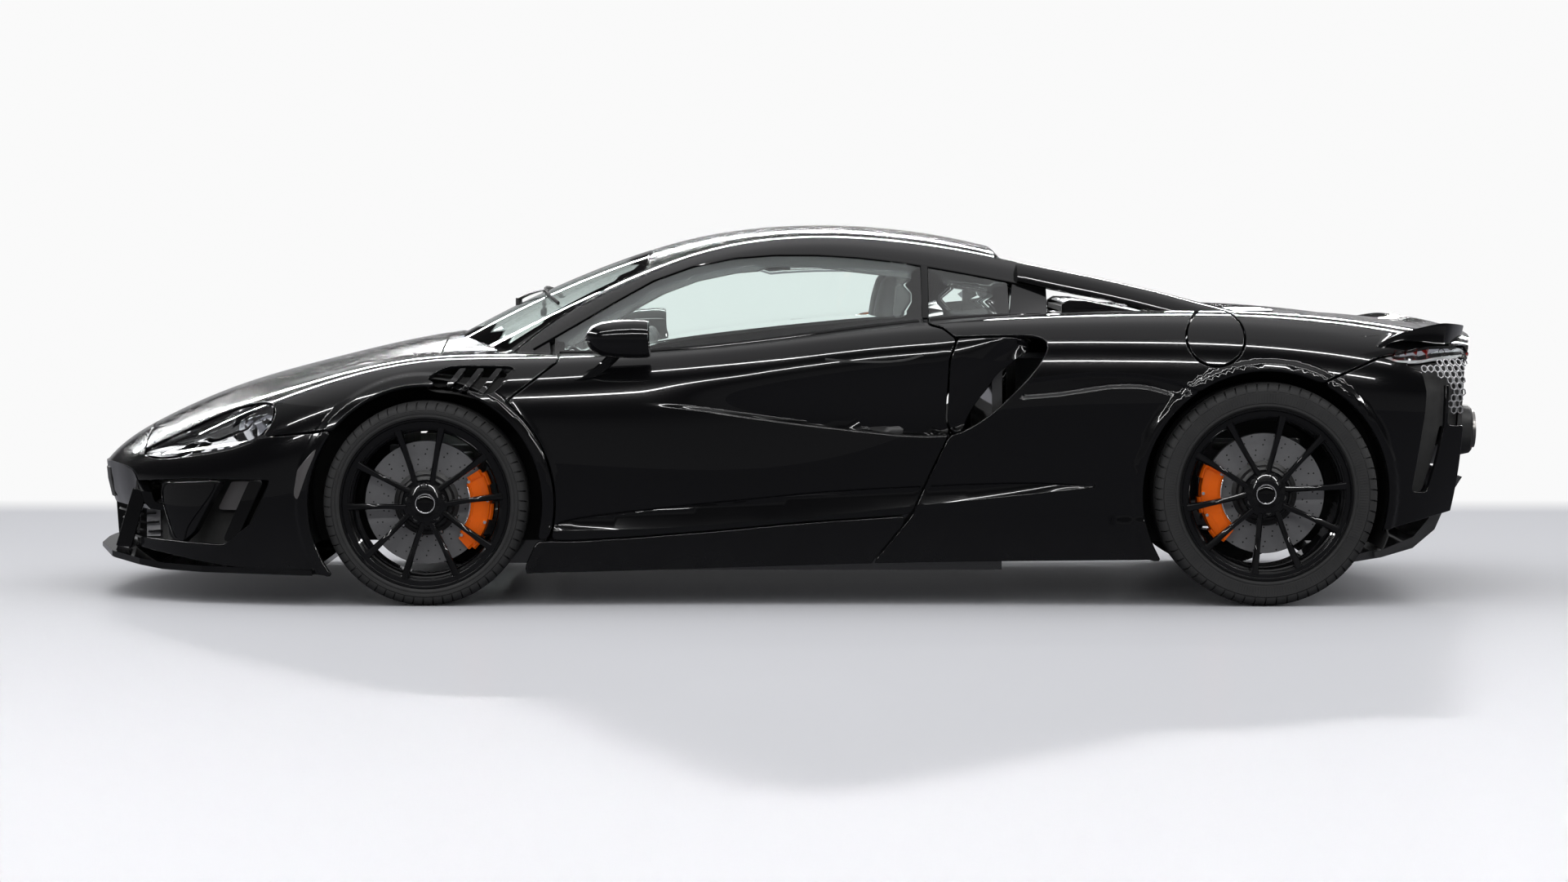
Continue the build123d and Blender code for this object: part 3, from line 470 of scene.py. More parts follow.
@dataclass
class PanelMaker:
    """Cuts closed panels with rolled edges out of a skin."""

    skin: Skin
    rows: int = 420
    columns: int = 180
    grain: float = 15.0
    wall_grain: float = 70.0

    def __post_init__(self) -> None:
        """Works out the fine grid that outlines are traced on."""
        u, v = np.meshgrid(np.linspace(0, 1, self.rows), np.linspace(0, 1, self.columns),
                           indexing="ij")
        self.grid_uv = np.stack([u.ravel(), v.ravel()], 1)
        self.grid_points = self.skin.base(self.grid_uv)
        self.scale = np.array([self.skin.length, self.skin.girth])

    def lines(self, area: Array) -> list[Array]:
        """Traces where a field on the grid is zero, in millimetres along the skin."""
        places = (self.grid_uv * self.scale).reshape(self.rows, self.columns, 2)
        return [softened(line) for line in contours(area.reshape(self.rows, self.columns), places)
                if len(line) > 5]

    def edges(self) -> list[Array]:
        """The four borders of the skin."""
        wide, tall = self.scale
        corners = np.array([[0, 0], [wide, 0], [wide, tall], [0, tall], [0, 0]], float)
        return [evenly(np.array(pair), 11.0) for pair in zip(corners[:-1], corners[1:])]

    def cut(self, area: Field, guides: Sequence[Guide] = (), roll: float = 3.0,
            wall: float = 12.0, grain: float | None = None, mirror: bool = False,
            roll_of: Callable[[Array], Array] | None = None, sink: float = 0.0) -> Shape:
        """Makes a panel.

        Args:
            area: A field that is positive inside the panel.
            guides: Lines that the mesh follows.
            roll: The radius of the rolled edge.
            wall: The panel's thickness.
            grain: The spacing of the outer mesh.
            mirror: Whether the panel runs over the centreline.
            roll_of: The edge's radius at each point, where it differs along the edge.
            sink: How far below the skin the panel's outer face lies.

        Returns:
            The closed panel on the +Y side, or over the whole width.
        """
        values = area(self.grid_points)
        outline = self.lines(values)
        borders = self.edges()
        inner_lines: list[Array] = []
        for guide in guides:
            height = guide.height(self.grid_points)
            where = np.minimum(guide.area(self.grid_points), values)
            for level in guide.levels:
                for line in self.lines(height - level):
                    inner_lines += self.kept(line, where)
        grain = grain or self.grain
        spots, faces = self.triangles(values, outline + borders, inner_lines, grain)
        loops = edge_loops(faces)
        rim = sorted({i for loop in loops for i in loop})
        uv = spots / self.scale
        normals = self.skin.normals(uv)
        points = self.skin.points(uv) - normals * sink
        walls, wall_faces = self.triangles(values, outline + borders, [], self.wall_grain)
        return self.closed(points, normals, faces, loops, uv, walls, wall_faces, spots, rim,
                           roll, wall, mirror, roll_of, sink)

    def kept(self, line: Array, where: Array) -> list[Array]:
        """The stretches of a line that lie inside a field on the grid."""
        uv = line / self.scale
        row = np.clip(np.rint(uv[:, 0] * (self.rows - 1)).astype(int), 0, self.rows - 1)
        column = np.clip(np.rint(uv[:, 1] * (self.columns - 1)).astype(int), 0, self.columns - 1)
        good = where.reshape(self.rows, self.columns)[row, column] > 2.0
        parts, run = [], []
        for spot, fine in zip(line, good):
            if fine:
                run.append(spot)
            elif run:
                parts.append(run)
                run = []
        parts.append(run)
        return [np.array(part) for part in parts if len(part) > 2]

    def trace(self, area: Field, keep: Field, step: float = 14.0) -> list[tuple[Array, Array]]:
        """Follows the edge of an area over the skin.

        Args:
            area: The area's field.
            keep: A field that is positive where the edge is wanted.
            step: The spacing of the points.

        Returns:
            For each stretch, its points and the skin's normals there.
        """
        where = keep(self.grid_points)
        parts = []
        for line in self.lines(area(self.grid_points)):
            for part in self.kept(line, where):
                uv = evenly(part, step) / self.scale
                parts.append((self.skin.points(uv), self.skin.normals(uv)))
        return parts

    def value_at(self, values: Array, spots: Array) -> Array:
        """A grid field at any places, between its grid points."""
        grid = values.reshape(self.rows, self.columns)
        place = spots / self.scale * [self.rows - 1, self.columns - 1]
        low = np.clip(np.floor(place).astype(int), 0, [self.rows - 2, self.columns - 2])
        a, b = (place - low).T
        i, j = low.T
        return ((1 - a) * (1 - b) * grid[i, j] + a * (1 - b) * grid[i + 1, j]
                + (1 - a) * b * grid[i, j + 1] + a * b * grid[i + 1, j + 1])

    def triangles(self, values: Array, outline: list[Array], inner: list[Array],
                  grain: float) -> tuple[Array, list[tuple[int, ...]]]:
        """Triangles inside a field, with edges along the lines given.

        Args:
            values: The field on the grid.
            outline: Lines along the edge.
            inner: Lines inside.
            grain: The spacing of the points between the lines.

        Returns:
            The points along the skin in millimetres, and the triangles.
        """
        lines = outline + inner
        fixed = np.vstack(lines)
        reach = np.array([[fixed[:, 0].min(), fixed[:, 0].max()],
                          [fixed[:, 1].min(), fixed[:, 1].max()]])
        columns = np.arange(reach[0, 0], reach[0, 1], grain)
        rises = np.arange(reach[1, 0], reach[1, 1], grain * 0.87)
        lattice = np.array([(x + (grain / 2 if k % 2 else 0), y) for k, y in enumerate(rises)
                            for x in columns])
        lattice = lattice[self.value_at(values, np.clip(lattice, 0, self.scale)) > grain * 0.5]
        lattice = lattice[far_from(fixed, lattice, grain * 0.55)]
        spots = [Vector(spot) for spot in fixed.tolist()]
        bonds, start = [], 0
        for line in lines:
            bonds += [(start + i, start + i + 1) for i in range(len(line) - 1)]
            start += len(line)
        spots += [Vector(spot) for spot in lattice.tolist()]
        found, _, cells, *_ = delaunay_2d_cdt(spots, bonds, [], 0, 1e-4)
        places = np.array([tuple(spot) for spot in found])
        cells = np.array([cell for cell in cells if len(cell) == 3])
        middles = places[cells].mean(1)
        good = cells[self.value_at(values, np.clip(middles, 0, self.scale)) > 0]
        used, index = np.unique(good, return_inverse=True)
        good = index.reshape(-1, 3)
        spots_used = places[used]
        a, b, c = (spots_used[good[:, k]] for k in range(3))
        turn = (b[:, 0] - a[:, 0]) * (c[:, 1] - a[:, 1]) - (b[:, 1] - a[:, 1]) * (c[:, 0] - a[:, 0])
        good = np.where((turn > 0)[:, None], good, good[:, ::-1])
        return spots_used, [tuple(face) for face in good[np.abs(turn) > 1e-6].tolist()]

    def closed(self, points: Array, normals: Array, faces: list[tuple[int, ...]],
               loops: list[list[int]], uv: Array, walls: Array,
               wall_faces: list[tuple[int, ...]], spots: Array, rim: list[int], roll: float,
               wall: float, mirror: bool, roll_of: Callable[[Array], Array] | None,
               sink: float) -> Shape:
        """Rolls the edges of an outer layer over and closes it with an inner one."""
        count = len(points)
        outward = np.zeros_like(points)
        for loop in loops:
            ring = points[loop]
            ahead = np.roll(ring, -1, 0) - np.roll(ring, 1, 0)
            out = np.cross(ahead, normals[loop])
            out /= np.maximum(np.linalg.norm(out, axis=1, keepdims=True), 1e-9)
            for _ in range(2):
                out = 0.5 * out + 0.25 * (np.roll(out, 1, 0) + np.roll(out, -1, 0))
            outward[loop] = out / np.maximum(np.linalg.norm(out, axis=1, keepdims=True), 1e-9)
        seam = (uv[:, 1] < 1e-6) if mirror else np.zeros(count, bool)
        outward[seam, 1] = 0
        radius = np.full(count, roll) if roll_of is None else roll_of(points)
        all_points, all_normals, all_faces = [points], [normals], list(faces)
        levels = [math.radians(a) for a in (30, 60, 90)]
        ring_at = {0: {i: i for i in rim}}
        start = count
        for k, turn in enumerate([*levels, None], 1):
            r = radius[rim][:, None]
            if turn is None:
                place = points[rim] + outward[rim] * r - normals[rim] * wall
                facing = outward[rim]
            else:
                place = (points[rim] + outward[rim] * (r * math.sin(turn))
                         - normals[rim] * (r * (1 - math.cos(turn))))
                facing = outward[rim] * math.sin(turn) + normals[rim] * math.cos(turn)
            all_points.append(place)
            all_normals.append(facing)
            ring_at[k] = {i: start + n for n, i in enumerate(rim)}
            start += len(rim)
        for loop in loops:
            for a, b in zip(loop, loop[1:] + loop[:1]):
                if seam[a] and seam[b]:
                    continue
                for k in range(4):
                    low, high = ring_at[k], ring_at[k + 1]
                    all_faces.append((low[b], low[a], high[a], high[b]))
        key_of = {tuple(np.round(spots[i], 3)): ring_at[4][i] for i in rim}
        wall_uv = walls / self.scale
        wall_normals = self.skin.normals(wall_uv)
        wall_points = self.skin.points(wall_uv) - wall_normals * (wall + sink)
        index = []
        for n, spot in enumerate(np.round(walls, 3)):
            known = key_of.get(tuple(spot))
            if known is None:
                index.append(start)
                all_points.append(wall_points[n:n + 1])
                all_normals.append(-wall_normals[n:n + 1])
                start += 1
            else:
                index.append(known)
        all_faces += [(index[c], index[b], index[a]) for a, b, c in wall_faces]
        shape = Shape(np.vstack(all_points), all_faces, np.vstack(all_normals))
        return welded_mirror(shape) if mirror else shape


def far_from(fixed: Array, spots: Array, distance: float) -> Array:
    """Whether each spot is at least a distance from every fixed one, by cells of that size."""
    cells: dict[tuple[int, int], list[Array]] = {}
    for spot in fixed:
        cells.setdefault((int(spot[0] // distance), int(spot[1] // distance)), []).append(spot)
    result = np.ones(len(spots), bool)
    for n, spot in enumerate(spots):
        column, row = int(spot[0] // distance), int(spot[1] // distance)
        for i in (column - 1, column, column + 1):
            for j in (row - 1, row, row + 1):
                for other in cells.get((i, j), ()):
                    if (other[0] - spot[0]) ** 2 + (other[1] - spot[1]) ** 2 < distance ** 2:
                        result[n] = False
    return result


def edge_loops(faces: list[tuple[int, ...]]) -> list[list[int]]:
    """The loops of points around the open edges of a mesh."""
    seen = {(a, b) for face in faces for a, b in zip(face, face[1:] + face[:1])}
    ahead: dict[int, list[int]] = {}
    for a, b in seen:
        if (b, a) not in seen:
            ahead.setdefault(a, []).append(b)
    loops = []
    for start in sorted(ahead):
        while ahead.get(start):
            loop, here = [start], ahead[start].pop()
            while here != start and ahead.get(here):
                loop.append(here)
                here = ahead[here].pop()
            loops.append(loop)
    return loops


def welded_mirror(shape: Shape) -> Shape:
    """A half shape and its mirror image, sharing their points on the centreline."""
    on_seam = np.abs(shape.points[:, 1]) < 0.05
    points = shape.points.copy()
    points[on_seam, 1] = 0
    count = len(points)
    other = np.where(on_seam, np.arange(count), np.cumsum(~on_seam) - 1 + count)
    normals = shape.normals
    faces = shape.faces + [tuple(int(other[i]) for i in face)[::-1] for face in shape.faces]
    return Shape(np.vstack([points, points[~on_seam] * MIRROR]), faces,
                 np.vstack([normals, normals[~on_seam] * MIRROR]))


# ---------------------------------------------------------------- shader parts
class Look:
    """Builds a node material step by step."""

    def __init__(self, name: str) -> None:
        """Starts a material with a plain Principled BSDF."""
        self.material = bpy.data.materials.new(name)
        self.material.use_nodes = True
        self.tree = self.material.node_tree
        self.shader = self.tree.nodes["Principled BSDF"]
        self.place = self.tree.nodes.new("ShaderNodeTexCoord").outputs["Object"]

    def set(self, **values: float | Sequence[float]) -> Look:
        """Sets the shader's own sockets; an underscore in a name stands for a space."""
        for name, value in values.items():
            self.shader.inputs[name.replace("_", " ")].default_value = value
        return self

    def use(self, group: bpy.types.NodeTree, **values: float) -> bpy.types.Node:
        """Places a shared group on the object's own coordinates."""
        node = self.tree.nodes.new("ShaderNodeGroup")
        node.node_tree = group
        self.tree.links.new(self.place, node.inputs["Place"])
        for name, value in values.items():
            node.inputs[name.replace("_", " ")].default_value = value
        return node

    def link(self, source: bpy.types.NodeSocket, target: str) -> None:
        """Feeds one of the shader's sockets."""
        self.tree.links.new(source, self.shader.inputs[target])

    def blend(self, share: bpy.types.NodeSocket, first: Sequence[float],
              second: Sequence[float], target: str = "Base Color") -> None:
        """Feeds a colour socket with a mix of two colours."""
        mix = self.tree.nodes.new("ShaderNodeMix")
        mix.data_type = "RGBA"
        mix.inputs["A"].default_value = (*first, 1)
        mix.inputs["B"].default_value = (*second, 1)
        self.tree.links.new(share, mix.inputs["Factor"])
        self.tree.links.new(mix.outputs["Result"], self.shader.inputs[target])

    def span(self, source: bpy.types.NodeSocket, low: float, high: float, target: str) -> None:
        """Feeds a number socket with a 0 to 1 value stretched between two limits."""
        ranged = self.tree.nodes.new("ShaderNodeMapRange")
        ranged.inputs["To Min"].default_value = low
        ranged.inputs["To Max"].default_value = high
        self.tree.links.new(source, ranged.inputs["Value"])
        self.tree.links.new(ranged.outputs["Result"], self.shader.inputs[target])

    def bump(self, height: bpy.types.NodeSocket, strength: float, distance: float) -> None:
        """Feeds the shader's normal from a height."""
        bump = self.tree.nodes.new("ShaderNodeBump")
        bump.inputs["Strength"].default_value = strength
        bump.inputs["Distance"].default_value = distance
        self.tree.links.new(height, bump.inputs["Height"])
        self.tree.links.new(bump.outputs["Normal"], self.shader.inputs["Normal"])


def group_tree(name: str, inputs: dict[str, float], outputs: Sequence[str]) \
        -> tuple[bpy.types.NodeTree, bpy.types.Node, bpy.types.Node]:
    """A shader group with a Place input, number inputs and number outputs.

    Args:
        name: The group's name.
        inputs: Its number inputs and their values.
        outputs: Its number outputs.

    Returns:
        The group, its input node and its output node.
    """
    tree = bpy.data.node_groups.new(name, "ShaderNodeTree")
    tree.interface.new_socket("Place", in_out="INPUT", socket_type="NodeSocketVector")
    for socket, value in inputs.items():
        made = tree.interface.new_socket(socket, in_out="INPUT", socket_type="NodeSocketFloat")
        made.default_value = value
    for socket in outputs:
        tree.interface.new_socket(socket, in_out="OUTPUT", socket_type="NodeSocketFloat")
    return tree, tree.nodes.new("NodeGroupInput"), tree.nodes.new("NodeGroupOutput")


def grain_group() -> bpy.types.NodeTree:
    """Fine and coarse noise together, for peel, cast skin, rubber and hide."""
    tree, given, out = group_tree("surface grain", {"Fine": 900.0, "Coarse": 40.0}, ["Height",
                                                                                   "Patches"])
    for size, detail, target in (("Fine", 3.0, "Height"), ("Coarse", 4.0, "Patches")):
        noise = tree.nodes.new("ShaderNodeTexNoise")
        noise.inputs["Detail"].default_value = detail
        tree.links.new(given.outputs["Place"], noise.inputs["Vector"])
        tree.links.new(given.outputs[size], noise.inputs["Scale"])
        tree.links.new(noise.outputs["Fac"], out.inputs[target])
    return tree


def dust_group() -> bpy.types.NodeTree:
    """Dust that gathers low on a piece: more below a height, broken up by noise."""
    tree, given, out = group_tree("road dust", {"Top": 0.35, "Soft": 0.3, "Scale": 9.0}, ["Dust"])
    height = tree.nodes.new("ShaderNodeSeparateXYZ")
    tree.links.new(given.outputs["Place"], height.inputs["Vector"])
    below = tree.nodes.new("ShaderNodeMath")
    below.operation = "SUBTRACT"
    tree.links.new(given.outputs["Top"], below.inputs[0])
    tree.links.new(height.outputs["Z"], below.inputs[1])
    share = tree.nodes.new("ShaderNodeMath")
    share.operation = "DIVIDE"
    share.use_clamp = True
    tree.links.new(below.outputs[0], share.inputs[0])
    tree.links.new(given.outputs["Soft"], share.inputs[1])
    noise = tree.nodes.new("ShaderNodeTexNoise")
    noise.inputs["Detail"].default_value = 5.0
    tree.links.new(given.outputs["Place"], noise.inputs["Vector"])
    tree.links.new(given.outputs["Scale"], noise.inputs["Scale"])
    both = tree.nodes.new("ShaderNodeMath")
    both.operation = "MULTIPLY"
    tree.links.new(share.outputs[0], both.inputs[0])
    tree.links.new(noise.outputs["Fac"], both.inputs[1])
    tree.links.new(both.outputs[0], out.inputs["Dust"])
    return tree


def twill_group() -> bpy.types.NodeTree:
    """A woven pattern of crossing tows, light and dark in turn."""
    tree, given, out = group_tree("woven tows", {"Scale": 260.0}, ["Weave"])
    scaled = tree.nodes.new("ShaderNodeVectorMath")
    scaled.operation = "SCALE"
    tree.links.new(given.outputs["Place"], scaled.inputs[0])
    tree.links.new(given.outputs["Scale"], scaled.inputs["Scale"])
    checks = tree.nodes.new("ShaderNodeTexChecker")
    checks.inputs["Scale"].default_value = 1.0
    waves = tree.nodes.new("ShaderNodeTexWave")
    waves.bands_direction = "DIAGONAL"
    waves.inputs["Scale"].default_value = 0.7
    for node in (checks, waves):
        tree.links.new(scaled.outputs[0], node.inputs["Vector"])
    mixed = tree.nodes.new("ShaderNodeMath")
    mixed.operation = "MULTIPLY"
    tree.links.new(checks.outputs["Fac"], mixed.inputs[0])
    tree.links.new(waves.outputs["Fac"], mixed.inputs[1])
    tree.links.new(mixed.outputs[0], out.inputs["Weave"])
    return tree


@dataclass
class Finishes:
    """Every finish of the car, by the name of the record's slot or of the trim it dresses."""

    made: dict[str, bpy.types.Material] = field(default_factory=dict)

    def __post_init__(self) -> None:
        """Builds the shared groups and then each finish."""
        self.grain, self.dust, self.twill = grain_group(), dust_group(), twill_group()
        self.lacquer("paint", (0.0035, 0.0035, 0.004), 0.16)
        self.lacquer("gloss_trim", (0.002, 0.002, 0.0022), 0.1)
        self.lacquer("rim", (0.004, 0.004, 0.0045), 0.2)
        self.lacquer("caliper", (1.0, 0.155, 0.004), 0.3)
        self.moulded("trim", (0.008, 0.008, 0.0085), 0.5)
        self.moulded("tyre", (0.008, 0.008, 0.0085), 0.8)
        self.moulded("underbody", (0.008, 0.008, 0.008), 0.8)
        self.moulded("engine", (0.05, 0.05, 0.052), 0.6)
        self.metal("disc", (0.13, 0.13, 0.135), 0.45, 0.4)
        self.metal("steel", (0.62, 0.62, 0.63), 0.22, 1.0)
        self.metal("cast", (0.30, 0.30, 0.31), 0.5, 0.8)
        self.metal("exhaust", (0.16, 0.155, 0.15), 0.3, 1.0)
        self.metal("mirror", (0.85, 0.86, 0.87), 0.02, 1.0)
        self.metal("bowl", (0.72, 0.73, 0.75), 0.12, 1.0)
        self.clear("glass", (0.86, 0.93, 0.91), 0.0)
        self.clear("dark_glass", (0.10, 0.105, 0.11), 0.0)
        self.clear("lamp", (0.93, 0.95, 0.97), 0.0)
        self.clear("red_lamp", (0.45, 0.02, 0.015), 0.05)
        self.hide("leather", (0.020, 0.020, 0.021))
        self.hide("suede", (0.028, 0.028, 0.030), sheen=0.5)
        self.woven("carbon")
        self.plain("light", (0.50, 0.51, 0.51), 0.35)
        self.plain("smoke", (0.075, 0.07, 0.07), 0.25)
        self.plain("stitch", (0.80, 0.20, 0.03), 0.7)
        # A flat near-black finish that paints the shade inside openings, holes, slots and recesses.
        self.plain("void", (0.002, 0.002, 0.002), 0.9)
        self.plain("plate", (0.02, 0.02, 0.02), 0.4)

    def __getitem__(self, name: str) -> bpy.types.Material:
        """The finish of that name."""
        return self.made[name]

    def lacquer(self, name: str, colour: Sequence[float], roughness: float) -> None:
        """Deep gloss paint under clear coat, with a trace of peel and of dust low down."""
        look = Look(name)
        look.set(Roughness=roughness, Coat_Weight=1.0, Coat_Roughness=0.012, Coat_IOR=1.26,
                 Specular_IOR_Level=0.05)
        grain = look.use(self.grain, Fine=260.0, Coarse=6.0)
        dust = look.use(self.dust, Top=0.28, Soft=0.4, Scale=14.0)
        look.bump(grain.outputs["Height"], 0.0015, 0.001)
        look.span(grain.outputs["Patches"], roughness * 0.8, roughness * 1.25, "Roughness")
        dusty = [min(1.0, c + 0.012) for c in colour]
        look.blend(dust.outputs["Dust"], colour, dusty)
        self.made[name] = look.material

    def moulded(self, name: str, colour: Sequence[float], roughness: float) -> None:
        """Rubber and grained plastic, paler and duller where dust lies."""
        look = Look(name)
        look.set(Specular_IOR_Level=0.28)
        grain = look.use(self.grain, Fine=620.0, Coarse=22.0)
        dust = look.use(self.dust, Top=0.22, Soft=0.3, Scale=24.0)
        look.bump(grain.outputs["Height"], 0.12, 0.001)
        look.span(grain.outputs["Patches"], roughness - 0.12, min(1.0, roughness + 0.12),
                  "Roughness")
        look.blend(dust.outputs["Dust"], colour, [c * 1.7 + 0.008 for c in colour])
        self.made[name] = look.material

    def metal(self, name: str, colour: Sequence[float], roughness: float,
              metallic: float) -> None:
        """Bare or coated metal with a fine, uneven polish."""
        look = Look(name)
        look.set(Metallic=metallic)
        grain = look.use(self.grain, Fine=1400.0, Coarse=60.0)
        look.bump(grain.outputs["Height"], 0.02 if roughness < 0.2 else 0.08, 0.0005)
        look.span(grain.outputs["Patches"], roughness * 0.75, roughness * 1.3, "Roughness")
        look.blend(grain.outputs["Patches"], colour, [c * 0.8 for c in colour])
        self.made[name] = look.material

    def clear(self, name: str, tint: Sequence[float], roughness: float) -> None:
        """Tinted glass or clear plastic."""
        look = Look(name)
        look.set(Transmission_Weight=1.0, Roughness=roughness, IOR=1.45,
                 Base_Color=(*tint, 1), Specular_IOR_Level=0.5)
        grain = look.use(self.grain, Fine=30.0, Coarse=3.0)
        look.bump(grain.outputs["Patches"], 0.004, 0.001)
        self.made[name] = look.material

    def hide(self, name: str, colour: Sequence[float], sheen: float = 0.12) -> None:
        """Leather or suede: pebbled, with a soft sheen."""
        look = Look(name)
        look.set(Sheen_Weight=sheen, Sheen_Roughness=0.5)
        grain = look.use(self.grain, Fine=380.0, Coarse=16.0)
        look.bump(grain.outputs["Height"], 0.35, 0.0012)
        look.span(grain.outputs["Patches"], 0.45, 0.75, "Roughness")
        look.blend(grain.outputs["Patches"], colour, [c * 1.6 for c in colour])
        self.made[name] = look.material

    def woven(self, name: str) -> None:
        """Lacquered twill of black tows."""
        look = Look(name)
        look.set(Coat_Weight=1.0, Coat_Roughness=0.03)
        weave = look.use(self.twill, Scale=240.0)
        look.blend(weave.outputs["Weave"], (0.006, 0.006, 0.0065), (0.028, 0.028, 0.030))
        look.span(weave.outputs["Weave"], 0.28, 0.5, "Roughness")
        self.made[name] = look.material

    def plain(self, name: str, colour: Sequence[float], roughness: float) -> None:
        """A small part in one colour with a little unevenness."""
        look = Look(name)
        grain = look.use(self.grain, Fine=800.0, Coarse=30.0)
        look.bump(grain.outputs["Height"], 0.05, 0.0005)
        look.span(grain.outputs["Patches"], roughness * 0.85, min(1.0, roughness * 1.15),
                  "Roughness")
        look.blend(grain.outputs["Patches"], colour, [c * 0.85 for c in colour])
        self.made[name] = look.material


# ---------------------------------------------------------------- pieces
@dataclass
class Workshop:
    """Turns shapes into finished pieces that ride on the frame's bodies."""

    finishes: Finishes
    made: list[bpy.types.Object] = field(default_factory=list)

    def mesh(self, shape: Shape, name: str, sharp: float | None = 35.0) -> bpy.types.Object:
        """An object from a shape.

        Args:
            shape: The shape, in millimetres.
            name: The object's name.
            sharp: The angle in degrees past which an edge is sharp, or None to keep the
                shape's own normals.

        Returns:
            The object, at the origin, with its place in its mesh.
        """
        mesh = bpy.data.meshes.new(name)
        mesh.from_pydata((shape.points * MM).tolist(), [], shape.faces)
        mesh.update()
        mesh.shade_smooth()
        if shape.normals is not None and sharp is None:
            mesh.normals_split_custom_set_from_vertices(shape.normals.tolist())
        elif sharp is not None:
            mesh.set_sharp_from_angle(angle=math.radians(sharp))
        thing = bpy.data.objects.new(name, mesh)
        bpy.context.scene.collection.objects.link(thing)
        return thing

    def bevelled(self, thing: bpy.types.Object, width: float,
                 segments: int = 2) -> bpy.types.Object:
        """The same object with its sharp edges rounded."""
        bevel = thing.modifiers.new("rounding", "BEVEL")
        bevel.width = width * MM
        bevel.segments = segments
        bevel.limit_method = "ANGLE"
        bevel.angle_limit = math.radians(30)
        bevel.harden_normals = True
        return self.settled(thing)

    def settled(self, thing: bpy.types.Object) -> bpy.types.Object:
        """The same object with its modifiers applied."""
        bpy.context.view_layer.update()
        graph = bpy.context.evaluated_depsgraph_get()
        mesh = bpy.data.meshes.new_from_object(thing.evaluated_get(graph))
        thing.modifiers.clear()
        thing.data = mesh
        return thing

    def fit(self, thing: bpy.types.Object | Shape, name: str, body: str, finish: str,
            slot: str | None = None, replaces: Sequence[str] = (),
            sharp: float | None = 35.0, bevel: float = 0.0) -> bpy.types.Object:
        """Finishes a piece and sets it on its body.

        Args:
            thing: The piece, as an object or a shape.
            name: Its name.
            body: The body it rides on.
            finish: The finish it gets.
            slot: The record's slot, where it isn't called as the finish is; not used.
            replaces: The frame's nodes that it stands for.
            sharp: The angle past which an edge of a shape is sharp.
            bevel: The radius of a shape's edges.

        Returns:
            The piece.
        """
        if isinstance(thing, Shape):
            thing = self.mesh(thing, name, sharp)
            if bevel:
                self.bevelled(thing, bevel)
        thing.name = name
        thing.data.materials.clear()
        thing.data.materials.append(self.finishes[finish])
        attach(thing, body)
        if replaces:
            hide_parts(*replaces)
        self.made.append(thing)
        LOG.info("%s on %s: %d faces", name, body, len(thing.data.polygons))
        return thing


# ---------------------------------------------------------------- repeats by nodes
def repeat_tree(name: str, ring: bool) -> bpy.types.NodeTree:
    """A Geometry Nodes tree that repeats one piece.

    Args:
        name: The tree's name.
        ring: Whether the copies stand around the Y axis, or else on the mesh's own points,
            turned by their "turn" attribute.

    Returns:
        The tree, with the piece, the copies' count and radius, and the finish as inputs.
    """
    tree = bpy.data.node_groups.new(name, "GeometryNodeTree")
    tree.interface.new_socket("Geometry", in_out="INPUT", socket_type="NodeSocketGeometry")
    for socket, kind in (("Piece", "Object"), ("Finish", "Material"), ("Count", "Int"),
                         ("Radius", "Float"), ("First", "Float")):
        tree.interface.new_socket(socket, in_out="INPUT", socket_type="NodeSocket" + kind)
    tree.interface.new_socket("Geometry", in_out="OUTPUT", socket_type="NodeSocketGeometry")
    nodes, links = tree.nodes, tree.links
    given, out = nodes.new("NodeGroupInput"), nodes.new("NodeGroupOutput")
    piece = nodes.new("GeometryNodeObjectInfo")
    copies = nodes.new("GeometryNodeInstanceOnPoints")
    real, finish = nodes.new("GeometryNodeRealizeInstances"), nodes.new("GeometryNodeSetMaterial")
    links.new(given.outputs["Piece"], piece.inputs["Object"])
    links.new(piece.outputs["Geometry"], copies.inputs["Instance"])
    if ring:
        circle, index = nodes.new("GeometryNodeMeshCircle"), nodes.new("GeometryNodeInputIndex")
        links.new(given.outputs["Count"], circle.inputs["Vertices"])
        circle.inputs["Radius"].default_value = 0.0
        share, scaled = nodes.new("ShaderNodeMath"), nodes.new("ShaderNodeMath")
        share.operation, scaled.operation = "DIVIDE", "MULTIPLY_ADD"
        links.new(index.outputs["Index"], share.inputs[0])
        links.new(given.outputs["Count"], share.inputs[1])
        links.new(share.outputs[0], scaled.inputs[0])
        scaled.inputs[1].default_value = 2 * math.pi
        links.new(given.outputs["First"], scaled.inputs[2])
        turn = nodes.new("ShaderNodeCombineXYZ")
        links.new(scaled.outputs[0], turn.inputs["Y"])
        links.new(circle.outputs["Mesh"], copies.inputs["Points"])
        links.new(turn.outputs["Vector"], copies.inputs["Rotation"])
        shift = nodes.new("GeometryNodeTranslateInstances")
        out_by = nodes.new("ShaderNodeCombineXYZ")
        links.new(given.outputs["Radius"], out_by.inputs["X"])
        links.new(out_by.outputs["Vector"], shift.inputs["Translation"])
        links.new(copies.outputs["Instances"], shift.inputs["Instances"])
        links.new(shift.outputs["Instances"], real.inputs["Geometry"])
    else:
        turn = nodes.new("GeometryNodeInputNamedAttribute")
        turn.data_type = "FLOAT_VECTOR"
        turn.inputs["Name"].default_value = "turn"
        links.new(given.outputs["Geometry"], copies.inputs["Points"])
        links.new(turn.outputs["Attribute"], copies.inputs["Rotation"])
        links.new(copies.outputs["Instances"], real.inputs["Geometry"])
    links.new(real.outputs["Geometry"], finish.inputs["Geometry"])
    links.new(given.outputs["Finish"], finish.inputs["Material"])
    links.new(finish.outputs["Geometry"], out.inputs["Geometry"])
    return tree


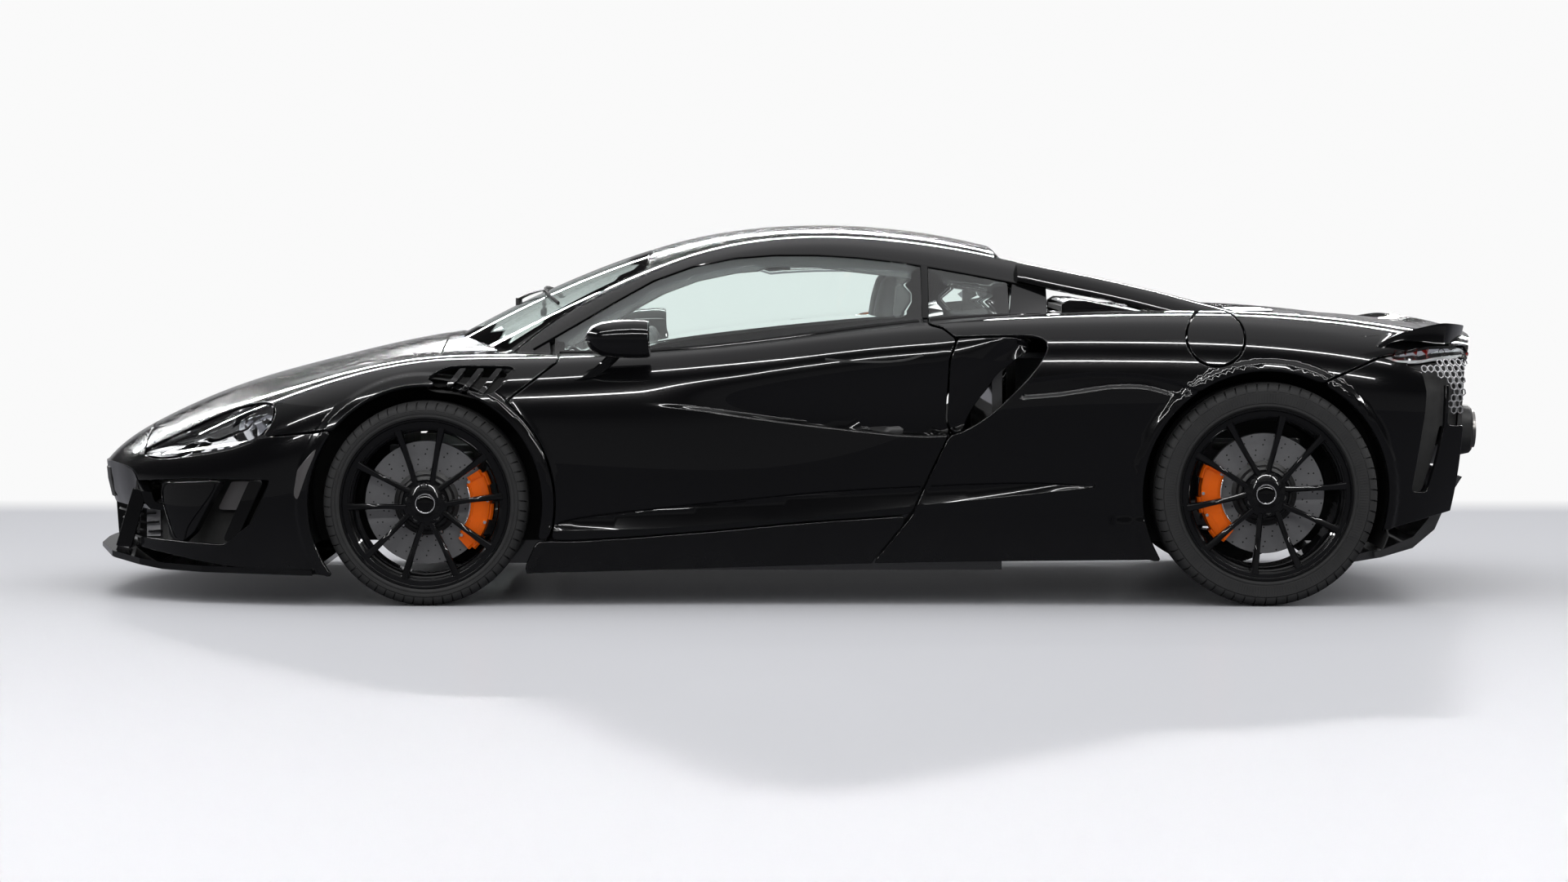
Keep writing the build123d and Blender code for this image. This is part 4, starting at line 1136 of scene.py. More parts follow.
@dataclass
class Repeater:
    """Repeats a small piece with Geometry Nodes and returns one plain mesh."""

    shop: Workshop

    def __post_init__(self) -> None:
        """Builds the two trees."""
        self.ring_tree = repeat_tree("ring of copies", True)
        self.mark_tree = repeat_tree("copies on marks", False)

    def _run(self, tree: bpy.types.NodeTree, carrier: bpy.types.Object, piece: Shape,
             finish: str, values: dict[str, float]) -> Shape:
        """Runs a tree on a carrier and reads the result back in millimetres."""
        source = self.shop.mesh(piece, carrier.name + "_piece")
        modifier = carrier.modifiers.new("copies", "NODES")
        modifier.node_group = tree
        sockets = {s.name: s.identifier for s in tree.interface.items_tree
                   if s.in_out == "INPUT"}
        modifier[sockets["Piece"]] = source
        modifier[sockets["Finish"]] = self.shop.finishes[finish]
        for name, value in values.items():
            modifier[sockets[name]] = value
        self.shop.settled(carrier)
        mesh = carrier.data
        points = np.zeros(len(mesh.vertices) * 3, np.float32)
        mesh.vertices.foreach_get("co", points)
        faces = [tuple(p.vertices) for p in mesh.polygons]
        shape = Shape(points.reshape(-1, 3).astype(float) / MM, faces)
        for thing in (carrier, source):
            bpy.data.objects.remove(thing)
        return shape

    def ring(self, piece: Shape, count: int, finish: str, radius: float = 0.0,
             first: float = 0.0) -> Shape:
        """Copies of a piece around the Y axis, the first at an angle in degrees.

        Args:
            piece: The piece, made as it stands on the +X side of the axis.
            count: How many copies there are.
            finish: Their finish.
            radius: How far each is moved out.
            first: The first copy's angle, rising towards +Z.

        Returns:
            All the copies as one shape.
        """
        carrier = self.shop.mesh(Shape(np.zeros((1, 3)), []), "ring_carrier")
        return self._run(self.ring_tree, carrier, piece, finish,
                         {"Count": count, "Radius": radius * MM, "First": -math.radians(first)})

    def marks(self, piece: Shape, places: Array, turns: Array, finish: str) -> Shape:
        """Copies of a piece at places in millimetres, each with its own Euler turn."""
        carrier = self.shop.mesh(Shape(places, []), "mark_carrier")
        turn = carrier.data.attributes.new("turn", "FLOAT_VECTOR", "POINT")
        turn.data.foreach_set("vector", np.asarray(turns, np.float32).ravel())
        return self._run(self.mark_tree, carrier, piece, finish, {})


# ---------------------------------------------------------------- body
# Each row is one rib of the half body, from the centreline down to the edge of the sill:
# centreline, mid bonnet, inner crest, crest, outer crest, upper side, waist, lower side, edge.
BODY_RIBS = np.array([
    [(-2262, 0, 425), (-2262, 180, 425), (-2205, 340, 424), (-2160, 450, 422), (-2118, 535, 414),
     (-2090, 585, 380), (-2085, 600, 320), (-2085, 602, 240), (-2085, 600, 165)],
    [(-2215, 0, 482), (-2215, 190, 482), (-2150, 370, 476), (-2095, 500, 468), (-2050, 610, 450),
     (-2020, 672, 405), (-2010, 690, 330), (-2010, 695, 240), (-2010, 690, 155)],
    [(-2080, 0, 562), (-2080, 210, 562), (-2020, 430, 548), (-1960, 590, 534), (-1915, 715, 508),
     (-1890, 780, 450), (-1880, 802, 350), (-1880, 806, 245), (-1880, 800, 135)],
    [(-1830, 0, 672), (-1830, 230, 670), (-1790, 480, 645), (-1750, 670, 628), (-1715, 805, 596),
     (-1700, 868, 520), (-1695, 888, 400), (-1695, 892, 260), (-1695, 884, 110)],
    [(-1560, 0, 744), (-1560, 240, 740), (-1545, 510, 706), (-1530, 715, 708), (-1515, 855, 678),
     (-1505, 920, 590), (-1500, 938, 440), (-1500, 942, 270), (-1500, 932, 100)],
    [(-1310, 0, 806), (-1310, 250, 800), (-1310, 530, 754), (-1305, 735, 768), (-1300, 878, 745),
     (-1300, 942, 640), (-1300, 954, 480), (-1300, 955, 290), (-1300, 942, 100)],
    [(-1100, 0, 846), (-1100, 260, 840), (-1100, 550, 774), (-1100, 745, 796), (-1100, 885, 776),
     (-1100, 948, 670), (-1100, 957, 500), (-1100, 957, 300), (-1100, 943, 100)],
    [(-850, 0, 868), (-850, 260, 862), (-850, 560, 786), (-850, 745, 790), (-850, 868, 776),
     (-850, 925, 680), (-850, 938, 510), (-850, 938, 300), (-850, 925, 105)],
    [(-500, 0, 870), (-500, 260, 864), (-500, 560, 800), (-500, 740, 796), (-500, 850, 786),
     (-500, 895, 690), (-500, 914, 520), (-500, 917, 310), (-500, 902, 112)],
    [(-100, 0, 880), (-100, 260, 874), (-100, 560, 830), (-100, 735, 836), (-100, 842, 820),
     (-100, 885, 715), (-100, 902, 540), (-100, 910, 320), (-100, 897, 125)],
    [(300, 0, 890), (300, 260, 886), (300, 560, 870), (300, 735, 892), (300, 850, 874),
     (300, 904, 760), (300, 916, 560), (300, 917, 330), (300, 902, 137)],
    [(650, 0, 895), (650, 260, 892), (650, 550, 885), (650, 740, 918), (650, 875, 900),
     (650, 936, 790), (650, 942, 580), (650, 932, 340), (650, 914, 143)],
    [(1000, 0, 900), (1000, 250, 898), (1000, 520, 895), (1000, 730, 932), (1000, 882, 912),
     (1000, 954, 800), (1000, 960, 600), (1000, 950, 350), (1000, 932, 147)],
    [(1350, 0, 905), (1350, 240, 903), (1350, 500, 898), (1350, 715, 938), (1350, 880, 916),
     (1350, 960, 805), (1350, 968, 610), (1350, 956, 360), (1350, 936, 150)],
    [(1600, 0, 908), (1600, 235, 906), (1600, 490, 895), (1600, 705, 928), (1600, 868, 900),
     (1600, 952, 790), (1600, 962, 600), (1600, 950, 380), (1600, 930, 180)],
    [(1850, 0, 905), (1850, 230, 903), (1850, 470, 886), (1850, 685, 900), (1850, 838, 870),
     (1850, 918, 762), (1850, 930, 590), (1850, 915, 400), (1850, 890, 230)],
    [(2060, 0, 872), (2060, 225, 872), (2050, 450, 862), (2045, 650, 862), (2035, 785, 832),
     (2025, 856, 720), (2020, 868, 560), (2015, 850, 400), (2005, 820, 270)],
    [(2215, 0, 850), (2215, 210, 850), (2200, 420, 844), (2180, 600, 836), (2155, 715, 800),
     (2140, 785, 690), (2130, 796, 540), (2120, 778, 400), (2100, 748, 290)],
], float)
# Each row is one rib of the half canopy: centreline, two roof points, rail, top of the side
# glass, middle of the side glass, and a point hidden inside the belt.
CANOPY_RIBS = np.array([
    [(-1150, 0, 800), (-1150, 220, 800), (-1060, 420, 765), (-975, 560, 745), (-915, 655, 730),
     (-860, 730, 725), (-815, 775, 715)],
    [(-1010, 0, 880), (-1010, 225, 880), (-940, 430, 845), (-870, 575, 812), (-820, 668, 775),
     (-785, 748, 750), (-760, 800, 730)],
    [(-800, 0, 985), (-800, 225, 984), (-752, 430, 955), (-700, 580, 922), (-668, 665, 868),
     (-645, 750, 800), (-625, 812, 740)],
    [(-520, 0, 1098), (-520, 225, 1096), (-495, 425, 1070), (-470, 575, 1042), (-455, 652, 985),
     (-440, 745, 870), (-430, 818, 755)],
    [(-250, 0, 1174), (-250, 225, 1172), (-245, 415, 1154), (-235, 565, 1132), (-230, 640, 1060),
     (-225, 735, 915), (-220, 815, 770)],
    [(50, 0, 1200), (50, 220, 1198), (50, 410, 1188), (50, 556, 1166), (50, 634, 1092),
     (50, 728, 945), (50, 812, 795)],
    [(350, 0, 1188), (350, 215, 1186), (350, 405, 1172), (350, 550, 1150), (350, 626, 1075),
     (350, 720, 955), (350, 806, 838)],
    [(600, 0, 1146), (600, 210, 1144), (600, 400, 1132), (600, 542, 1112), (600, 612, 1036),
     (600, 704, 945), (600, 796, 862)],
    [(820, 0, 1082), (820, 205, 1082), (820, 395, 1076), (820, 532, 1066), (820, 596, 985),
     (820, 680, 920), (820, 776, 875)],
], float)

FRONT_HUB = (-1145.0, 322.0)
REAR_HUB = (1495.0, 351.0)
FRONT_ARCH_R = 367.0
REAR_ARCH_R = 388.0
DOOR_BOTTOM = [(-760, 206), (-678, 205), (-486, 216), (-220, 237), (43, 262), (384, 286)]
DOOR_REAR = [(417, 365), (502, 544), (489, 583), (502, 775), (525, 838), (482, 873), (440, 884)]
DOOR_OPENING = [*arc(FRONT_HUB, 408, 51.7, -13), *DOOR_BOTTOM, *DOOR_REAR,
                (400, 1010), (-690, 1010), (-733, 766)]
SILL = [(-830, 40), (-830, 206), *DOOR_BOTTOM, (264, 140), (250, 40)]
HEADLAMP = [(-2085, 461), (-2046, 487), (-1942, 534), (-1812, 593), (-1708, 625), (-1643, 630),
            (-1627, 611), (-1635, 580), (-1669, 534), (-1760, 495), (-1890, 469), (-2020, 452)]
FRONT_BUMPER = [(-2400, 0), (-2400, 640), (-2092, 640), (-2085, 470), (-1890, 480), (-1669, 529),
                (-1440, 552), (-1440, 0)]
REAR_BUMPER = [(1640, 0), (1640, 690), (1865, 785), (2010, 792), (2400, 792), (2400, 0)]
TAIL_LAMP = [(1866, 785), (1953, 797), (2020, 808), (2150, 810), (2150, 784), (2040, 776),
             (1994, 768), (1914, 768)]
TAIL_GRILLE = [(1950, 755), (2060, 715), (2092, 690), (2086, 566), (2400, 566), (2400, 768),
               (2060, 768)]
TAIL_SLOT = [(1999, 729), (2056, 703), (2072, 686), (2066, 566), (2042, 458), (2012, 355),
             (1966, 358), (1986, 478), (2007, 610), (2012, 672)]
SIDE_INTAKE = [(-2140, 200), (-2110, 372), (-1900, 392), (-1640, 392), (-1700, 260), (-1790, 190)]
BONNET = [(-2098, 120), (-2080, 300), (-2010, 400), (-1800, 450), (-1500, 500), (-1250, 560),
          (-1122, 572)]
ENGINE_COVER = [(885, 470), (1450, 440), (1600, 390), (1690, 290)]
SIDE_GLASS_TOP = [(-881, 765), (-698, 870), (-541, 961), (-436, 1019), (-306, 1066), (-175, 1092),
                  (-44, 1102), (87, 1102), (217, 1094), (348, 1079), (479, 1058), (610, 1034),
                  (740, 1008), (850, 985)]
LEDGE = [(-470, 628), (-321, 616), (-28, 577), (197, 551), (366, 535), (478, 535), (534, 549),
         (584, 574)]
HAUNCH_EDGE = [(584, 574), (638, 614), (692, 664), (737, 709), (777, 758), (800, 798), (805, 825),
               (793, 838), (768, 845), (728, 849)]
SHOULDER = [(-520, 702), (-172, 738), (-44, 765), (212, 811), (468, 840), (728, 849)]
INTAKE_FIN = [(756, 822), (696, 769), (647, 726), (624, 688), (588, 642), (562, 598), (545, 556)]
LEAF_TOP = [(-800, 236), (-683, 276), (-427, 309), (-171, 335), (84, 360), (340, 376), (724, 391),
            (965, 384)]
LEAF_LOW = [(-800, 236), (-722, 238), (-427, 243), (-171, 261), (84, 281), (340, 309), (724, 350),
            (965, 378)]
TAIL_LEAF_TOP = [(940, 250), (1035, 284), (1125, 294)]
TAIL_LEAF_LOW = [(940, 248), (1035, 252), (1125, 262)]
RIBBON_TOP = [(749, 714), (852, 727), (942, 735), (1031, 735), (1121, 727), (1210, 707),
              (1290, 682)]
RIBBON_LOW = [(727, 651), (790, 656), (852, 662), (942, 676), (1031, 686), (1121, 682),
              (1202, 660)]
FUEL_FLAP = (1336.0, 846.0)
FUEL_FLAP_R = 92.0


def between(low: Spots, high: Spots) -> Callable[[Array], tuple[Array, Array, Array]]:
    """A function that gives each spot's distance to two lines and whether it lies between."""
    low_line, high_line = flowing(low), flowing(high)
    loop = np.vstack([low_line, high_line[::-1]])

    def place(spots: Array) -> tuple[Array, Array, Array]:
        """Each spot's distance to both lines, and whether it lies between them."""
        near = (spots[:, 0] > loop[:, 0].min() - 60) & (spots[:, 0] < loop[:, 0].max() + 60)
        below, above = np.full(len(spots), 1e3), np.full(len(spots), 1e3)
        held = np.zeros(len(spots), bool)
        if near.any():
            below[near], above[near] = gap_to(low_line, spots[near]), gap_to(high_line, spots[near])
            held[near] = inside(loop, spots[near])
        return below, above, held
    return place


@dataclass
class BodyForms:
    """The creases and hollows pressed into the sides of the body."""

    scallop_depth: float = 74.0
    ledge_width: float = 15.0
    leaf_depth: float = 15.0
    ribbon_depth: float = 8.0
    arch_swell: float = 9.0

    def __post_init__(self) -> None:
        """Prepares the areas between the feature lines."""
        edge = [*LEDGE, *HAUNCH_EDGE[1:]]
        self.scallop_place = between(edge, [*SHOULDER[:-1], HAUNCH_EDGE[-1]])
        self.leaf_place = between(LEAF_LOW, LEAF_TOP)
        self.tail_leaf_place = between(TAIL_LEAF_LOW, TAIL_LEAF_TOP)
        self.ribbon_place = between(RIBBON_LOW, RIBBON_TOP)

    def scallop(self, points: Array) -> Array:
        """The hollow above the door's ledge, deeper towards the intake behind it."""
        spots = points[:, [0, 2]]
        low, high, held = self.scallop_place(spots)
        deep = self.scallop_depth * smooth_step((spots[:, 0] + 480) / 1080)
        share = low / (low + high + 1e-6)
        form = smooth_step(low / self.ledge_width) * (0.5 + 0.5 * np.cos(np.pi * share))
        return np.where(held, -deep * form, 0.0) * self.on_side(points)

    def leaf(self, points: Array) -> Array:
        """The long leaf above the sill and the short one before the rear wheel."""
        total = np.zeros(len(points))
        for place, depth in ((self.leaf_place, self.leaf_depth), (self.tail_leaf_place, 9.0)):
            low, high, held = place(points[:, [0, 2]])
            share = low / (low + high + 1e-6)
            form = smooth_step(high / 9.0) * share ** 0.9 * smooth_step((low + high) / 26)
            total -= np.where(held, depth * form, 0.0)
        return total * self.on_side(points)

    def ribbon(self, points: Array) -> Array:
        """The shallow channel that runs back over the haunch."""
        low, high, held = self.ribbon_place(points[:, [0, 2]])
        form = smooth_step(low / 13) * smooth_step(high / 13)
        return np.where(held, -self.ribbon_depth * form, 0.0) * self.on_side(points)

    def arches(self, points: Array) -> Array:
        """The swell around the wheel arches."""
        total = np.zeros(len(points))
        for hub, radius, reach in ((FRONT_HUB, FRONT_ARCH_R, 26.0), (REAR_HUB, REAR_ARCH_R, 20.0)):
            gap = np.hypot(points[:, 0] - hub[0], points[:, 2] - hub[1]) - radius
            total += self.arch_swell * (1 - smooth_step((gap - reach) / 22)) * (gap > -30)
        return total * self.on_side(points)

    @staticmethod
    def on_side(points: Array) -> Array:
        """One on the car's sides, fading to zero towards the middle."""
        return smooth_step((np.abs(points[:, 1]) - 560) / 120)

    def all(self) -> list[Field]:
        """Every form."""
        return [self.scallop, self.leaf, self.ribbon, self.arches]


@dataclass
class BodyShell:
    """The painted panels, cut from one skin so that their highlights run on across the gaps."""

    shop: Workshop
    half_gap: float = 2.6
    roll: float = 3.0
    arch_roll: float = 7.0
    forms: BodyForms = field(default_factory=BodyForms)

    def __post_init__(self) -> None:
        """Makes the two skins and the shared areas."""
        self.skin = Skin(BODY_RIBS, 4600.0, 1640.0, self.forms.all())
        self.canopy = Skin(CANOPY_RIBS, 2050.0, 1010.0)
        self.maker = PanelMaker(self.skin)
        self.cabin_tree = self.tree_of(self.canopy, 90, 50)
        self.body_tree = self.tree_of(self.skin, 150, 60)
        self.door_area = side_area(DOOR_OPENING, 500)
        self.sill_area = side_area(SILL, 500)
        self.lamp_area = side_area(flowing(HEADLAMP, 14, True), 380)
        self.tail_lamp_area = side_area(TAIL_LAMP, 500)
        self.nose_area = side_area(FRONT_BUMPER, -1)
        self.tail_area = side_area(REAR_BUMPER, -1)
        self.bonnet_area = plan_area(flowing(BONNET, 25))
        self.deck_area = plan_area(ENGINE_COVER)
        edge = np.vstack([flowing([*LEDGE, *HAUNCH_EDGE[1:]], 10), flowing(SHOULDER, 14)[::-1]])
        self.scallop_area = side_area(edge, 500)
        self.guides = self.form_guides()

    @staticmethod
    def tree_of(skin: Skin, rows: int, columns: int) -> BVHTree:
        """A search tree over a plain half skin."""
        u, v = np.meshgrid(np.linspace(0, 1, rows), np.linspace(0, 1, columns), indexing="ij")
        points = skin.base(np.stack([u.ravel(), v.ravel()], 1))
        ids = np.arange(rows * columns).reshape(rows, columns)
        faces = np.stack([ids[:-1, :-1].ravel(), ids[1:, :-1].ravel(), ids[1:, 1:].ravel(),
                          ids[:-1, 1:].ravel()], 1)
        return BVHTree.FromPolygons(points.tolist(), faces.tolist())

    @staticmethod
    def height_over(tree: BVHTree, points: Array, reach: float = 260.0) -> Array:
        """The distance of points from a skin, below zero where the skin lies above them."""
        result = np.full(len(points), reach)
        for n, (x, y, z) in enumerate(points.tolist()):
            here = Vector((x, abs(y) + 0.05, z))
            spot, _, _, gap = tree.find_nearest(here, reach)
            if spot is not None:
                covered = tree.ray_cast(here, Vector((0, 0, 1)))[0] is not None
                result[n] = -gap if covered else gap
        return result

    def clear_of_cabin(self, margin: float) -> Field:
        """The area outside the canopy by a margin."""
        def depth(points: Array) -> Array:
            """The height over the canopy, less the margin."""
            result = np.full(len(points), 260.0)
            near = (points[:, 0] > -1350) & (points[:, 0] < 1000) & (points[:, 2] > 620)
            result[near] = self.height_over(self.cabin_tree, points[near]) - margin
            return result
        return depth

    def arch_gap(self, points: Array) -> Array:
        """The distance outside the nearest wheel arch."""
        gaps = [np.hypot(points[:, 0] - hub[0], points[:, 2] - hub[1]) - radius
                for hub, radius in ((FRONT_HUB, FRONT_ARCH_R), (REAR_HUB, REAR_ARCH_R))]
        return np.where(np.abs(points[:, 1]) > 520, np.minimum(*gaps), 500.0)

    def form_guides(self) -> list[Guide]:
        """Mesh lines along the ledge, the leaf and the ribbon."""
        def along(line: Spots, margin: float = 60.0) -> Field:
            """The signed distance from a line of the side view."""
            path = flowing(line)
            loop = np.vstack([path, [path[-1, 0], path[:, 1].max() + 600],
                              [path[0, 0], path[:, 1].max() + 600]])

            def height(points: Array) -> Array:
                """The distance of each point, positive above the line."""
                spots = points[:, [0, 2]]
                held = (spots[:, 0] > path[:, 0].min() - margin) & (
                    spots[:, 0] < path[:, 0].max() + margin)
                value = np.full(len(points), 400.0)
                value[held] = gap_to(path, spots[held])
                value[held] *= np.where(inside(loop, spots[held]), 1, -1)
                return value
            return height

        def near(low: float, high: float) -> Field:
            """The stretch of the side between two places along the car."""
            return lambda points: np.minimum(np.minimum(points[:, 0] - low, high - points[:, 0]),
                                             np.abs(points[:, 1]) - 600)
        return [Guide(along(LEDGE), (-3, 0.5, 4, 8, 12, 17, 24), near(-460, 575)),
                Guide(along(LEAF_TOP), (-9, -5, -1, 4), near(-770, 950)),
                Guide(along(LEAF_LOW), (-3, 1, 5), near(-770, 950)),
                Guide(along(RIBBON_TOP), (-13, -8, -3, 2), near(752, 1280)),
                Guide(along(RIBBON_LOW), (-2, 3, 8, 13), near(730, 1195))]

    def within(self, *areas: Field) -> Field:
        """The area shared by several, each drawn in by the gap and the rolled edge."""
        margin = self.half_gap + self.roll

        def depth(points: Array) -> Array:
            """The least depth in any of the areas, less the margin."""
            return np.minimum.reduce([area(points) - margin for area in areas])
        return depth

    def with_arches(self, area: Field) -> Field:
        """An area cut by the wheel arches."""
        return lambda points: np.minimum(area(points), self.arch_gap(points) - self.arch_roll)

    def roll_of(self, points: Array) -> Array:
        """The radius of the rolled edge, larger along the arches."""
        near = np.abs(self.arch_gap(points) - self.arch_roll) < 12
        return np.where(near, self.arch_roll, self.roll)

    def panel(self, area: Field, name: str, body: str, nodes: Sequence[str], mirror: bool = True,
              guides: bool = True, side: Side | None = None, wall: float = 12.0,
              grain: float | None = None, finish: str = "paint",
              extra: Sequence[Shape] = ()) -> bpy.types.Object:
        """Cuts one panel and finishes it."""
        shape = self.maker.cut(area, self.guides if guides else (), self.roll, wall, grain,
                               mirror, self.roll_of)
        if side is not None:
            shape = shape.on(side)
        elif not mirror:
            shape = joined([shape, shape.mirrored()])
        if extra:
            shape = joined([shape, *extra])
        return self.shop.fit(shape, name, body, finish, slot="paint", replaces=nodes, sharp=None)

    def build(self) -> None:
        """Makes every painted panel."""
        cabin = self.clear_of_cabin(1.0)
        lid = self.bonnet_area
        self.doors(self.with_arches(self.within(self.door_area, cabin)))
        self.panel(self.within(lid), "bonnet_skin", "bonnet", ("bonnet",), guides=False)
        fixed = [outside_of(area) for area in (self.door_area, self.sill_area)]
        front = self.within(*fixed, outside_of(lid), outside_of(self.lamp_area),
                            outside_of(self.nose_area), cabin,
                            outside_of(side_area(self.vent_outline(), 500)),
                            lambda points: -600 - points[:, 0])
        self.panel(self.with_arches(front), "front_clam_skin", "root", ("front_clam",),
                   guides=False)
        rear = self.within(*fixed, outside_of(self.deck_area), outside_of(self.tail_lamp_area),
                           outside_of(self.tail_area), cabin, outside_of(self.scallop_area),
                           outside_of(side_area(self.flap_outline(), 500)),
                           lambda points: points[:, 0])
        self.panel(self.with_arches(rear), "rear_clam_skin", "root", ("rear_clam",))
        floor = self.within(*fixed, self.scallop_area, side_area(self.floor_outline(), 500))
        self.panel(floor, "intake_floor_skin", "root", (), mirror=False)
        flap = self.within(side_area(self.flap_outline(), 500))
        self.panel(flap, "fuel_flap", "root", (), mirror=False, side=Side.LEFT, guides=False)
        self.panel(flap, "flank_disc", "root", (), mirror=False, side=Side.RIGHT, guides=False)
        self.panel(self.with_arches(self.within(self.sill_area)), "sill_skins", "root",
                   ("sills",), mirror=False)
        nose = self.within(self.nose_area, outside_of(self.lamp_area), outside_of(lid),
                           outside_of(side_area(SIDE_INTAKE, 400)))
        self.panel(self.with_arches(nose), "front_bumper_skin", "root", ("front_bumper",),
                   guides=False)
        tail = self.within(self.tail_area, outside_of(self.tail_lamp_area),
                           *(outside_of(side_area(flat, 500)) for flat in (TAIL_GRILLE, TAIL_SLOT)))
        self.panel(self.with_arches(tail), "rear_bumper_skin", "root", ("rear_bumper",),
                   guides=False)

    def doors(self, area: Field) -> None:
        """The doors: a painted skin, a deep frame behind it and a trimmed card inside."""
        layers = (("skin", 0.0, 0.0, 12.0, "paint", self.guides),
                  ("frame", 36.0, 12.0, 44.0, "trim", ()),
                  ("card", 62.0, 58.0, 8.0, "leather", ()))
        for name, inset, sink, wall, finish, guides in layers:
            shape = self.maker.cut(lambda points, inset=inset: area(points) - inset, guides,
                                   self.roll, wall, roll_of=self.roll_of, sink=sink,
                                   grain=None if guides else 34.0)
            for side in Side:
                replaced = (f"door_{side.word}_shell",) if name == "frame" else ()
                self.shop.fit(shape.on(side), f"door_{side.word}_{name}", f"door_{side.word}",
                              finish, None, replaced, None)

    @staticmethod
    def vent_outline() -> Array:
        """The louvred opening behind the top of the front arch."""
        return flowing([(-1131, 708), (-1105, 735), (-1061, 749), (-950, 750), (-868, 744),
                        (-905, 700), (-950, 668), (-1043, 690)], 12, True)

    @staticmethod
    def flap_outline() -> Array:
        """The round flap on the rear wing."""
        return np.array(arc(FUEL_FLAP, FUEL_FLAP_R, 0, 354, 60))

    @staticmethod
    def floor_outline() -> Spots:
        """The part of the hollow between the door and the fin of the intake."""
        return [(480, 480), (530, 520), *flowing(INTAKE_FIN[::-1], 14), (740, 900), (480, 900)]


# ---------------------------------------------------------------- canopy
SCREEN = [(-1320, 640), (-960, 606), (-800, 566), (-455, 505)]
QUARTER_CLEAR = [(480, 935), (470, 985), (490, 1008), (560, 1008), (640, 985), (668, 962),
                 (655, 945), (600, 932)]


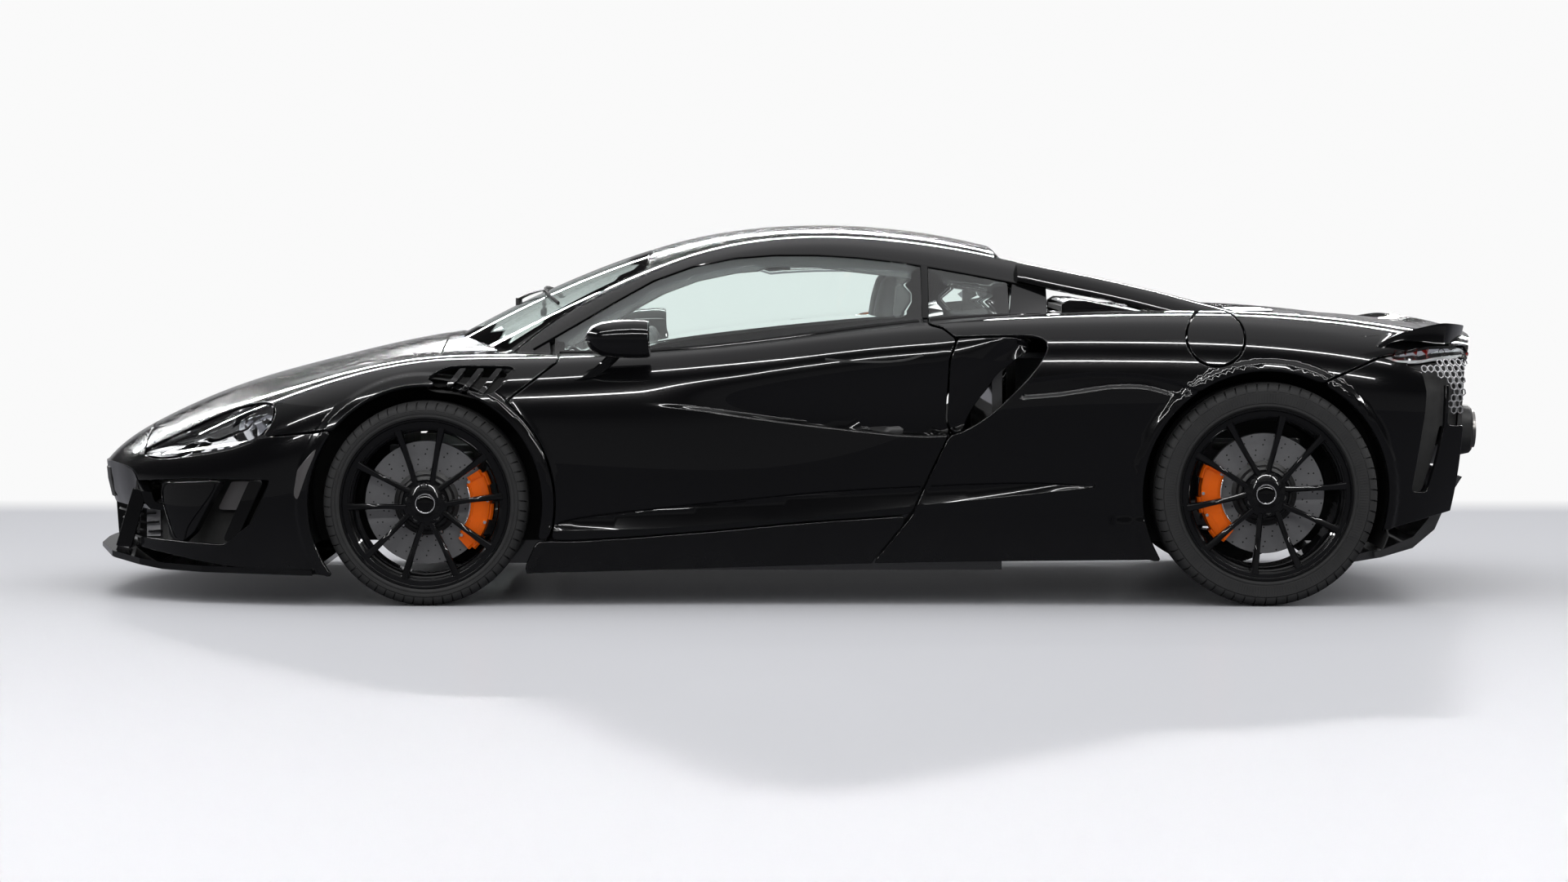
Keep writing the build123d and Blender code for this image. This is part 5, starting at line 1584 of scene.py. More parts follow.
@dataclass
class Canopy:
    """Windscreen, roof, pillars, side windows, their seals and the buttresses behind."""

    shell: BodyShell
    glass: float = 5.0
    rail: float = 22.0
    seal_width: float = 13.0
    seal_height: float = 4.0

    def __post_init__(self) -> None:
        """Works out where the canopy stands clear of the body."""
        self.shop = self.shell.shop
        self.maker = PanelMaker(self.shell.canopy, 300, 170, 16.0, 60.0)
        over = self.shell.height_over(self.shell.body_tree, self.maker.grid_points)
        self.over = over
        self.below_rails = side_area([*SIDE_GLASS_TOP, (850, 600), (-881, 600)], 540)
        self.screen = plan_area(SCREEN)

    def above_body(self, sunk: float) -> Field:
        """The area above the body, down to a depth inside it."""
        values = self.over + sunk

        def depth(points: Array) -> Array:
            """The height of the grid's own points, and a large value elsewhere."""
            return values if len(points) == len(values) else np.full(len(points), 1e3)
        return depth

    @staticmethod
    def stretch(low: float, high: float) -> Field:
        """The area between two places along the car."""
        return lambda points: np.minimum(points[:, 0] - low, high - points[:, 0])

    def build(self) -> None:
        """Makes every piece of the canopy."""
        shop, maker, roll = self.shop, self.maker, 1.5
        screen = self.shell.within(self.screen)
        shape = maker.cut(lambda p: np.minimum(screen(p), self.above_body(16)(p)), (), roll,
                          self.glass, mirror=True)
        shop.fit(shape, "windscreen_glass", "root", "glass", replaces=("windscreen",), sharp=None)
        posts = [side_area(flat, 540) for flat in (
            [(424, 1095), (437, 1095), (437, 800), (424, 800)],
            [(700, 800), (700, 912), (716, 1030), (900, 1030), (900, 800)],
            [(-900, 700), (-900, 790), (-775, 850), (-745, 700)])]

        def roof(points: Array) -> Array:
            """The roof with its rails and posts, in front of the rear screen."""
            held = np.maximum.reduce([-self.below_rails(points)] + [post(points) for post in posts])
            middle = np.maximum(655 - points[:, 0], np.abs(points[:, 1]) - 512)
            return np.minimum.reduce([held - 1, -self.screen(points) - 4, middle,
                                      self.above_body(14)(points)])
        shape = maker.cut(roof, (), 2.5, self.rail, mirror=True, sink=0.4)
        shop.fit(shape, "roof_skin", "root", "paint", replaces=("roof_panel",), sharp=None)

        def lining(points: Array) -> Array:
            """The lining under the roof, which reaches past the skin's edges."""
            held = np.maximum.reduce([-self.below_rails(points)] + [post(points) for post in posts])
            return np.minimum.reduce([held + 26, -self.screen(points) + 8,
                                      640 - points[:, 0], self.above_body(40)(points)])
        shape = maker.cut(lining, (), 1.5, 5.0, mirror=True, sink=34)
        shop.fit(shape, "roof_lining", "root", "suede", "leather", sharp=None)
        for name, reach in (("door", (-752, 421)), ("quarter", (440, 700))):
            span = self.stretch(*reach)

            def pane(points: Array) -> Array:
                """A side window, from the rail down into the body."""
                return np.minimum.reduce([self.below_rails(points) - 4, span(points) - 3,
                                          self.above_body(22)(points)])
            shape = maker.cut(pane, (), roll, self.glass)
            if name == "door":
                for side in Side:
                    door = f"door_{side.word}"
                    shop.fit(shape.on(side), f"{door}_pane", door, "glass",
                             replaces=(f"{door}_glass",), sharp=None)
                continue
            shop.fit(joined([shape, shape.mirrored()]), "quarter_panes", "root", "glass",
                     sharp=None)
            clear = side_area(flowing(QUARTER_CLEAR, 12, True), 500)
            frit = maker.cut(lambda p: np.minimum(pane(p), -clear(p)), (), 1.0, 3.0, sink=7.0)
            shop.fit(joined([frit, frit.mirrored()]), "quarter_borders", "root", "gloss_trim",
                     sharp=None)
        self.rear_screen()
        self.seals()
        self.buttresses()

    def rear_screen(self) -> None:
        """The upright rear window between the buttresses."""
        across = np.linspace(-1, 1, 17)
        rings = []
        for share in np.linspace(0, 1, 7):
            x, z, half = 663 + 199 * share, 1120 - 210 * share, 508 - 10 * share
            outer = [(x, t * half, z - 18 * t * t) for t in across]
            inner = [(x - 3, t * half, z - 18 * t * t - 5) for t in across[::-1]]
            rings.append(outer + inner)
        self.shop.fit(facing_out(lofted(np.array(rings))), "rear_screen", "root", "dark_glass",
                      "glass", ("rear_windows",))

    def seals(self) -> None:
        """Gloss strips around the side windows and a wiper seal along the belt."""
        parts: dict[str, list[Shape]] = {"root": [], "door": []}
        for points, normals in self.maker.trace(
                self.below_rails, lambda p: np.minimum(self.over - 4,
                                                       np.abs(p[:, 1]) - 552)):
            parts["root"].append(strip(points + normals * 0.5, normals, self.seal_width,
                                       self.seal_height))
        for points, normals in self.maker.trace(
                self.above_body(-1), lambda p: np.minimum.reduce(
                    [self.stretch(-735, 415)(p), np.abs(p[:, 1]) - 560])):
            parts["door"].append(strip(points + normals * 0.5, normals, 11.0, 4.5))
        for points, normals in self.maker.trace(
                self.above_body(-1), lambda p: np.minimum.reduce(
                    [self.stretch(440, 800)(p), np.abs(p[:, 1]) - 560])):
            parts["root"].append(strip(points + normals * 0.5, normals, 11.0, 4.0))
        for points, normals in self.maker.trace(
                self.stretch(-3000, 430), lambda p: np.minimum(self.below_rails(p), self.over)):
            parts["root"].append(strip(points + normals * 1.0, normals, 22.0, 3.5))
        fixed = joined(parts["root"])
        self.shop.fit(joined([fixed, fixed.mirrored()]), "window_seals", "root", "gloss_trim")
        moving = joined(parts["door"])
        for side in Side:
            self.shop.fit(moving.on(side), f"door_{side.word}_seal", f"door_{side.word}",
                          "gloss_trim")

    def buttresses(self) -> None:
        """The flying blades from the roof's rear corners down to the deck."""
        stations = [(730, 1079, 1018), (850, 1055, 990), (1000, 1025, 962), (1100, 1003, 940),
                    (1200, 979, 915), (1300, 953, 900), (1400, 930, 890), (1480, 912, 885)]
        line = flowing(stations, 25)
        rings = []
        for x, high, low in line:
            lean = (x - 730) / 750
            rings.append([(x, 612 + 50 * lean, low),
                          (x, 606 + 48 * lean, low + 0.45 * (high - low)),
                          (x, 580 + 36 * lean, high - 9), (x, 566 + 30 * lean, high - 1),
                          (x, 548 + 24 * lean, high - 1), (x, 520 + 16 * lean, high - 12),
                          (x, 505, low + 12), (x, 520, low - 2), (x, 580, low - 5)])
        blade = facing_out(lofted(np.array(rings)))
        self.shop.fit(joined([blade, blade.mirrored()]), "buttress_blades", "root", "paint",
                      sharp=50.0)


# ---------------------------------------------------------------- front and sides
INTAKE_BLADE = [(-2016, 376), (-1800, 392), (-1894, 224), (-1950, 176), (-1986, 204)]
INTAKE_FIN_BACK = [(-1702, 392), (-1660, 392), (-1752, 200), (-1792, 200)]
MARKER_LAMP = [(-1490, 489), (-1478, 502), (-1512, 424), (-1545, 331), (-1558, 347), (-1545, 428)]
NOSE_EDGE = [(0, -2262), (180, -2258), (340, -2205), (450, -2160), (535, -2118), (600, -2085)]
HANDLE = [(112, 775), (190, 768), (303, 767), (372, 775), (420, 789)]


@dataclass
class Details:
    """Lamps, intakes, mirrors, louvres, wipers and the nose."""

    shell: BodyShell
    repeat: Repeater

    def __post_init__(self) -> None:
        """Keeps the shop and the panel maker at hand."""
        self.shop, self.maker = self.shell.shop, self.shell.maker
        step_u, step_v = 300, 130
        u, v = np.meshgrid(np.linspace(0, 1, step_u), np.linspace(0, 1, step_v), indexing="ij")
        self.surface = self.shell.skin.points(np.stack([u.ravel(), v.ravel()], 1))
        ids = np.arange(step_u * step_v).reshape(step_u, step_v)
        faces = np.stack([ids[:-1, :-1].ravel(), ids[1:, :-1].ravel(), ids[1:, 1:].ravel(),
                          ids[:-1, 1:].ravel()], 1)
        self.tree = BVHTree.FromPolygons(self.surface.tolist(), faces.tolist())

    def lay(self, line: Spots, lift: float = 0.0) -> tuple[Array, Array]:
        """Lays a side-view line on the body's side, lifted off it; also gives the normals."""
        points, normals = [], []
        for x, z in line:
            spot, normal, _, _ = self.tree.ray_cast(Vector((x, BEYOND, z)), Vector((0, -1, 0)))
            if spot is not None:
                normal = np.array(normal) * (1 if normal[1] > 0 else -1)
                points.append(np.array(spot) + normal * lift)
                normals.append(normal)
        return np.array(points), np.array(normals)

    def layer(self, area: Field, name: str, finish: str, slot: str | None = None,
              sink: float = 0.0, wall: float = 5.0, margin: float = 0.0, grain: float = 22.0,
              nodes: Sequence[str] = (), roll: float = 1.5) -> None:
        """A panel on both sides of the car that follows the skin at a depth."""
        shape = self.maker.cut(lambda p: area(p) - margin, (), roll, wall, grain, sink=sink)
        self.shop.fit(joined([shape, shape.mirrored()]), name, "root", finish, slot, nodes, None)

    def both(self, shapes: Sequence[Shape], name: str, body: str, finish: str,
             slot: str | None = None, nodes: Sequence[str] = (), bevel: float = 0.0,
             sharp: float = 35.0) -> None:
        """Shapes for +Y together with their mirror images, as one piece."""
        shape = joined(list(shapes))
        self.shop.fit(joined([shape, shape.mirrored()]), name, body, finish, slot, nodes, sharp,
                      bevel)

    def build(self) -> None:
        """Makes every detail of the front and the sides."""
        self.headlamps()
        self.nose()
        self.intakes()
        self.louvres()
        self.mirrors()
        self.wipers()
        # The handle's slit is a thin near-black strip on the skin that paints the shade inside its
        # recess.
        points, normals = self.lay(flowing(HANDLE, 8), 0.2)
        slit = strip(points, normals, 7.0, 1.0)
        for side in Side:
            self.shop.fit(slit.on(side), f"door_{side.word}_handle", f"door_{side.word}",
                          "void", "trim")

    def headlamps(self) -> None:
        """Clear covers over dark bowls with a pale lower line that paints a highlight, and a
        faceted module.
        """
        lamp, tail = self.shell.lamp_area, side_area(TAIL_LAMP, 500)
        both_areas = lambda p: np.maximum(lamp(p), tail(p))
        self.layer(both_areas, "lamp_covers", "lamp", sink=0.5, wall=3.5, margin=5.0,
                   nodes=("lamps",))
        self.layer(lamp, "headlamp_bowls", "gloss_trim", "trim", sink=46, wall=6, margin=-4)
        self.layer(tail, "tail_lamp_backs", "light", "trim", sink=16, wall=5, margin=1)
        # The pale strip under the cover along the lamp's lower edge paints the highlight that runs
        # there.
        low = [(-2090, 455), (-2046, 466), (-1890, 486), (-1760, 512), (-1690, 540), (-1640, 570)]
        points, normals = self.lay(flowing(low, 12), -9.0)
        bright = [strip(points, normals, 4.5, 3.0)]
        lid = [(-2066, 478), (-1950, 521), (-1820, 573), (-1716, 604), (-1660, 606)]
        upper, upper_normals = self.lay(flowing(lid, 12), -12.0)
        self.both(bright, "headlamp_lines", "root", "light", "lamp")
        self.both([strip(upper, upper_normals, 14.0, 4.0)], "headlamp_lids", "root", "rim",
                  "gloss_trim")
        module = [(-1772, 540), (-1752, 590), (-1700, 612), (-1648, 606), (-1642, 566),
                  (-1676, 538), (-1730, 524)]
        blocks = []
        for k in range(5):
            x = -1762 + 25 * k
            front, _ = self.lay([(x, 552 + 6 * k)], -26.0)
            y = float(front[0, 1])
            blocks.append(prism([(x - 10, 530 + 5 * k), (x + 9, 532 + 5 * k),
                                 (x + 13, 578 + 6 * k), (x - 2, 572 + 6 * k)],
                                y - 60, y - 4 * (k % 2)))
        self.both(blocks, "headlamp_modules", "root", "bowl", "steel", bevel=2.0)
        centre, _ = self.lay([(-1700, 575)], -52)
        plate = prism(module, float(centre[0, 1]) - 20, float(centre[0, 1]))
        self.both([plate], "headlamp_plates", "root", "rim", "trim", bevel=2.5)
        fins = []
        for k in range(4):
            x = 1900 + 36 * k
            spot, _ = self.lay([(x, 790)], -3.0)
            y = float(spot[0, 1]) if len(spot) else 800.0
            fins.append(prism([(x, 772), (x + 3, 772), (x + 12, 805), (x + 9, 805)], y - 16, y - 2))
        self.both(fins, "tail_lamp_fins", "root", "red_lamp", "lamp")

    def nose(self) -> None:
        """The band under the tip, the slatted intake below it and a bare plate."""
        half = flowing(NOSE_EDGE, 30)
        line = np.vstack([half[::-1] * [-1, 1], half[1:]])
        tops = np.interp(np.abs(line[:, 0]), (0, 180, 340, 450, 535, 600),
                         (425, 424, 424, 420, 408, 345))
        band = []
        for (y, x), top in zip(line, tops):
            low = min(285.0, top - 40)
            band.append([(x + 1, y, top - 3), (x + 5, y, 0.7 * top + 0.3 * low),
                         (x + 14, y, 0.3 * top + 0.7 * low), (x + 30, y, low), (x + 96, y, low - 8),
                         (x + 96, y, low + 4), (x + 44, y, 0.3 * top + 0.7 * low + 6),
                         (x + 34, y, top - 6)])
        self.shop.fit(facing_out(lofted(np.array(band))), "nose_band", "root", "paint", sharp=40)
        inner = line[np.abs(line[:, 0]) < 520]
        slats = []
        for z in (176, 204, 232, 260):
            push = 30 + (285 - z) * 0.35
            slats.append(facing_out(lofted(np.array([
                [(x + push, y, z), (x + push + 3, y, z + 6), (x + push + 40, y, z + 9),
                 (x + push + 40, y, z + 3)] for y, x in inner]))))
        posts = [prism([(-2262 + 40, 165), (-2262 + 32, 282), (-2262 + 84, 282), (-2262 + 90, 165)],
                       y - 4, y + 4) for y in (-150, 150)]
        self.shop.fit(joined(slats + posts), "nose_slats", "root", "gloss_trim")
        # A near-black sheet behind the slats paints the shade inside the nose intake.
        back = facing_out(lofted(np.array([[(x + 100, y, 150), (x + 100, y, 300), (x + 106, y, 300),
                                            (x + 106, y, 150)] for y, x in line])))
        self.shop.fit(back, "nose_void", "root", "void", "trim")
        self.both([prism([(-2066, 345), (-2112, 352), (-2168, 166), (-2118, 160)], 566, 588)],
                  "nose_strakes", "root", "gloss_trim", bevel=3.0)
        rows = []
        for y in np.linspace(-256, 256, 45):
            x = float(np.interp(y, line[:, 0], line[:, 1]))
            rows.append([(x + 0.3, y, 398), (x + 4, y, 360), (x + 17, y, 304), (x + 20, y, 304),
                         (x + 7, y, 360), (x + 3, y, 398)])
        self.shop.fit(facing_out(lofted(np.array(rows))), "front_plate", "root", "plate", "trim")

    def intakes(self) -> None:
        """The intakes beside the nose, with a blade, a fin and a pane, and the marker lamps."""
        hole = side_area(SIDE_INTAKE, 400)
        # A near-black sheet deep in each intake paints the shade inside it.
        self.layer(hole, "intake_backs", "void", "trim", sink=86, wall=6, margin=-22)
        self.layer(side_area(INTAKE_BLADE, 400), "intake_blades", "paint", sink=7, wall=26,
                   margin=4, roll=4.0, grain=14)
        inner = [(x + 14 if x < -1900 else x - 24, z - 8 if z > 300 else z + 12)
                 for x, z in INTAKE_BLADE]
        ring, normals = self.lay(flowing(inner, 10, True), -4.5)
        self.both([strip(ring, normals, 3.0, 1.6)], "intake_blade_lines", "root", "rim",
                  "gloss_trim")
        self.layer(side_area([(-1796, 388), (-1722, 390), (-1764, 296), (-1846, 296)], 400),
                   "intake_panes", "smoke", "trim", sink=58, wall=5)
        self.layer(side_area(INTAKE_FIN_BACK, 400), "intake_fins", "gloss_trim", sink=3, wall=40,
                   roll=3.0, grain=14)
        self.layer(side_area(MARKER_LAMP, 500), "marker_lamps", "smoke", "lamp", sink=-1.6,
                   wall=5.0, grain=10, roll=1.0)
        edges = []
        for y in (440, 560):
            edges.append(prism([(-2120, 196), (-2104, 376), (-2098, 376), (-2112, 196)], y, y + 4))
        self.both(edges, "intake_stays", "root", "trim")

    def louvres(self) -> None:
        """The blades in the openings behind the front wheels."""
        vent = side_area(self.shell.vent_outline(), 500)
        # A near-black sheet behind the blades paints the shade inside the vent.
        self.layer(vent, "vent_backs", "void", "trim", sink=52, wall=5, margin=-10)
        quads = [side_area([(x - 62, 650), (x - 44, 650), (x + 36, 765), (x + 18, 765)], 500)
                 for x in (-1046, -988, -930, -880)]
        blades = lambda p: np.minimum(vent(p) + 3, np.maximum.reduce([q(p) for q in quads]))
        self.layer(blades, "vent_blades", "gloss_trim", sink=7, wall=20, grain=10, roll=2.0)

    def mirrors(self) -> None:
        """The door mirrors: a rounded housing on a blade, with its glass."""
        stations = [(-640, 950, 838, 10, 8), (-634, 951, 838, 30, 24), (-620, 953, 839, 50, 42),
                    (-590, 957, 840, 65, 53), (-545, 962, 841, 72, 59), (-490, 966, 842, 74, 61.5),
                    (-452, 966, 842, 73, 60), (-442, 966, 842, 70, 57), (-441, 966, 842, 65, 52),
                    (-449, 966, 842, 63, 50)]
        turns = np.linspace(0, 2 * math.pi, 36, endpoint=False)

        def ring(x: float, y: float, z: float, wide: float, tall: float) -> Array:
            """One rounded section of the housing."""
            c, s = np.cos(turns), np.sin(turns)
            return np.stack([np.full(36, x) - 6 * (s < 0) * s,
                             y + wide * np.sign(c) * np.abs(c) ** 0.75,
                             z + tall * np.sign(s) * np.abs(s) ** 0.8], 1)
        housing = facing_out(lofted(np.array([ring(*row) for row in stations])))
        glass = facing_out(lofted(np.array([ring(-449.5, 966, 842, 62, 49),
                                            ring(-446.5, 966, 842, 62, 49)])))
        foot = flowing([(-694, 886, 700), (-640, 892, 722), (-590, 902, 760), (-560, 918, 790)],
                       14)
        rows = []
        for k, (x, y, z) in enumerate(foot):
            share = k / (len(foot) - 1)
            long, thick = 52 - 10 * share, 6.5 + 3.0 * share
            rows.append([(x - long * 0.4, y, z - 6), (x - long * 0.1, y + thick, z),
                         (x + long * 0.9, y + thick * 0.8, z + 7), (x + long, y, z + 8),
                         (x + long * 0.9, y - thick, z + 6), (x - long * 0.1, y - thick, z - 3)])
        blade = facing_out(lofted(np.array(rows)))
        for side in Side:
            door = f"door_{side.word}"
            self.shop.fit(housing.on(side), f"{door}_mirror_case", door, "paint",
                          replaces=(f"{door}_mirror",), sharp=40)
            self.shop.fit(glass.on(side), f"{door}_mirror_glass", door, "mirror", "steel")
            self.shop.fit(blade.on(side), f"{door}_mirror_blade", door, "gloss_trim", sharp=50)

    def wipers(self) -> None:
        """Two wipers along the foot of the windscreen."""
        canopy = self.shell.canopy
        v = np.linspace(0, 0.6, 80)

        def across(y: float, u: float, lift: float) -> Array:
            """A point lifted off the screen, at one place across it."""
            uv = np.stack([np.full(80, u), v], 1)
            points, normals = canopy.base(uv), canopy.base_normal(uv)
            points = points + normals * lift
            spot = np.array([np.interp(abs(y), points[:, 1], points[:, k]) for k in range(3)])
            spot[1] = y
            return spot
        arms, blades = [], []
        for start, pivot in ((-470, -80), (-90, 300)):
            blade = np.array([across(y, 0.165, 9.0) for y in np.linspace(start, start + 470, 24)])
            reach = zip(np.linspace(pivot + 130, start + 235, 12), np.linspace(0.115, 0.165, 12))
            arm = np.array([across(y, u, 15.0) for y, u in reach])
            blades.append(tube(blade, 4.5, 8, 1.6))
            arms.append(tube(arm, np.linspace(7, 4, 12), 8, 0.7))
            boss = tube(np.array([arm[0] - [0, 0, 26], arm[0] + [0, 0, 5]]), 11, 16)
            arms.append(boss)
        self.shop.fit(joined(arms), "wiper_arms", "root", "trim")
        self.shop.fit(joined(blades), "wiper_blades", "root", "tyre", "trim")


# ---------------------------------------------------------------- wheels
@dataclass
class WheelSize:
    """Sizes of a wheel in millimetres, measured outwards from its middle plane."""

    end: str
    hub: tuple[float, float]
    track: float
    radius: float
    width: float
    flange: float
    lip: float
    seat: float
    disc: float
    pair_angle: float
    caliper_angle: float


WHEEL_SIZES = (WheelSize("front", (-1145, 322), 825.0, 322, 235, 113, 266, 243, 195, -14, -8),
               WheelSize("rear", (1495, 352), 806.5, 352, 295, 146, 270, 250, 190, 26, 190))
PAIRS = 5
DISC_BACK = 85.0
DISC_THICK = 32.0


@dataclass
class Wheels:
    """Tyres, rims, discs and calipers."""

    shop: Workshop
    repeat: Repeater

    def build(self) -> None:
        """Makes the four wheels with their brakes."""
        for size in WHEEL_SIZES:
            tyre, rim, caliper = self.tyre(size), self.rim(size), self.caliper(size)
            for side in Side:
                name = f"{size.end}_{side.word}"
                wheel = f"wheel_{name}"

                def put(shape: Shape, piece: str, body: str, finish: str, slot: str | None = None,
                        nodes: Sequence[str] = (), sharp: float = 35.0) -> None:
                    """Fits one shape of this wheel on its side of the car."""
                    placed = shape.moved((size.hub[0], size.track, size.hub[1])).on(side)
                    self.shop.fit(placed, piece, body, finish, slot, nodes, sharp)

                put(tyre, f"tread_{name}", wheel, "tyre", nodes=(f"tyre_{name}",), sharp=30)
                put(rim, f"spokes_{name}", wheel, "rim", nodes=(f"rim_{name}",), sharp=28)
                put(self.cap(size), f"cap_{name}", wheel, "gloss_trim")
                put(self.cap_ring(size), f"cap_ring_{name}", wheel, "steel")
                put(self.nuts(size), f"nuts_{name}", wheel, "trim")
                put(self.disc(size), f"disc_{name}", wheel, "disc", nodes=(f"brake_disc_{name}",))
                put(self.drillings(size), f"drillings_{name}", wheel, "void", "trim")
                put(self.hat(size), f"hat_{name}", wheel, "trim")
                put(self.bobbins(size), f"bobbins_{name}", wheel, "steel")
                turning = f"knuckle_{side.word}" if size.end == "front" else "root"
                node = f"caliper_{name}" if size.end == "front" else "rear_calipers"
                body, pins, pads = caliper
                put(body, f"caliper_body_{name}", turning, "caliper", nodes=(node,), sharp=32)
                put(pins, f"caliper_pins_{name}", turning, "steel")
                put(pads, f"caliper_pads_{name}", turning, "cast")

    def tyre(self, size: WheelSize) -> Shape:
        """A tyre with grooves around it, shoulder blocks and a ribbed wall, with no lettering."""
        r, half, lip = size.radius - 0.5, size.width / 2 - 0.5, size.lip
        bead, shoulder = size.flange - 9, half - 48
        wall = [(size.seat + 1.5, bead), (lip + 0.5, bead), (lip + 3, half - 5),
                (lip + 9, half - 1), (lip + 13, half - 1), (lip + 14, half - 2.4),
                (lip + 17, half - 2.4),
                (lip + 18, half - 0.6), (r - 30, half), (r - 28, half - 2.5), (r - 22, half - 4.5),
                (r - 15, half - 10), (r - 9, half - 22), (r - 7, shoulder + 2)]
        grooves = [(r - 7, shoulder), (r - 0.4, shoulder - 1), (r, 34), (r - 7, 33), (r - 7, 25),
                   (r, 24), (r, 6), (r - 4, 5), (r - 4, 0)]
        outside = wall + grooves
        ring = outside + [(a, -b) for a, b in reversed(outside[:-1])]
        inner = [(size.seat + 14, -bead + 14), (r - 34, -half + 14), (r - 17, 0),
                 (r - 34, half - 14), (size.seat + 14, bead - 14)]
        parts = [turned(ring + inner, 128)]
        block = [(r - 8, shoulder + 9), (r - 0.6, shoulder + 9), (r - 1.2, half - 30),
                 (r - 4.5, half - 17), (r - 11, half - 7), (r - 20, half - 2.2),
                 (r - 27, half - 1.2), (r - 27, half - 5), (r - 16, half - 14)]
        count = 62
        swing = math.pi / count * 0.86
        for sign in (1, -1):
            rings = np.array([[(a * math.cos(t + sign * b * 0.0005), sign * b,
                                a * math.sin(t + sign * b * 0.0005)) for a, b in block]
                              for t in (-swing, swing)])
            parts.append(self.repeat.ring(facing_out(lofted(rings)), count, "tyre",
                                          first=sign * 90.0 / count))
        rib = self.bar([(lip + 20, half - 3, 0), (r - 31, half - 3, 0)], 1.1, 3.4)
        parts.append(self.repeat.ring(rib, 220, "tyre"))
        return joined(parts)

    @staticmethod
    def bar(ends: Spots, half_width: float, height: float) -> Shape:
        """A small ridge between two points that stands out along +Y."""
        a, b = np.array(ends[0], float), np.array(ends[1], float)
        across, up = np.array([0, 0, half_width]), np.array([0, height, 0])
        return facing_out(lofted(np.array([[p - across, p - across * 0.4 + up,
                                            p + across * 0.4 + up, p + across] for p in (a, b)])))

    def rim(self, size: WheelSize) -> Shape:
        """A rim with a stepped barrel, a hub with five bolt recesses and paired spokes."""
        f, lip, seat = size.flange, size.lip, size.seat
        inside_wall = [(lip, f), (lip - 3.5, f), (lip - 6, f - 3), (lip - 8, f - 9),
                       (seat + 4, f - 14), (seat + 1, f - 22), (seat - 5, f - 25),
                       (seat - 6, f - 38), (seat - 11, f - 42), (seat - 13, f - 62),
                       (seat - 17, f - 68), (seat - 17.5, -f + 56), (seat - 7, -f + 34),
                       (seat - 6, -f), (lip - 4, -f)]
        outer_wall = [(lip - 4, -f + 8), (seat + 0.5, -f + 8), (seat, -f + 36),
                      (seat - 11, -f + 50), (seat - 11, f - 60), (seat, f - 40),
                      (seat + 0.5, f - 8), (lip, f - 8)]
        barrel = turned(inside_wall + outer_wall, 160)
        hub = turned([(30.6, f - 45), (30.6, f - 26), (33, f - 17), (44, f - 15.5), (49, f - 18),
                      (70, f - 22), (75, f - 28), (75, f - 44.8)], 96)
        spokes = joined([self.spoke(size, lean) for lean in (-1, 1)])
        cup = turned([(9.5, 0), (9.5, 3.5), (10.5, 5), (13, 5), (14.5, 3), (14.5, 0)], 28)
        cups = self.repeat.ring(cup, PAIRS, "rim", 57.0, size.pair_angle + 36)
        web = prism([(14, -9), (72, -22), (78, -10), (78, 10), (72, 22), (14, 9)], f - 44, f - 27)
        webs = self.repeat.ring(web, PAIRS, "rim", 0.0, size.pair_angle)
        weights = prism([(seat - 9, -26), (seat - 9, 26), (seat - 5, 26), (seat - 5, -26)],
                        f - 60, f - 46)
        turned_pairs = self.repeat.ring(spokes, PAIRS, "rim", 0.0, size.pair_angle)
        return joined([barrel, hub, turned_pairs, webs, cups.moved((0, f - 23, 0)),
                       self.repeat.ring(weights, 3, "rim", 0.0, 40)])

    @staticmethod
    def spoke(size: WheelSize, lean: int) -> Shape:
        """One slim spoke of the pair on the +X axis, ridged along its face."""
        f = size.flange
        start, end = (np.array([radius * math.cos(math.radians(turn)),
                                radius * math.sin(math.radians(turn))])
                      for radius, turn in ((52, 9.6 * lean), (size.seat + 1, 19.6 * lean)))
        along = (end - start) / np.linalg.norm(end - start)
        across = np.array([-along[1], along[0]]) * lean
        rings = []
        for share in np.linspace(-0.02, 1, 15):
            bow = 5.0 * math.sin(math.pi * min(max(share, 0), 1)) * lean
            middle = start + (end - start) * share + np.array([0, bow * 0.4])
            width = 7.5 + 1.5 * share + 3.5 * share ** 3 + 3.0 * (1 - share) ** 4
            waist = smooth_step((share - 0.45) / 0.2)
            front = f - 19 + 15 * share ** 1.6 - 4 * (1 - waist) * share
            back = f - 43 + 14 * share
            ridge = 0.35 - 0.75 * waist
            outline = [(-1.0, back), (-1.0, front - 5.5), (-0.82, front - 1.5),
                       (ridge - 0.12, front + 1.2), (ridge + 0.12, front + 1.2),
                       (0.82, front - 1.5), (1.0, front - 5.5), (1.0, back), (0.5, back - 3),
                       (-0.5, back - 3)]
            flat = [middle + across * (u * width) for u, _ in outline]
            rings.append([(p[0], y, p[1]) for p, (_, y) in zip(flat, outline)])
        return facing_out(lofted(np.array(rings)))

    @staticmethod
    def cap(size: WheelSize) -> Shape:
        """A plain domed hub cap."""
        f = size.flange
        return turned([(0.01, f - 25), (0.01, f - 10.2), (14, f - 10.6), (24, f - 12),
                       (27.5, f - 13.6), (27.5, f - 25)], 64)

    @staticmethod
    def cap_ring(size: WheelSize) -> Shape:
        """The bright ring around the cap."""
        f = size.flange
        return turned([(27.7, f - 25), (27.7, f - 12.5), (29, f - 11), (31.2, f - 11),
                       (32.3, f - 12.6), (32.3, f - 16.8), (30.4, f - 17), (30.4, f - 25)], 64)

    def nuts(self, size: WheelSize) -> Shape:
        """The wheel bolts in their recesses, and the valve by the rim."""
        f = size.flange
        six = [(8.2 * math.cos(t), 8.2 * math.sin(t)) for t in np.radians(np.arange(0, 360, 60))]
        nut = prism(six, f - 40, f - 20)
        valve = tube(flowing([(size.seat - 15, f - 52, 0), (size.seat - 24, f - 40, 2),
                              (size.seat - 29, f - 30, 3)], 4), 3.2, 8)
        return joined([self.repeat.ring(nut, PAIRS, "trim", 57.0, size.pair_angle + 36),
                       self.repeat.ring(valve, 1, "trim", 0.0, size.pair_angle + 40)])

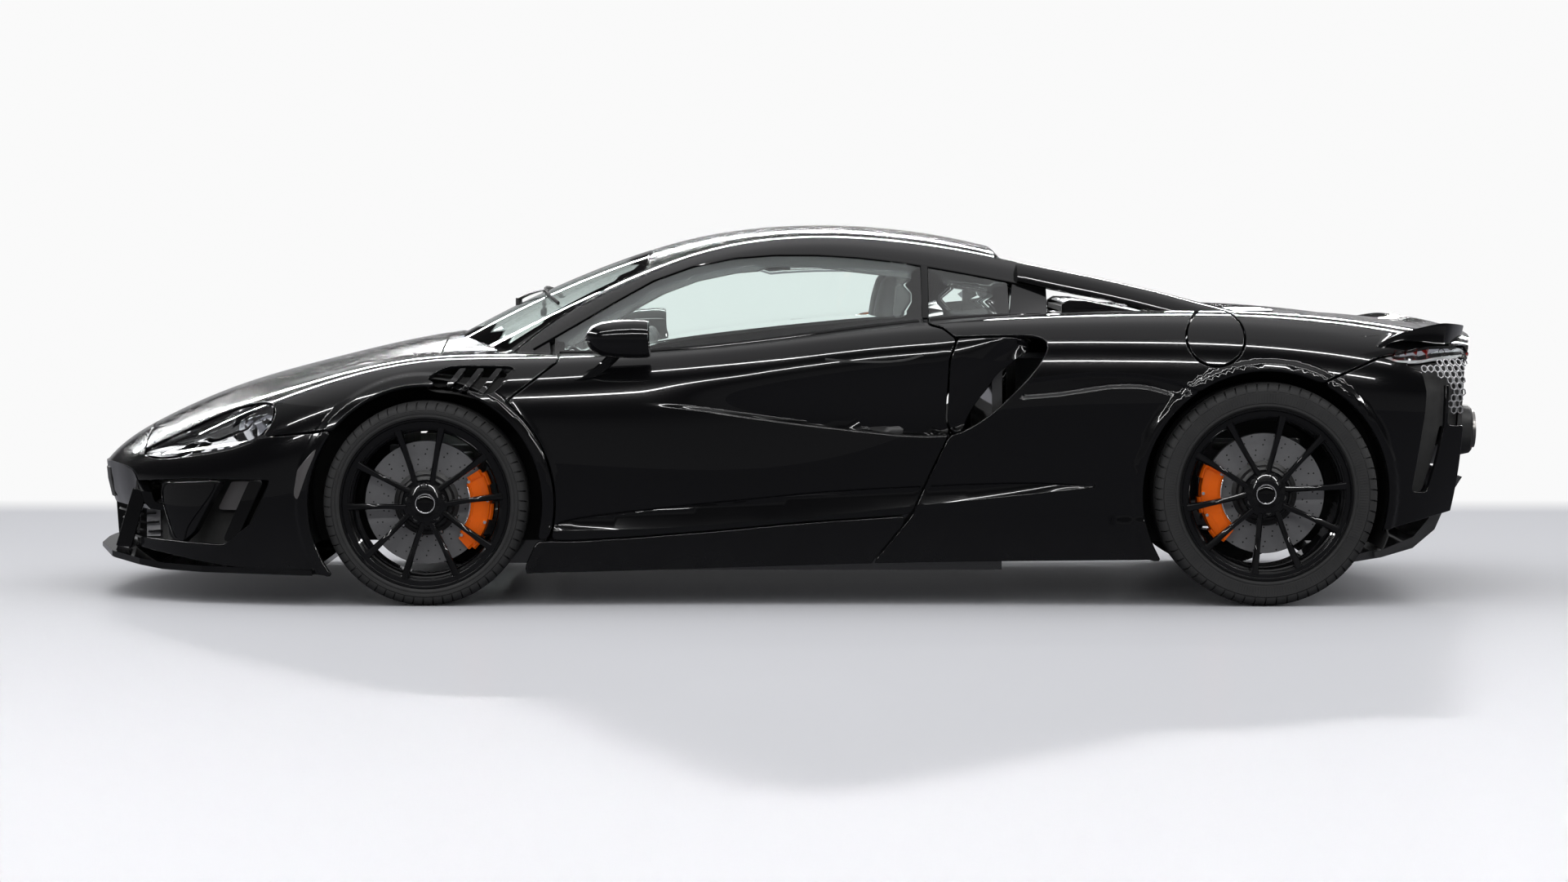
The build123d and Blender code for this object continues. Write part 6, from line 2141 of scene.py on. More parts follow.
    def disc(self, size: WheelSize) -> Shape:
        """A vented brake disc: two rings with vanes between them."""
        face = size.flange - DISC_BACK
        outer = turned([(101, face), (size.disc - 1, face), (size.disc, face - 1),
                        (size.disc, face - 10), (101, face - 10)], 128)
        vane = prism([(112, -2.5), (size.disc - 3, -2.5), (size.disc - 3, 2.5), (112, 2.5)],
                     face - DISC_THICK + 9.5, face - 9.5)
        return joined([outer, outer.moved((0, -DISC_THICK + 10, 0)),
                       self.repeat.ring(vane, 48, "disc")])

    def drillings(self, size: WheelSize) -> Shape:
        """The disc's holes, as shallow near-black cups in bowed rows that paint the shade inside
        the holes.
        """
        face = size.flange - DISC_BACK
        hole = turned([(0.01, face - 2), (0.01, face + 0.25), (2.7, face + 0.25),
                       (2.7, face - 2)], 10)
        rows = [(108 + 15 * k, 5.5 * k + (7.5 if k % 2 else 0.0)) for k in range(6)]
        return joined([self.repeat.ring(hole, 16, "void", radius, first)
                       for radius, first in rows if radius < size.disc - 6])

    def hat(self, size: WheelSize) -> Shape:
        """The dark hat that carries the disc, scalloped between its pins."""
        f, face = size.flange, size.flange - DISC_BACK
        hat = turned([(37, f - 53), (37, f - 45.4), (78, f - 45.4), (84, f - 49), (90, face + 9),
                      (100, face + 4), (103, face + 2), (103, face - 8), (92, face - 12),
                      (86, face - 12), (80, f - 53)], 96)
        ear = prism([(98, -9), (110, -6), (110, 6), (98, 9)], face - 2, face + 3.2)
        return joined([hat, self.repeat.ring(ear, 10, "trim", 0.0, 8)])

    def bobbins(self, size: WheelSize) -> Shape:
        """The bright pins between hat and disc."""
        face = size.flange - DISC_BACK
        pin = turned([(0.01, face), (0.01, face + 7), (3.6, face + 7), (5.2, face + 5.4),
                      (5.2, face)], 14)
        return self.repeat.ring(pin, 10, "steel", 103.0, 8)

    @staticmethod
    def caliper(size: WheelSize) -> tuple[Shape, Shape, Shape]:
        """A caliper that bridges the disc, its pins and its pads, with no lettering."""
        face = size.flange - DISC_BACK
        middle = math.radians(size.caliper_angle)
        top, back = face + 31.5, face - DISC_THICK

        def block(first: float, last: float, outline: Spots, count: int = 9) -> Shape:
            """An arc of the outline about the axle, between two angles in degrees."""
            turns = middle + np.radians(np.linspace(first, last, count))
            return facing_out(lofted(np.array([[(r * math.cos(t), y, r * math.sin(t))
                                                for r, y in outline] for t in turns])))
        shapes = [block(-33, 33, [(140, face + 9), (140, top - 9), (146, top - 3), (160, top - 1),
                                  (186, top - 1), (200, top - 8), (203, top - 20),
                                  (203, face + 9)]),
                  block(-33, 33, [(140, back - 9), (140, back - 30), (203, back - 30),
                                  (203, back - 9)])]
        for first, last in ((-36, -24), (-7, 7), (24, 36)):
            shapes.append(block(first, last, [(198, back - 29), (198, top - 13), (206, top - 13),
                                              (212.5, top - 20), (212.5, back - 29)], 5))
        for first, last in ((-29, -13), (-8, 8), (13, 29)):
            shapes.append(block(first, last, [(146, top - 6), (150, top - 0.6), (158, top),
                                              (176, top), (184, top - 1.2), (190, top - 6)], 6))
        for turn in (-36, 36):
            shapes.append(block(turn - 4, turn + 4, [(150, face + 9), (150, top - 16),
                                                     (158, top - 11), (192, top - 11),
                                                     (200, top - 17), (200, face + 9)], 4))
        pins = [tube(np.array([(r * math.cos(t), face + 14, r * math.sin(t)),
                               (r * math.cos(t), top + 0.4, r * math.sin(t))]), 5.0, 12)
                for r, t in ((150, middle - 0.60), (150, middle + 0.60), (194, middle - 0.18),
                             (194, middle + 0.18))]
        pipe = flowing([(138 * math.cos(middle + t), top - 8 - 5 * abs(t),
                         138 * math.sin(middle + t)) for t in np.linspace(-0.5, 0.5, 7)], 6)
        pins.append(tube(pipe, 2.6, 8))
        pads = [block(-24, 24, [(134, y), (134, y + 7.5), (190, y + 7.5), (190, y)], 7)
                for y in (face + 0.8, back - 8.3)]
        return joined(shapes), joined(pins), joined(pads)


# ---------------------------------------------------------------- rear
PIPE_Y = 120.0
PIPE_Z = 520.0
CELL_WIDE, CELL_TALL = 27.0, 23.0  # the pitch of the tail mesh
DECK_LEVEL = 850.0  # the height taken where the plan lies outside the body


@dataclass
class Rear:
    """The spoiler, the tail panel with its mesh, the exhaust, the deck and its vents."""

    details: Details

    def __post_init__(self) -> None:
        """Keeps the shop and the shell at hand."""
        self.shell, self.shop = self.details.shell, self.details.shop
        self.repeat = self.details.repeat
        self.plain = Skin(BODY_RIBS, 1.0, 1.0)

    def build(self) -> None:
        """Makes every piece of the rear."""
        self.spoiler()
        self.tail_panel()
        self.corners()
        self.exhaust()
        self.deck()

    def deck_height(self, x: float, y: float) -> float:
        """The body's height over a point of the plan."""
        above = Vector((x, max(abs(y), 0.5), BEYOND))
        spot = self.details.tree.ray_cast(above, Vector((0, 0, -1)))[0]
        return float(spot[2]) if spot is not None else DECK_LEVEL

    def spoiler(self) -> None:
        """The upswept lip across the tail, its ends running down the shoulders."""
        # inner edge in plan, then the lip's upper and lower edges, from the side to the middle
        stations = [((1800, 848), (1812, 862, 808), (1812, 862, 800)),
                    ((1828, 838), (1846, 864, 816), (1848, 864, 802)),
                    ((1870, 812), (1898, 852, 848), (1898, 854, 828)),
                    ((1915, 780), (1963, 834, 868), (1960, 838, 832)),
                    ((1965, 735), (2056, 792, 886), (2046, 798, 822)),
                    ((2000, 672), (2105, 738, 884), (2094, 748, 820)),
                    ((2035, 560), (2158, 590, 876), (2150, 598, 822)),
                    ((2055, 400), (2186, 400, 869), (2180, 404, 822)),
                    ((2065, 200), (2200, 200, 863), (2196, 200, 820)),
                    ((2070, 0), (2204, 0, 861), (2200, 0, 820))]
        rows = flowing([(*inner, *high, *low) for inner, high, low in stations], 28)
        rings = []
        for row in rows:
            inner, high, low = row[:2], row[2:5], row[5:8]
            foot = np.array([*inner, self.deck_height(*inner) + 0.5])
            rise = [foot * (1 - t) + high * t - np.array([0, 0, 9 * math.sin(math.pi * t)])
                    for t in (0, 0.25, 0.5, 0.75, 0.94)]
            ring = [*rise, high + [1.5, 0, -1], high + [1.5, 0, -5], low + [-3, 0, 3], low,
                    np.array([inner[0] + 30, inner[1] - 3, min(foot[2], low[2]) - 12])]
            rings.append(ring)
        half = np.array(rings)
        other = half[:-1][::-1] * MIRROR
        self.shop.fit(facing_out(lofted(np.vstack([half, other]))), "tail_lip", "root", "paint",
                      sharp=38)

    def tail_point(self, share: float, v: float) -> Array:
        """A point of the tail's upright panel, across by share and down by v."""
        edge = self.plain.base(np.array([[1.0, v]]))[0]
        return np.array([edge[0] + 50 * (1 - share ** 2), share * (edge[1] - 14), edge[2]])

    def tail_panel(self) -> None:
        """The panel between the two sides: mesh above, a bare plate and a light bar."""
        shares = np.linspace(-1, 1, 33)
        levels = np.linspace(0.47, 0.9, 17)
        grid = np.array([[self.tail_point(t, v) for t in shares] for v in levels])

        def sheet(first: int, last: int, back: float, thick: float) -> Shape:
            """A sheet set back from the panel, between two of its levels."""
            front = grid[first:last] - [back, 0, 0]
            rings = np.array([np.vstack([row, (row - [thick, 0, 0])[::-1]]) for row in front])
            return facing_out(lofted(rings))
        self.shop.fit(sheet(0, 3, 2, 12), "tail_upper", "root", "gloss_trim")
        # A near-black sheet set back behind the mesh paints the shade inside the tail's opening.
        self.shop.fit(sheet(2, 11, 26, 5), "tail_void", "root", "void", "trim")
        self.shop.fit(sheet(10, 17, 2, 14), "tail_lower", "root", "trim", bevel=2.0)
        places, turns = [], []
        for k in range(14):
            z = 782 - CELL_TALL * k
            for n in range(-30, 31):
                y = CELL_WIDE * (n + (0.5 if k % 2 else 0.0))
                v = float(np.interp(-z, -grid[:, 16, 2], levels))
                edge = self.tail_point(1.0, v)
                behind_plate = abs(y) < 275 and z < 705
                if abs(y) > edge[1] - 16 or z < 500 or behind_plate:
                    continue
                share = y / edge[1]
                places.append(self.tail_point(share, v) - [8, 0, 0])
                turns.append((0, 0, math.atan2(100 * share, edge[1])))
        self.shop.fit(self.repeat.marks(self.hexagon(), np.array(places), np.array(turns), "trim"),
                      "tail_mesh", "root", "trim", sharp=60)
        bar = np.array([self.tail_point(t, 0.505) + [2, 0, 0]
                        for t in np.linspace(-0.97, 0.97, 40)])
        self.shop.fit(tube(bar, 5.0, 10, 1.5), "tail_light_bar", "root", "red_lamp", "lamp")
        holder = prism([(-262, 606), (-262, 728), (262, 728), (262, 606)], 2176, 2198, 0)
        self.shop.fit(holder, "rear_plate_holder", "root", "trim", bevel=5.0)
        plate = prism([(-255, 612), (-255, 722), (255, 722), (255, 612)], 2198, 2202, 0)
        self.shop.fit(plate, "rear_plate", "root", "plate", "trim", bevel=1.2)
        screw = turned([(0.01, 0), (0.01, 3), (5, 3), (6, 0)], 16)
        heads = [Shape(screw.points[:, [1, 0, 2]] + [2201.5, sign * 150, 667],
                       [face[::-1] for face in screw.faces]) for sign in (-1, 1)]
        self.shop.fit(joined(heads), "rear_plate_screws", "root", "steel")

    @staticmethod
    def hexagon() -> Shape:
        """One open cell of the mesh, facing +X."""
        turns = np.radians(np.arange(0, 360, 60) + 30)
        rings = []
        for turn in turns:
            c, s = math.cos(turn), math.sin(turn)
            rings.append([(0, 15.6 * c, 15.6 * s), (5, 15.2 * c, 15.2 * s), (5, 12.6 * c, 12.6 * s),
                          (0, 12.2 * c, 12.2 * s)])
        rows = np.array(rings)
        size = 4
        faces = [(i * size + j, i * size + (j + 1) % size, (i + 1) % 6 * size + (j + 1) % size,
                  (i + 1) % 6 * size + j) for i in range(6) for j in range(size)]
        return facing_out(Shape(rows.reshape(-1, 3), faces))

    def corners(self) -> None:
        """The mesh in the corner grilles, laid on the skin, and near-black backs of the openings
        that paint the shade inside them.
        """
        details = self.details
        grille, slot = side_area(TAIL_GRILLE, 500), side_area(TAIL_SLOT, 500)
        openings = lambda p: np.maximum(grille(p), slot(p))
        details.layer(openings, "corner_voids", "void", "trim", sink=34, wall=5, margin=-8)
        spots = []
        for k in range(9):
            for n in range(14):
                spots.append((1950 + 22 * (n + (0.5 if k % 2 else 0)), 764 - 19 * k))
        spots = np.array(spots)
        spots = spots[depth_in(TAIL_GRILLE, spots) > 3]
        points, normals = details.lay(spots, -9.0)
        turns = [Vector(n).to_track_quat("X", "Z").to_euler() for n in normals]
        cell = self.hexagon()
        cell = Shape(cell.points * [1.0, 0.84, 0.84], cell.faces)
        mesh = self.repeat.marks(cell, points, np.array([tuple(t) for t in turns]), "trim")
        details.both([mesh], "corner_mesh", "root", "cast", sharp=60)
        oval, oval_normals = details.lay([(2066 + 10 * math.cos(t), 792 + 12 * math.sin(t))
                                          for t in np.linspace(0, 2 * math.pi, 20)], 0.3)
        if len(oval):
            details.both([strip(oval, oval_normals, 3.0, 1.5)], "corner_ovals", "root",
                         "gloss_trim")

    def exhaust(self) -> None:
        """The rounded surround with its two pipes."""
        def frame(x: float, half: float, low: float, high: float, round_by: float) -> Spots:
            """A ring with rounded corners at one place along the car."""
            ring = []
            for y, z, start in ((half, high, 0), (-half, high, 90), (-half, low, 180),
                                (half, low, 270)):
                cy, cz = y - math.copysign(round_by, y), z + (-round_by if z == high else round_by)
                ring += [(x, cy + round_by * math.cos(math.radians(a)),
                          cz + round_by * math.sin(math.radians(a)))
                         for a in range(start, start + 91, 15)]
            return ring
        rings = [frame(2080, 232, 436, 604, 60), frame(2215, 232, 436, 604, 60),
                 frame(2246, 226, 442, 598, 58), frame(2254, 218, 450, 590, 54),
                 frame(2250, 208, 458, 582, 50), frame(2190, 204, 462, 578, 48)]
        surround = lofted(np.array(rings), capped=False)
        back = [tuple(range(len(rings[0]))), tuple(5 * len(rings[0]) + k
                                                   for k in range(len(rings[0])))]
        shape = facing_out(Shape(surround.points, surround.faces + [back[0][::-1], back[1]]))
        self.shop.fit(shape, "exhaust_surround", "root", "trim", sharp=30)
        profile = [(50, -60), (50, 62), (52, 67), (56, 69), (60, 66), (61.5, 58), (61.5, -60)]
        pipe = turned(profile, 72)
        pipes = []
        for sign in (-1, 1):
            points = pipe.points[:, [1, 0, 2]] + [2198, sign * PIPE_Y, PIPE_Z]
            pipes.append(facing_out(Shape(points, pipe.faces)))
        self.shop.fit(joined(pipes), "tail_pipes", "root", "exhaust", "steel", sharp=40)
        # A near-black disc down each pipe paints the shade inside it.
        hollow = turned([(0.01, 0), (0.01, 4), (49, 4), (49, 0)], 48)
        plugs = [facing_out(Shape(hollow.points[:, [1, 0, 2]] + [2170, sign * PIPE_Y, PIPE_Z],
                                  hollow.faces)) for sign in (-1, 1)]
        self.shop.fit(joined(plugs), "pipe_depths", "root", "void", "trim")

    def deck(self) -> None:
        """The cover behind the cabin, with its cheeks, pale slats over a near-black floor that
        paints shade, and ribs.
        """
        cover = self.shell.within(self.shell.deck_area)
        shape = self.shell.maker.cut(cover, (), 3.0, 10.0, 14.0, mirror=True)
        self.shop.fit(shape, "deck_cover", "root", "gloss_trim", replaces=("engine_cover",),
                      sharp=None)
        outline = [(884, 912), (884, 940), (905, 952), (960, 950), (1130, 916), (1172, 906)]
        cheek = prism([*outline, (1172, 900), (884, 900)], 394, 410)
        self.details.both([cheek], "deck_cheeks", "root", "gloss_trim", bevel=4.0)
        slat = prism([(-9, -2), (-7, 2), (9, 5), (11, 2)], -394, 394)
        places = [(x, 0, float(np.interp(x, (905, 960, 1130), (942, 941, 910))))
                  for x in range(908, 1160, 26)]
        slats = self.repeat.marks(slat, np.array(places, float),
                                  np.zeros((len(places), 3)), "light")
        self.shop.fit(slats, "deck_slats", "root", "light", "trim")
        # A near-black panel under the slats paints the shade inside the vent.
        panel = prism([(888, 914), (888, 930), (960, 930), (1160, 904), (1160, 900), (960, 914)],
                      -392, 392)
        self.shop.fit(panel, "deck_floor", "root", "void", "trim")
        ribs = [tube(flowing([(1200, y, 909), (1400, y * 0.96, 911), (1590, y * 0.8, 913)], 30),
                     5.0, 8, 0.7) for y in (80, 170, 260)]
        self.details.both(ribs, "deck_ribs", "root", "gloss_trim")


# ---------------------------------------------------------------- cabin
FLAT_FROM, FLAT_SHARE = -146.0, 0.45  # where the wheel's foot flattens, and what is left of it


@dataclass
class Pad:
    """A crowned cushion, closed all round, on a line in the seat's side view.

    Attributes:
        line: Stations of its back: (x, z, half width, thickness).
        middle: Its middle across the car.
        channels: Places of its sewn channels, as shares of its length.
        soft: The length over which its ends round down.
    """

    line: Spots
    middle: float
    channels: tuple[float, ...] = ()
    soft: float = 34.0

    def rings(self) -> Array:
        """Its rings of points, from one end to the other."""
        rows = evenly(flowing(self.line, 6.0), 5.5)
        run = np.concatenate([[0], np.cumsum(np.linalg.norm(np.diff(rows[:, :2], axis=0),
                                                            axis=1))])
        ahead = np.gradient(rows[:, :2], axis=0)
        ahead /= np.linalg.norm(ahead, axis=1, keepdims=True)
        out = np.stack([-ahead[:, 1], ahead[:, 0]], 1)
        turns = np.linspace(0, 2 * math.pi, 44, endpoint=False)
        c, s = np.cos(turns), np.sin(turns)
        across = np.sign(c) * np.abs(c) ** 0.62
        above = np.where(s > 0, np.abs(s) ** 0.75, -0.28 * np.abs(s) ** 0.9)
        rings = []
        for row, away, place in zip(rows, out, run):
            share = place / run[-1]
            near = min(1.0, min(place, run[-1] - place) / self.soft)
            rounded = math.sqrt(max(0.0, 1 - (1 - near) ** 2))
            half = row[2] * (1 - 0.04 * math.sin(math.pi * share)) - 9 * (1 - rounded)
            sewn = sum(math.exp(-((share - k) * run[-1] / 5.0) ** 2) for k in self.channels)
            swell = 1 + 0.05 * math.sin(math.pi * share)
            thick = row[3] * swell * max(rounded, 0.04)
            rise = thick * above - 8.0 * sewn * rounded * np.maximum(above, 0) \
                * (1 - np.abs(across) ** 5)
            rings.append(np.stack([row[0] + away[0] * rise, self.middle + half * across,
                                   row[1] + away[1] * rise], 1))
        return np.array(rings)

    def shape(self) -> Shape:
        """The cushion."""
        return facing_out(lofted(self.rings()))

    def seam(self, place: int) -> Array:
        """A line along its length, at one point of its rings."""
        return self.rings()[5:-5, place]


@dataclass
class Cabin:
    """Seats, belts, dashboard, console, steering wheel and the inner mirror."""

    shop: Workshop
    repeat: Repeater
    seat_middle: float = 370.0
    hub: tuple[float, float, float] = (-392.0, -370.0, 690.0)
    rake: float = 20.0

    def build(self) -> None:
        """Makes every piece of the cabin."""
        for side in Side:
            self.seat(side)
        self.belts()
        self.dashboard()
        self.console()
        self.steering()
        self.inner_mirror()

    def stitches(self, lines: Sequence[Array], name: str) -> None:
        """Short threads along lines."""
        thread = turned([(0.01, -2.3), (0.9, -1.9), (0.9, 1.9), (0.01, 2.3)], 5)
        places, turns = [], []
        for line in lines:
            run = evenly(line, 7.0)
            ahead = np.gradient(run, axis=0)
            places.append(run)
            turns += [tuple(Vector(a).to_track_quat("Y", "Z").to_euler()) for a in ahead]
        made = self.repeat.marks(thread, np.vstack(places), np.array(turns), "stitch")
        self.shop.fit(made, name, "root", "stitch", "leather")

    def seat(self, side: Side) -> None:
        """One seat: a shell with wings, and seven cushions."""
        shop, word, middle = self.shop, side.word, self.seat_middle
        tub = [(-292, 150), (-298, 316), (-285, 326), (-60, 288), (60, 258), (120, 264), (178, 318),
               (224, 442), (266, 600), (304, 740), (322, 802), (344, 1036), (376, 1040), (396, 860),
               (300, 300), (250, 150)]
        wing = [(-270, 190), (-284, 352), (-150, 346), (40, 322), (118, 372), (176, 520),
                (234, 720), (270, 860), (350, 900), (384, 800), (300, 300), (250, 190)]
        shell = [prism(tub, middle - 205, middle + 205),
                 prism(wing, middle - 229, middle - 213), prism(wing, middle + 213, middle + 229)]
        shop.fit(joined([part.on(side) for part in shell]), f"seat_shell_{word}", "root", "carbon",
                 bevel=6.0, replaces=("seats",) if side is Side.LEFT else ())
        base = [(-284, 326), (-190, 314), (-60, 288), (50, 260), (112, 262)]
        back = [(180, 322), (224, 442), (268, 600), (300, 730)]
        sizes = {"base": (base, (44, 56, 52, 46, 34)), "back": (back, (36, 50, 46, 34))}
        pads: dict[str, tuple[Pad, str]] = {}
        for part, (line, thick) in sizes.items():
            channels = tuple(np.linspace(0.16, 0.84, 5 if part == "base" else 6))
            pads[f"{part}_insert"] = (Pad([(x, z, 116, t) for (x, z), t in zip(line, thick)],
                                          middle, channels), "suede")
            for word_of, offset in (("inner", -162), ("outer", 162)):
                pads[f"{part}_bolster_{word_of}"] = (
                    Pad([(x, z, 50, t * 1.55) for (x, z), t in zip(line, thick)],
                        middle + offset), "leather")
        head_rest = [(302, 738, 150, 40), (318, 830, 140, 50), (334, 940, 116, 52),
                     (346, 1034, 96, 40)]
        pads["head_rest"] = (Pad(head_rest, middle), "leather")
        for name, (pad, finish) in pads.items():
            piece = shop.fit(pad.shape().on(side), f"seat_{name}_{word}", "root", finish,
                             "leather", sharp=80)
        lines = []
        for name in ("base_bolster_inner", "base_bolster_outer", "back_bolster_inner",
                     "back_bolster_outer"):
            inward = 17 if name.endswith("outer") else 5
            lines.append(pads[name][0].seam(inward) * (MIRROR if side is Side.LEFT else 1))
        self.stitches(lines, f"seat_stitches_{word}")

    def belts(self) -> None:
        """The belts, run from the pillar to the floor, with their guides and tongues."""
        for side in Side:
            rows = flowing([(292, 486, 880), (240, 520, 868), (206, 556, 826), (190, 590, 700),
                            (196, 602, 480), (228, 604, 300), (242, 602, 190)], 10.0)
            facing = np.tile(np.array([-0.7, -0.7, 0.1]) / math.sqrt(0.99), (len(rows), 1))
            webbing = strip(rows, facing, 34.0, 1.8)
            self.shop.fit(webbing.on(side), f"belt_{side.word}", "root", "stitch", "leather")
            guide = prism([(282, 862), (286, 896), (326, 900), (332, 866)], 464, 508)
            tongue = prism([(200, 640), (200, 690), (236, 690), (236, 640)], 594, 608)
            self.shop.fit(joined([guide.on(side), tongue.on(side)]), f"belt_guide_{side.word}",
                          "root", "trim", bevel=4.0)

    def dashboard(self) -> None:
        """A stitched top over a darker lower face, with vents, a hood and two screens."""
        def run(section: Spots, reach: float, drop: float, draw: float) -> Shape:
            """A bar of the section across the cabin, its ends drooped and drawn forward."""
            ring = flowing(section, 12.0, closed=True)
            rings = []
            for y in np.linspace(-reach, reach, 61):
                share = (y / reach) ** 2
                tip = 1 - 0.25 * share ** 12
                middle = ring.mean(axis=0)
                spots = middle + (ring - middle) * tip
                rings.append(np.stack([spots[:, 0] - draw * share, np.full(len(spots), y),
                                       spots[:, 1] - drop * share], 1))
            return facing_out(lofted(np.array(rings)))
        top = run([(-880, 690), (-884, 722), (-800, 752), (-720, 768), (-640, 764), (-580, 744),
                   (-562, 716), (-584, 694), (-700, 684)], 500, 12, 0)
        near = run([(-700, 694), (-700, 764), (-640, 762), (-590, 742), (-566, 714), (-590, 690)],
                   622, 18, 30)
        self.shop.fit(joined([top, near]), "dash_top", "root", "suede", "leather",
                      replaces=("dashboard",), sharp=70)
        lower = run([(-700, 548), (-712, 680), (-610, 684), (-578, 676), (-572, 610), (-620, 560)],
                    618, 6, 30)
        self.shop.fit(lower, "dash_lower", "root", "leather", sharp=70)
        blade = run([(-640, 684), (-640, 694), (-566, 694), (-560, 689), (-566, 684)], 612, 9, 30)
        self.shop.fit(blade, "dash_blade", "root", "gloss_trim", sharp=40)
        hood = prism([(-660, 764), (-640, 812), (-575, 818), (-560, 806), (-628, 798),
                      (-640, 764)], -500, -240)
        self.shop.fit(hood, "dial_hood", "root", "suede", "leather", bevel=5.0)
        screens = [prism([(-600, 748), (-606, 808), (-598, 809), (-592, 749)], -492, -248),
                   prism([(-566, 590), (-584, 768), (-574, 769), (-556, 591)], -72, 72)]
        self.shop.fit(joined(screens), "screens", "root", "gloss_trim", bevel=3.0)
        outlets = ((-560, 46), (-165, 62), (165, 62), (560, 46))
        shells, places = [], []
        for y, half in outlets:
            back = 30 * (y / 612) ** 2 + 12 * (y > 500 or y < -500)
            shells.append(prism([(-600 - back, 700), (-600 - back, 738), (-566 - back, 734),
                                 (-556 - back, 704)], y - half, y + half))
            places += [(-562 - back, y, 706 + 7 * k) for k in range(5)]
        # The outlet boxes are near-black, painting the shade inside the vents.
        self.shop.fit(joined(shells), "vent_boxes", "root", "void", "trim", bevel=2.0)
        slat = prism([(-5, -1), (-5, 1), (8, 1.6), (8, -0.6)], -42, 42)
        slats = self.repeat.marks(slat, np.array(places, float), np.zeros((len(places), 3)),
                                  "trim")
        self.shop.fit(slats, "vent_slats", "root", "trim")
        edge = np.array([(-545 - 30 * (y / 622) ** 2 - 18, y, 713 - 14 * (y / 622) ** 2)
                         for y in np.linspace(-600, 600, 160)])
        self.stitches([edge + [-9, 0, 26]], "dash_stitches")

    def console(self) -> None:
        """The raised middle between the seats, with its padded rest, a dial and a plate."""
        outline = [(-640, 400), (-575, 596), (-556, 600), (-452, 474), (-300, 432), (300, 424),
                   (470, 440), (470, 400)]
        self.shop.fit(prism(outline, -98, 98), "console", "root", "trim", bevel=14.0)
        rest = Pad([(-110, 426, 78, 30), (60, 424, 84, 34), (240, 424, 78, 30)], 0.0, (0.5,))
        piece = self.shop.fit(rest.shape(), "arm_rest", "root", "leather", sharp=80)
        knob = turned([(0.01, 0), (0.01, 20), (22, 20), (26, 17), (27, 0)], 48)
        points = knob.points[:, [0, 2, 1]] + [-230, 0, 428]
        self.shop.fit(facing_out(Shape(points, knob.faces)), "console_dial", "root", "steel")
        plate = prism([(-400, 459), (-330, 441), (-190, 434), (-190, 431), (-330, 438),
                       (-400, 456)], -70, 70)
        self.shop.fit(plate, "console_plate", "root", "gloss_trim")

    def placed(self, shape: Shape) -> Shape:
        """A shape made about the Y axis, its +Z up, set on the column's line."""
        turn = math.radians(self.rake)
        along = np.array([math.cos(turn), 0, math.sin(turn)])
        up = np.array([-math.sin(turn), 0, math.cos(turn)])
        points = np.array(self.hub) + shape.points[:, :1] * np.array([0, 1.0, 0]) \
            + shape.points[:, 1:2] * along + shape.points[:, 2:] * up
        return facing_out(Shape(points, shape.faces))

    @staticmethod
    def flatten(points: Array) -> None:
        """Draws the steering wheel's foot in, in place."""
        low = points[:, 2] < FLAT_FROM
        points[low, 2] = FLAT_FROM + (points[low, 2] - FLAT_FROM) * FLAT_SHARE

    def steering(self) -> None:
        """The rim, its spokes and pad, the paddles and the column's shroud."""
        section = [(172 + 15 * math.cos(a), 17 * math.sin(a))
                   for a in np.linspace(0, 2 * math.pi, 20, endpoint=False)]
        rim = turned(section, 120)
        self.flatten(rim.points)
        self.shop.fit(self.placed(rim), "wheel_rim_grip", "steering_wheel", "suede", "leather",
                      ("steering_wheel",), sharp=80)
        arm = [(-160, 16), (-160, -12), (-96, -30), (-40, -36), (-40, 26), (-96, 24)]
        spokes = [prism(arm, -8, 6), prism([(-x, z) for x, z in arm], -8, 6),
                  prism([(-15, -152), (15, -152), (30, -44), (-30, -44)], -8, 6)]
        self.shop.fit(self.placed(joined(spokes)), "wheel_spokes", "steering_wheel", "carbon",
                      bevel=3.0)
        pad = turned([(0.01, -14), (0.01, 24), (24, 23), (42, 18), (54, 8), (57, -4), (54, -14)],
                     72)
        self.shop.fit(self.placed(pad), "wheel_pad", "steering_wheel", "leather", sharp=60)
        paddle = [(-128, -20), (-118, 62), (-84, 70), (-70, 40), (-74, -24)]
        blades = [prism(paddle, -34, -30), prism([(-x, z) for x, z in paddle], -34, -30)]
        self.shop.fit(self.placed(joined(blades)), "paddles", "steering_wheel", "carbon",
                      bevel=1.5)
        column = turned([(0.01, -300), (0.01, -16), (34, -16), (44, -30), (46, -290)], 48)
        self.shop.fit(self.placed(column), "column_shroud", "steering_wheel", "trim")
        thread = turned([(0.01, -3.4), (0.9, -2.6), (0.9, 2.6), (0.01, 3.4)], 5)
        slanted = Shape(thread.points @ np.array([[1, 0, 0], [0, 0.94, 0.34], [0, -0.34, 0.94]])
                        + [156.5, 0, 0], thread.faces)
        sewn = self.repeat.ring(slanted, 110, "stitch")
        self.flatten(sewn.points)
        self.shop.fit(self.placed(sewn), "rim_stitches", "steering_wheel",
                      "stitch", "leather")

    def inner_mirror(self) -> None:
        """The mirror at the top of the screen, on its short stem."""
        ring = [(-14, -24), (-8, -27), (4, -24), (8, 0), (4, 24), (-8, 27), (-14, 24)]
        rings = []
        for y in np.linspace(-108, 108, 33):
            size = (1 - (abs(y) / 112) ** 6) ** 0.5
            rings.append([(-338 + x, y, 1088 + z * size) for x, z in ring])
        self.shop.fit(facing_out(lofted(np.array(rings))), "inner_mirror", "root", "gloss_trim",
                      sharp=50)
        stem = tube(flowing([(-352, 0, 1090), (-372, 0, 1104), (-392, 0, 1112)], 5.0), 7.0, 12)
        self.shop.fit(stem, "inner_mirror_stem", "root", "trim")


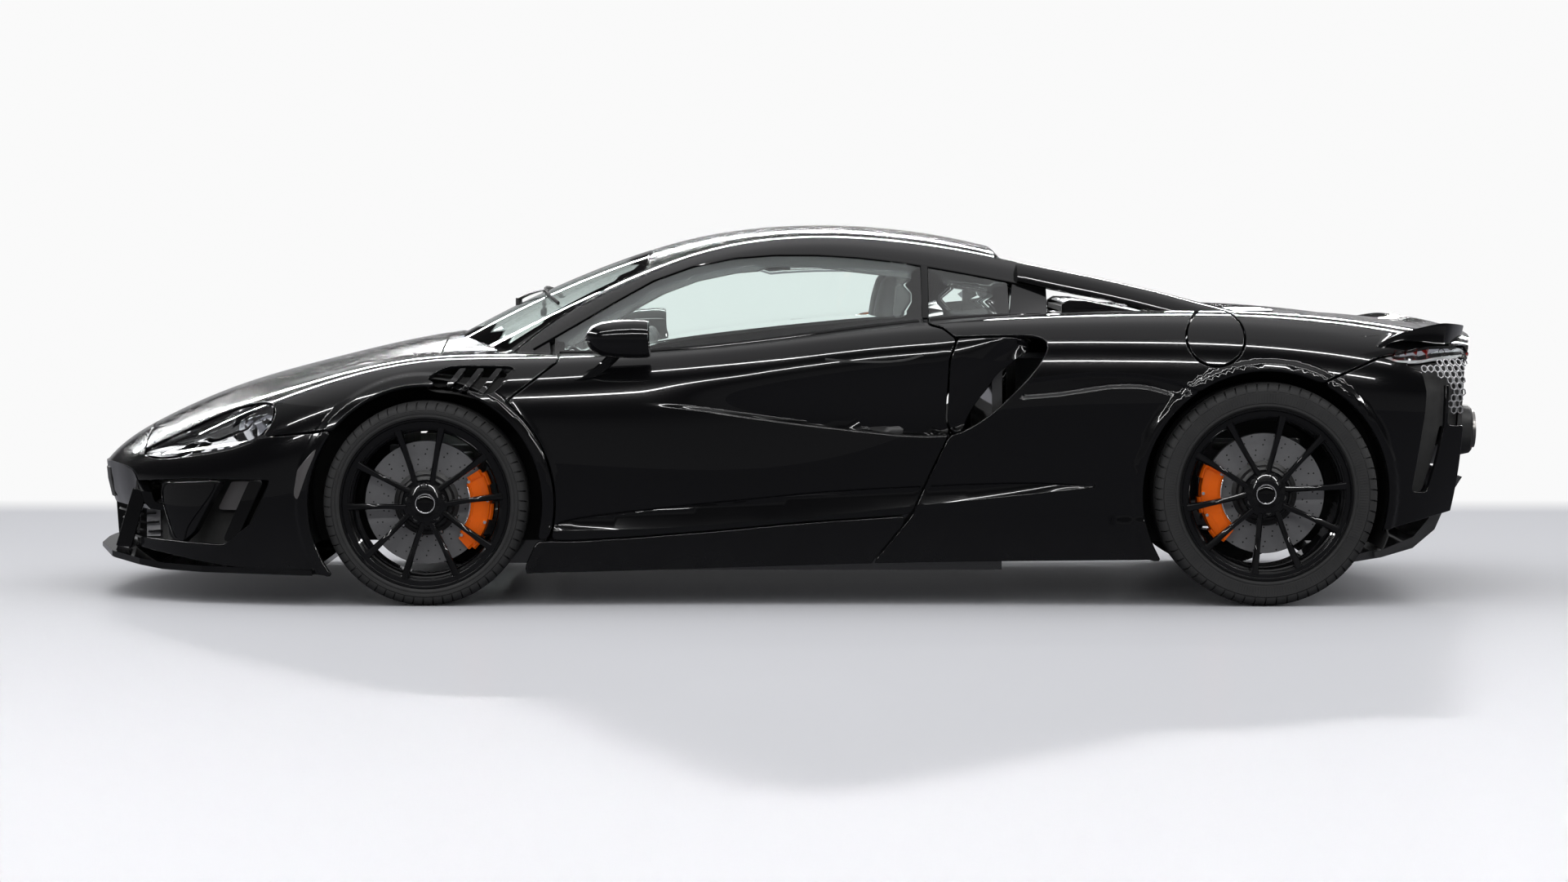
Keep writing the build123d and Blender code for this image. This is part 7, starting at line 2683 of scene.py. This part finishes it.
# ---------------------------------------------------------------- studio
@dataclass
class Studio:
    """Pale floor, soft light from above with long strips, and the camera."""

    camera_place: tuple[float, float, float] = (-0.018, -14.75, 1.22)
    tilt: float = 2.9
    lens: float = 101.3
    floor_size: float = 60.0
    wall_place: float = 4.0
    wall_white: tuple[float, float, float] = (0.955, 0.955, 0.955)

    def build(self) -> None:
        """Sets up the floor, the world, the lamps and the camera."""
        scene = bpy.context.scene
        scene.view_settings.view_transform = "Standard"
        self.floor()
        self.world()
        self.lamps()
        camera = bpy.data.cameras.new("camera")
        camera.lens = self.lens
        camera.sensor_width = 36.0
        camera.clip_end = 200.0
        eye = bpy.data.objects.new("camera", camera)
        eye.location = self.camera_place
        eye.rotation_euler = (math.radians(90 - self.tilt), 0, 0)
        scene.collection.objects.link(eye)
        scene.camera = eye

    def floor(self) -> None:
        """A pale sealed floor with a soft gloss."""
        half = self.floor_size / 2
        mesh = bpy.data.meshes.new("floor")
        mesh.from_pydata([(-half, -half, 0), (half, -half, 0), (half, half, 0), (-half, half, 0)],
                         [], [(0, 1, 2, 3)])
        floor = bpy.data.objects.new("floor", mesh)
        bpy.context.scene.collection.objects.link(floor)
        mesh.materials.append(self.floor_look())

    def floor_look(self) -> bpy.types.Material:
        """The floor's finish, which gives way to the white wall a few metres behind the car; gloss
        sees it darker, as painted shade in its reflections.
        """
        look = Look("pale floor")
        look.set(Base_Color=(0.64, 0.645, 0.675, 1), Roughness=0.3, Specular_IOR_Level=0.012)
        tree = look.tree
        nodes, links = tree.nodes, tree.links
        grain = look.use(grain_group(), Fine=90.0, Coarse=30.0)
        look.bump(grain.outputs["Height"], 0.02, 0.0005)
        height = nodes.new("ShaderNodeSeparateXYZ")
        links.new(look.place, height.inputs["Vector"])
        beyond = nodes.new("ShaderNodeMapRange")
        beyond.inputs["From Min"].default_value = self.wall_place - 0.5
        beyond.inputs["From Max"].default_value = self.wall_place + 0.3
        links.new(height.outputs["Y"], beyond.inputs["Value"])
        white = nodes.new("ShaderNodeEmission")
        white.inputs["Color"].default_value = (*self.wall_white, 1)
        path, mixed = nodes.new("ShaderNodeLightPath"), nodes.new("ShaderNodeMath")
        mixed.operation = "MULTIPLY"
        links.new(path.outputs["Is Camera Ray"], mixed.inputs[0])
        links.new(beyond.outputs["Result"], mixed.inputs[1])
        mix = nodes.new("ShaderNodeMixShader")
        links.new(mixed.outputs[0], mix.inputs["Fac"])
        # Rays reflected off gloss see the floor darker than the eye does: painted shade in the
        # floor's reflections on the car.
        shade = nodes.new("ShaderNodeMix")
        shade.data_type = "RGBA"
        shade.inputs["A"].default_value = (0.80, 0.805, 0.83, 1)
        shade.inputs["B"].default_value = (0.26, 0.26, 0.28, 1)
        links.new(path.outputs["Is Glossy Ray"], shade.inputs["Factor"])
        look.link(shade.outputs["Result"], "Base Color")
        links.new(look.shader.outputs[0], mix.inputs[1])
        links.new(white.outputs[0], mix.inputs[2])
        links.new(mix.outputs[0], nodes["Material Output"].inputs["Surface"])
        return look.material

    def world(self) -> None:
        """White to the eye and through glass; bands of light and shade to gloss."""
        world = bpy.data.worlds.new("studio")
        world.use_nodes = True
        bpy.context.scene.world = world
        tree = world.node_tree
        shade = tree.nodes["Background"]
        path = tree.nodes.new("ShaderNodeLightPath")
        seen = tree.nodes.new("ShaderNodeMath")
        seen.operation = "MAXIMUM"
        tree.links.new(path.outputs["Is Camera Ray"], seen.inputs[0])
        tree.links.new(path.outputs["Is Transmission Ray"], seen.inputs[1])
        place = tree.nodes.new("ShaderNodeTexCoord")
        split = tree.nodes.new("ShaderNodeSeparateXYZ")
        tree.links.new(place.outputs["Generated"], split.inputs["Vector"])
        ramp = tree.nodes.new("ShaderNodeValToRGB")
        tree.links.new(split.outputs["Z"], ramp.inputs["Fac"])
        bands = [(0.0, 0.34), (0.10, 0.26), (0.17, 0.03), (0.60, 0.03), (0.78, 0.5), (0.9, 1.1)]
        while len(ramp.color_ramp.elements) < len(bands):
            ramp.color_ramp.elements.new(0.5)
        for element, (height, level) in zip(ramp.color_ramp.elements, bands):
            element.position = height
            element.color = (level, level, level * 1.02, 1)
        glossy = tree.nodes.new("ShaderNodeMix")
        glossy.data_type = "RGBA"
        glossy.inputs["A"].default_value = (0.74, 0.745, 0.765, 1)
        tree.links.new(path.outputs["Is Glossy Ray"], glossy.inputs["Factor"])
        tree.links.new(ramp.outputs["Color"], glossy.inputs["B"])
        white = tree.nodes.new("ShaderNodeMix")
        white.data_type = "RGBA"
        white.inputs["B"].default_value = (*self.wall_white, 1)
        tree.links.new(seen.outputs[0], white.inputs["Factor"])
        tree.links.new(glossy.outputs["Result"], white.inputs["A"])
        tree.links.new(white.outputs["Result"], shade.inputs["Color"])

    def lamps(self) -> None:
        """A large soft lamp overhead and long thin strips that only gloss shows."""
        self.lamp("overhead", (0, 0, 6.0), (0, 0, 0), (11.0, 9.0), 150.0)
        for side in Side:
            self.lamp(f"high_strip_{side.word}", (0, side.sign * 3.6, 3.9), (0, 0, 0.6),
                      (11.0, 0.12), 430.0, gloss_only=True)
            self.lamp(f"low_strip_{side.word}", (0, side.sign * 5.6, 2.6), (0, 0, 0.6),
                      (11.0, 0.10), 360.0, gloss_only=True)
        for end, x in (("front", -6.5), ("rear", 6.5)):
            self.lamp(f"{end}_strip", (x, 0, 3.4), (0, 0, 0.6), (6.0, 0.2), 330.0,
                      gloss_only=True)

    @staticmethod
    def lamp(name: str, place: tuple[float, float, float], aim: tuple[float, float, float],
             size: tuple[float, float], power: float, gloss_only: bool = False) -> None:
        """An area lamp with its long edge level."""
        light = bpy.data.lights.new(name, "AREA")
        light.shape = "RECTANGLE"
        light.size, light.size_y = size
        light.energy = power
        thing = bpy.data.objects.new(name, light)
        thing.location = place
        ahead = Vector(aim) - Vector(place)
        turn = ahead.to_track_quat("-Z", "Y").to_euler()
        thing.rotation_euler = turn
        thing.visible_camera = False
        thing.visible_diffuse = not gloss_only
        bpy.context.scene.collection.objects.link(thing)


FRAME_FINISHES = {"splitter": "gloss_trim", "diffuser": "carbon", "exhaust": "exhaust",
                  "tub": "carbon", "subframes": "cast", "arch_liners": "underbody",
                  "engine_block": "engine", "knuckle_left": "cast", "knuckle_right": "cast"}


def dress_frame(nodes: dict[str, bpy.types.Object], finishes: Finishes) -> None:
    """Gives every solid that stays in sight its finish.

    Args:
        nodes: The frame's solids by name.
        finishes: The finishes to choose from.
    """
    for name, thing in nodes.items():
        if thing.hide_render:
            continue
        finish = FRAME_FINISHES.get(name, "trim")
        thing.data.materials.clear()
        thing.data.materials.append(finishes[finish])
        logging.info("%s is finished in %s", name, finish)


def main() -> None:
    """Builds the studio and every sub-assembly in order."""
    logging.basicConfig(level=logging.INFO, format="%(message)s")
    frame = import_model()
    Studio().build()
    finishes = Finishes()
    shop = Workshop(finishes)
    shell = BodyShell(shop)
    shell.build()
    Canopy(shell).build()
    repeat = Repeater(shop)
    Wheels(shop, repeat).build()
    details = Details(shell, repeat)
    details.build()
    Rear(details).build()
    Cabin(shop, repeat).build()
    dress_frame(frame["nodes"], finishes)


if __name__ == "__main__":
    main()
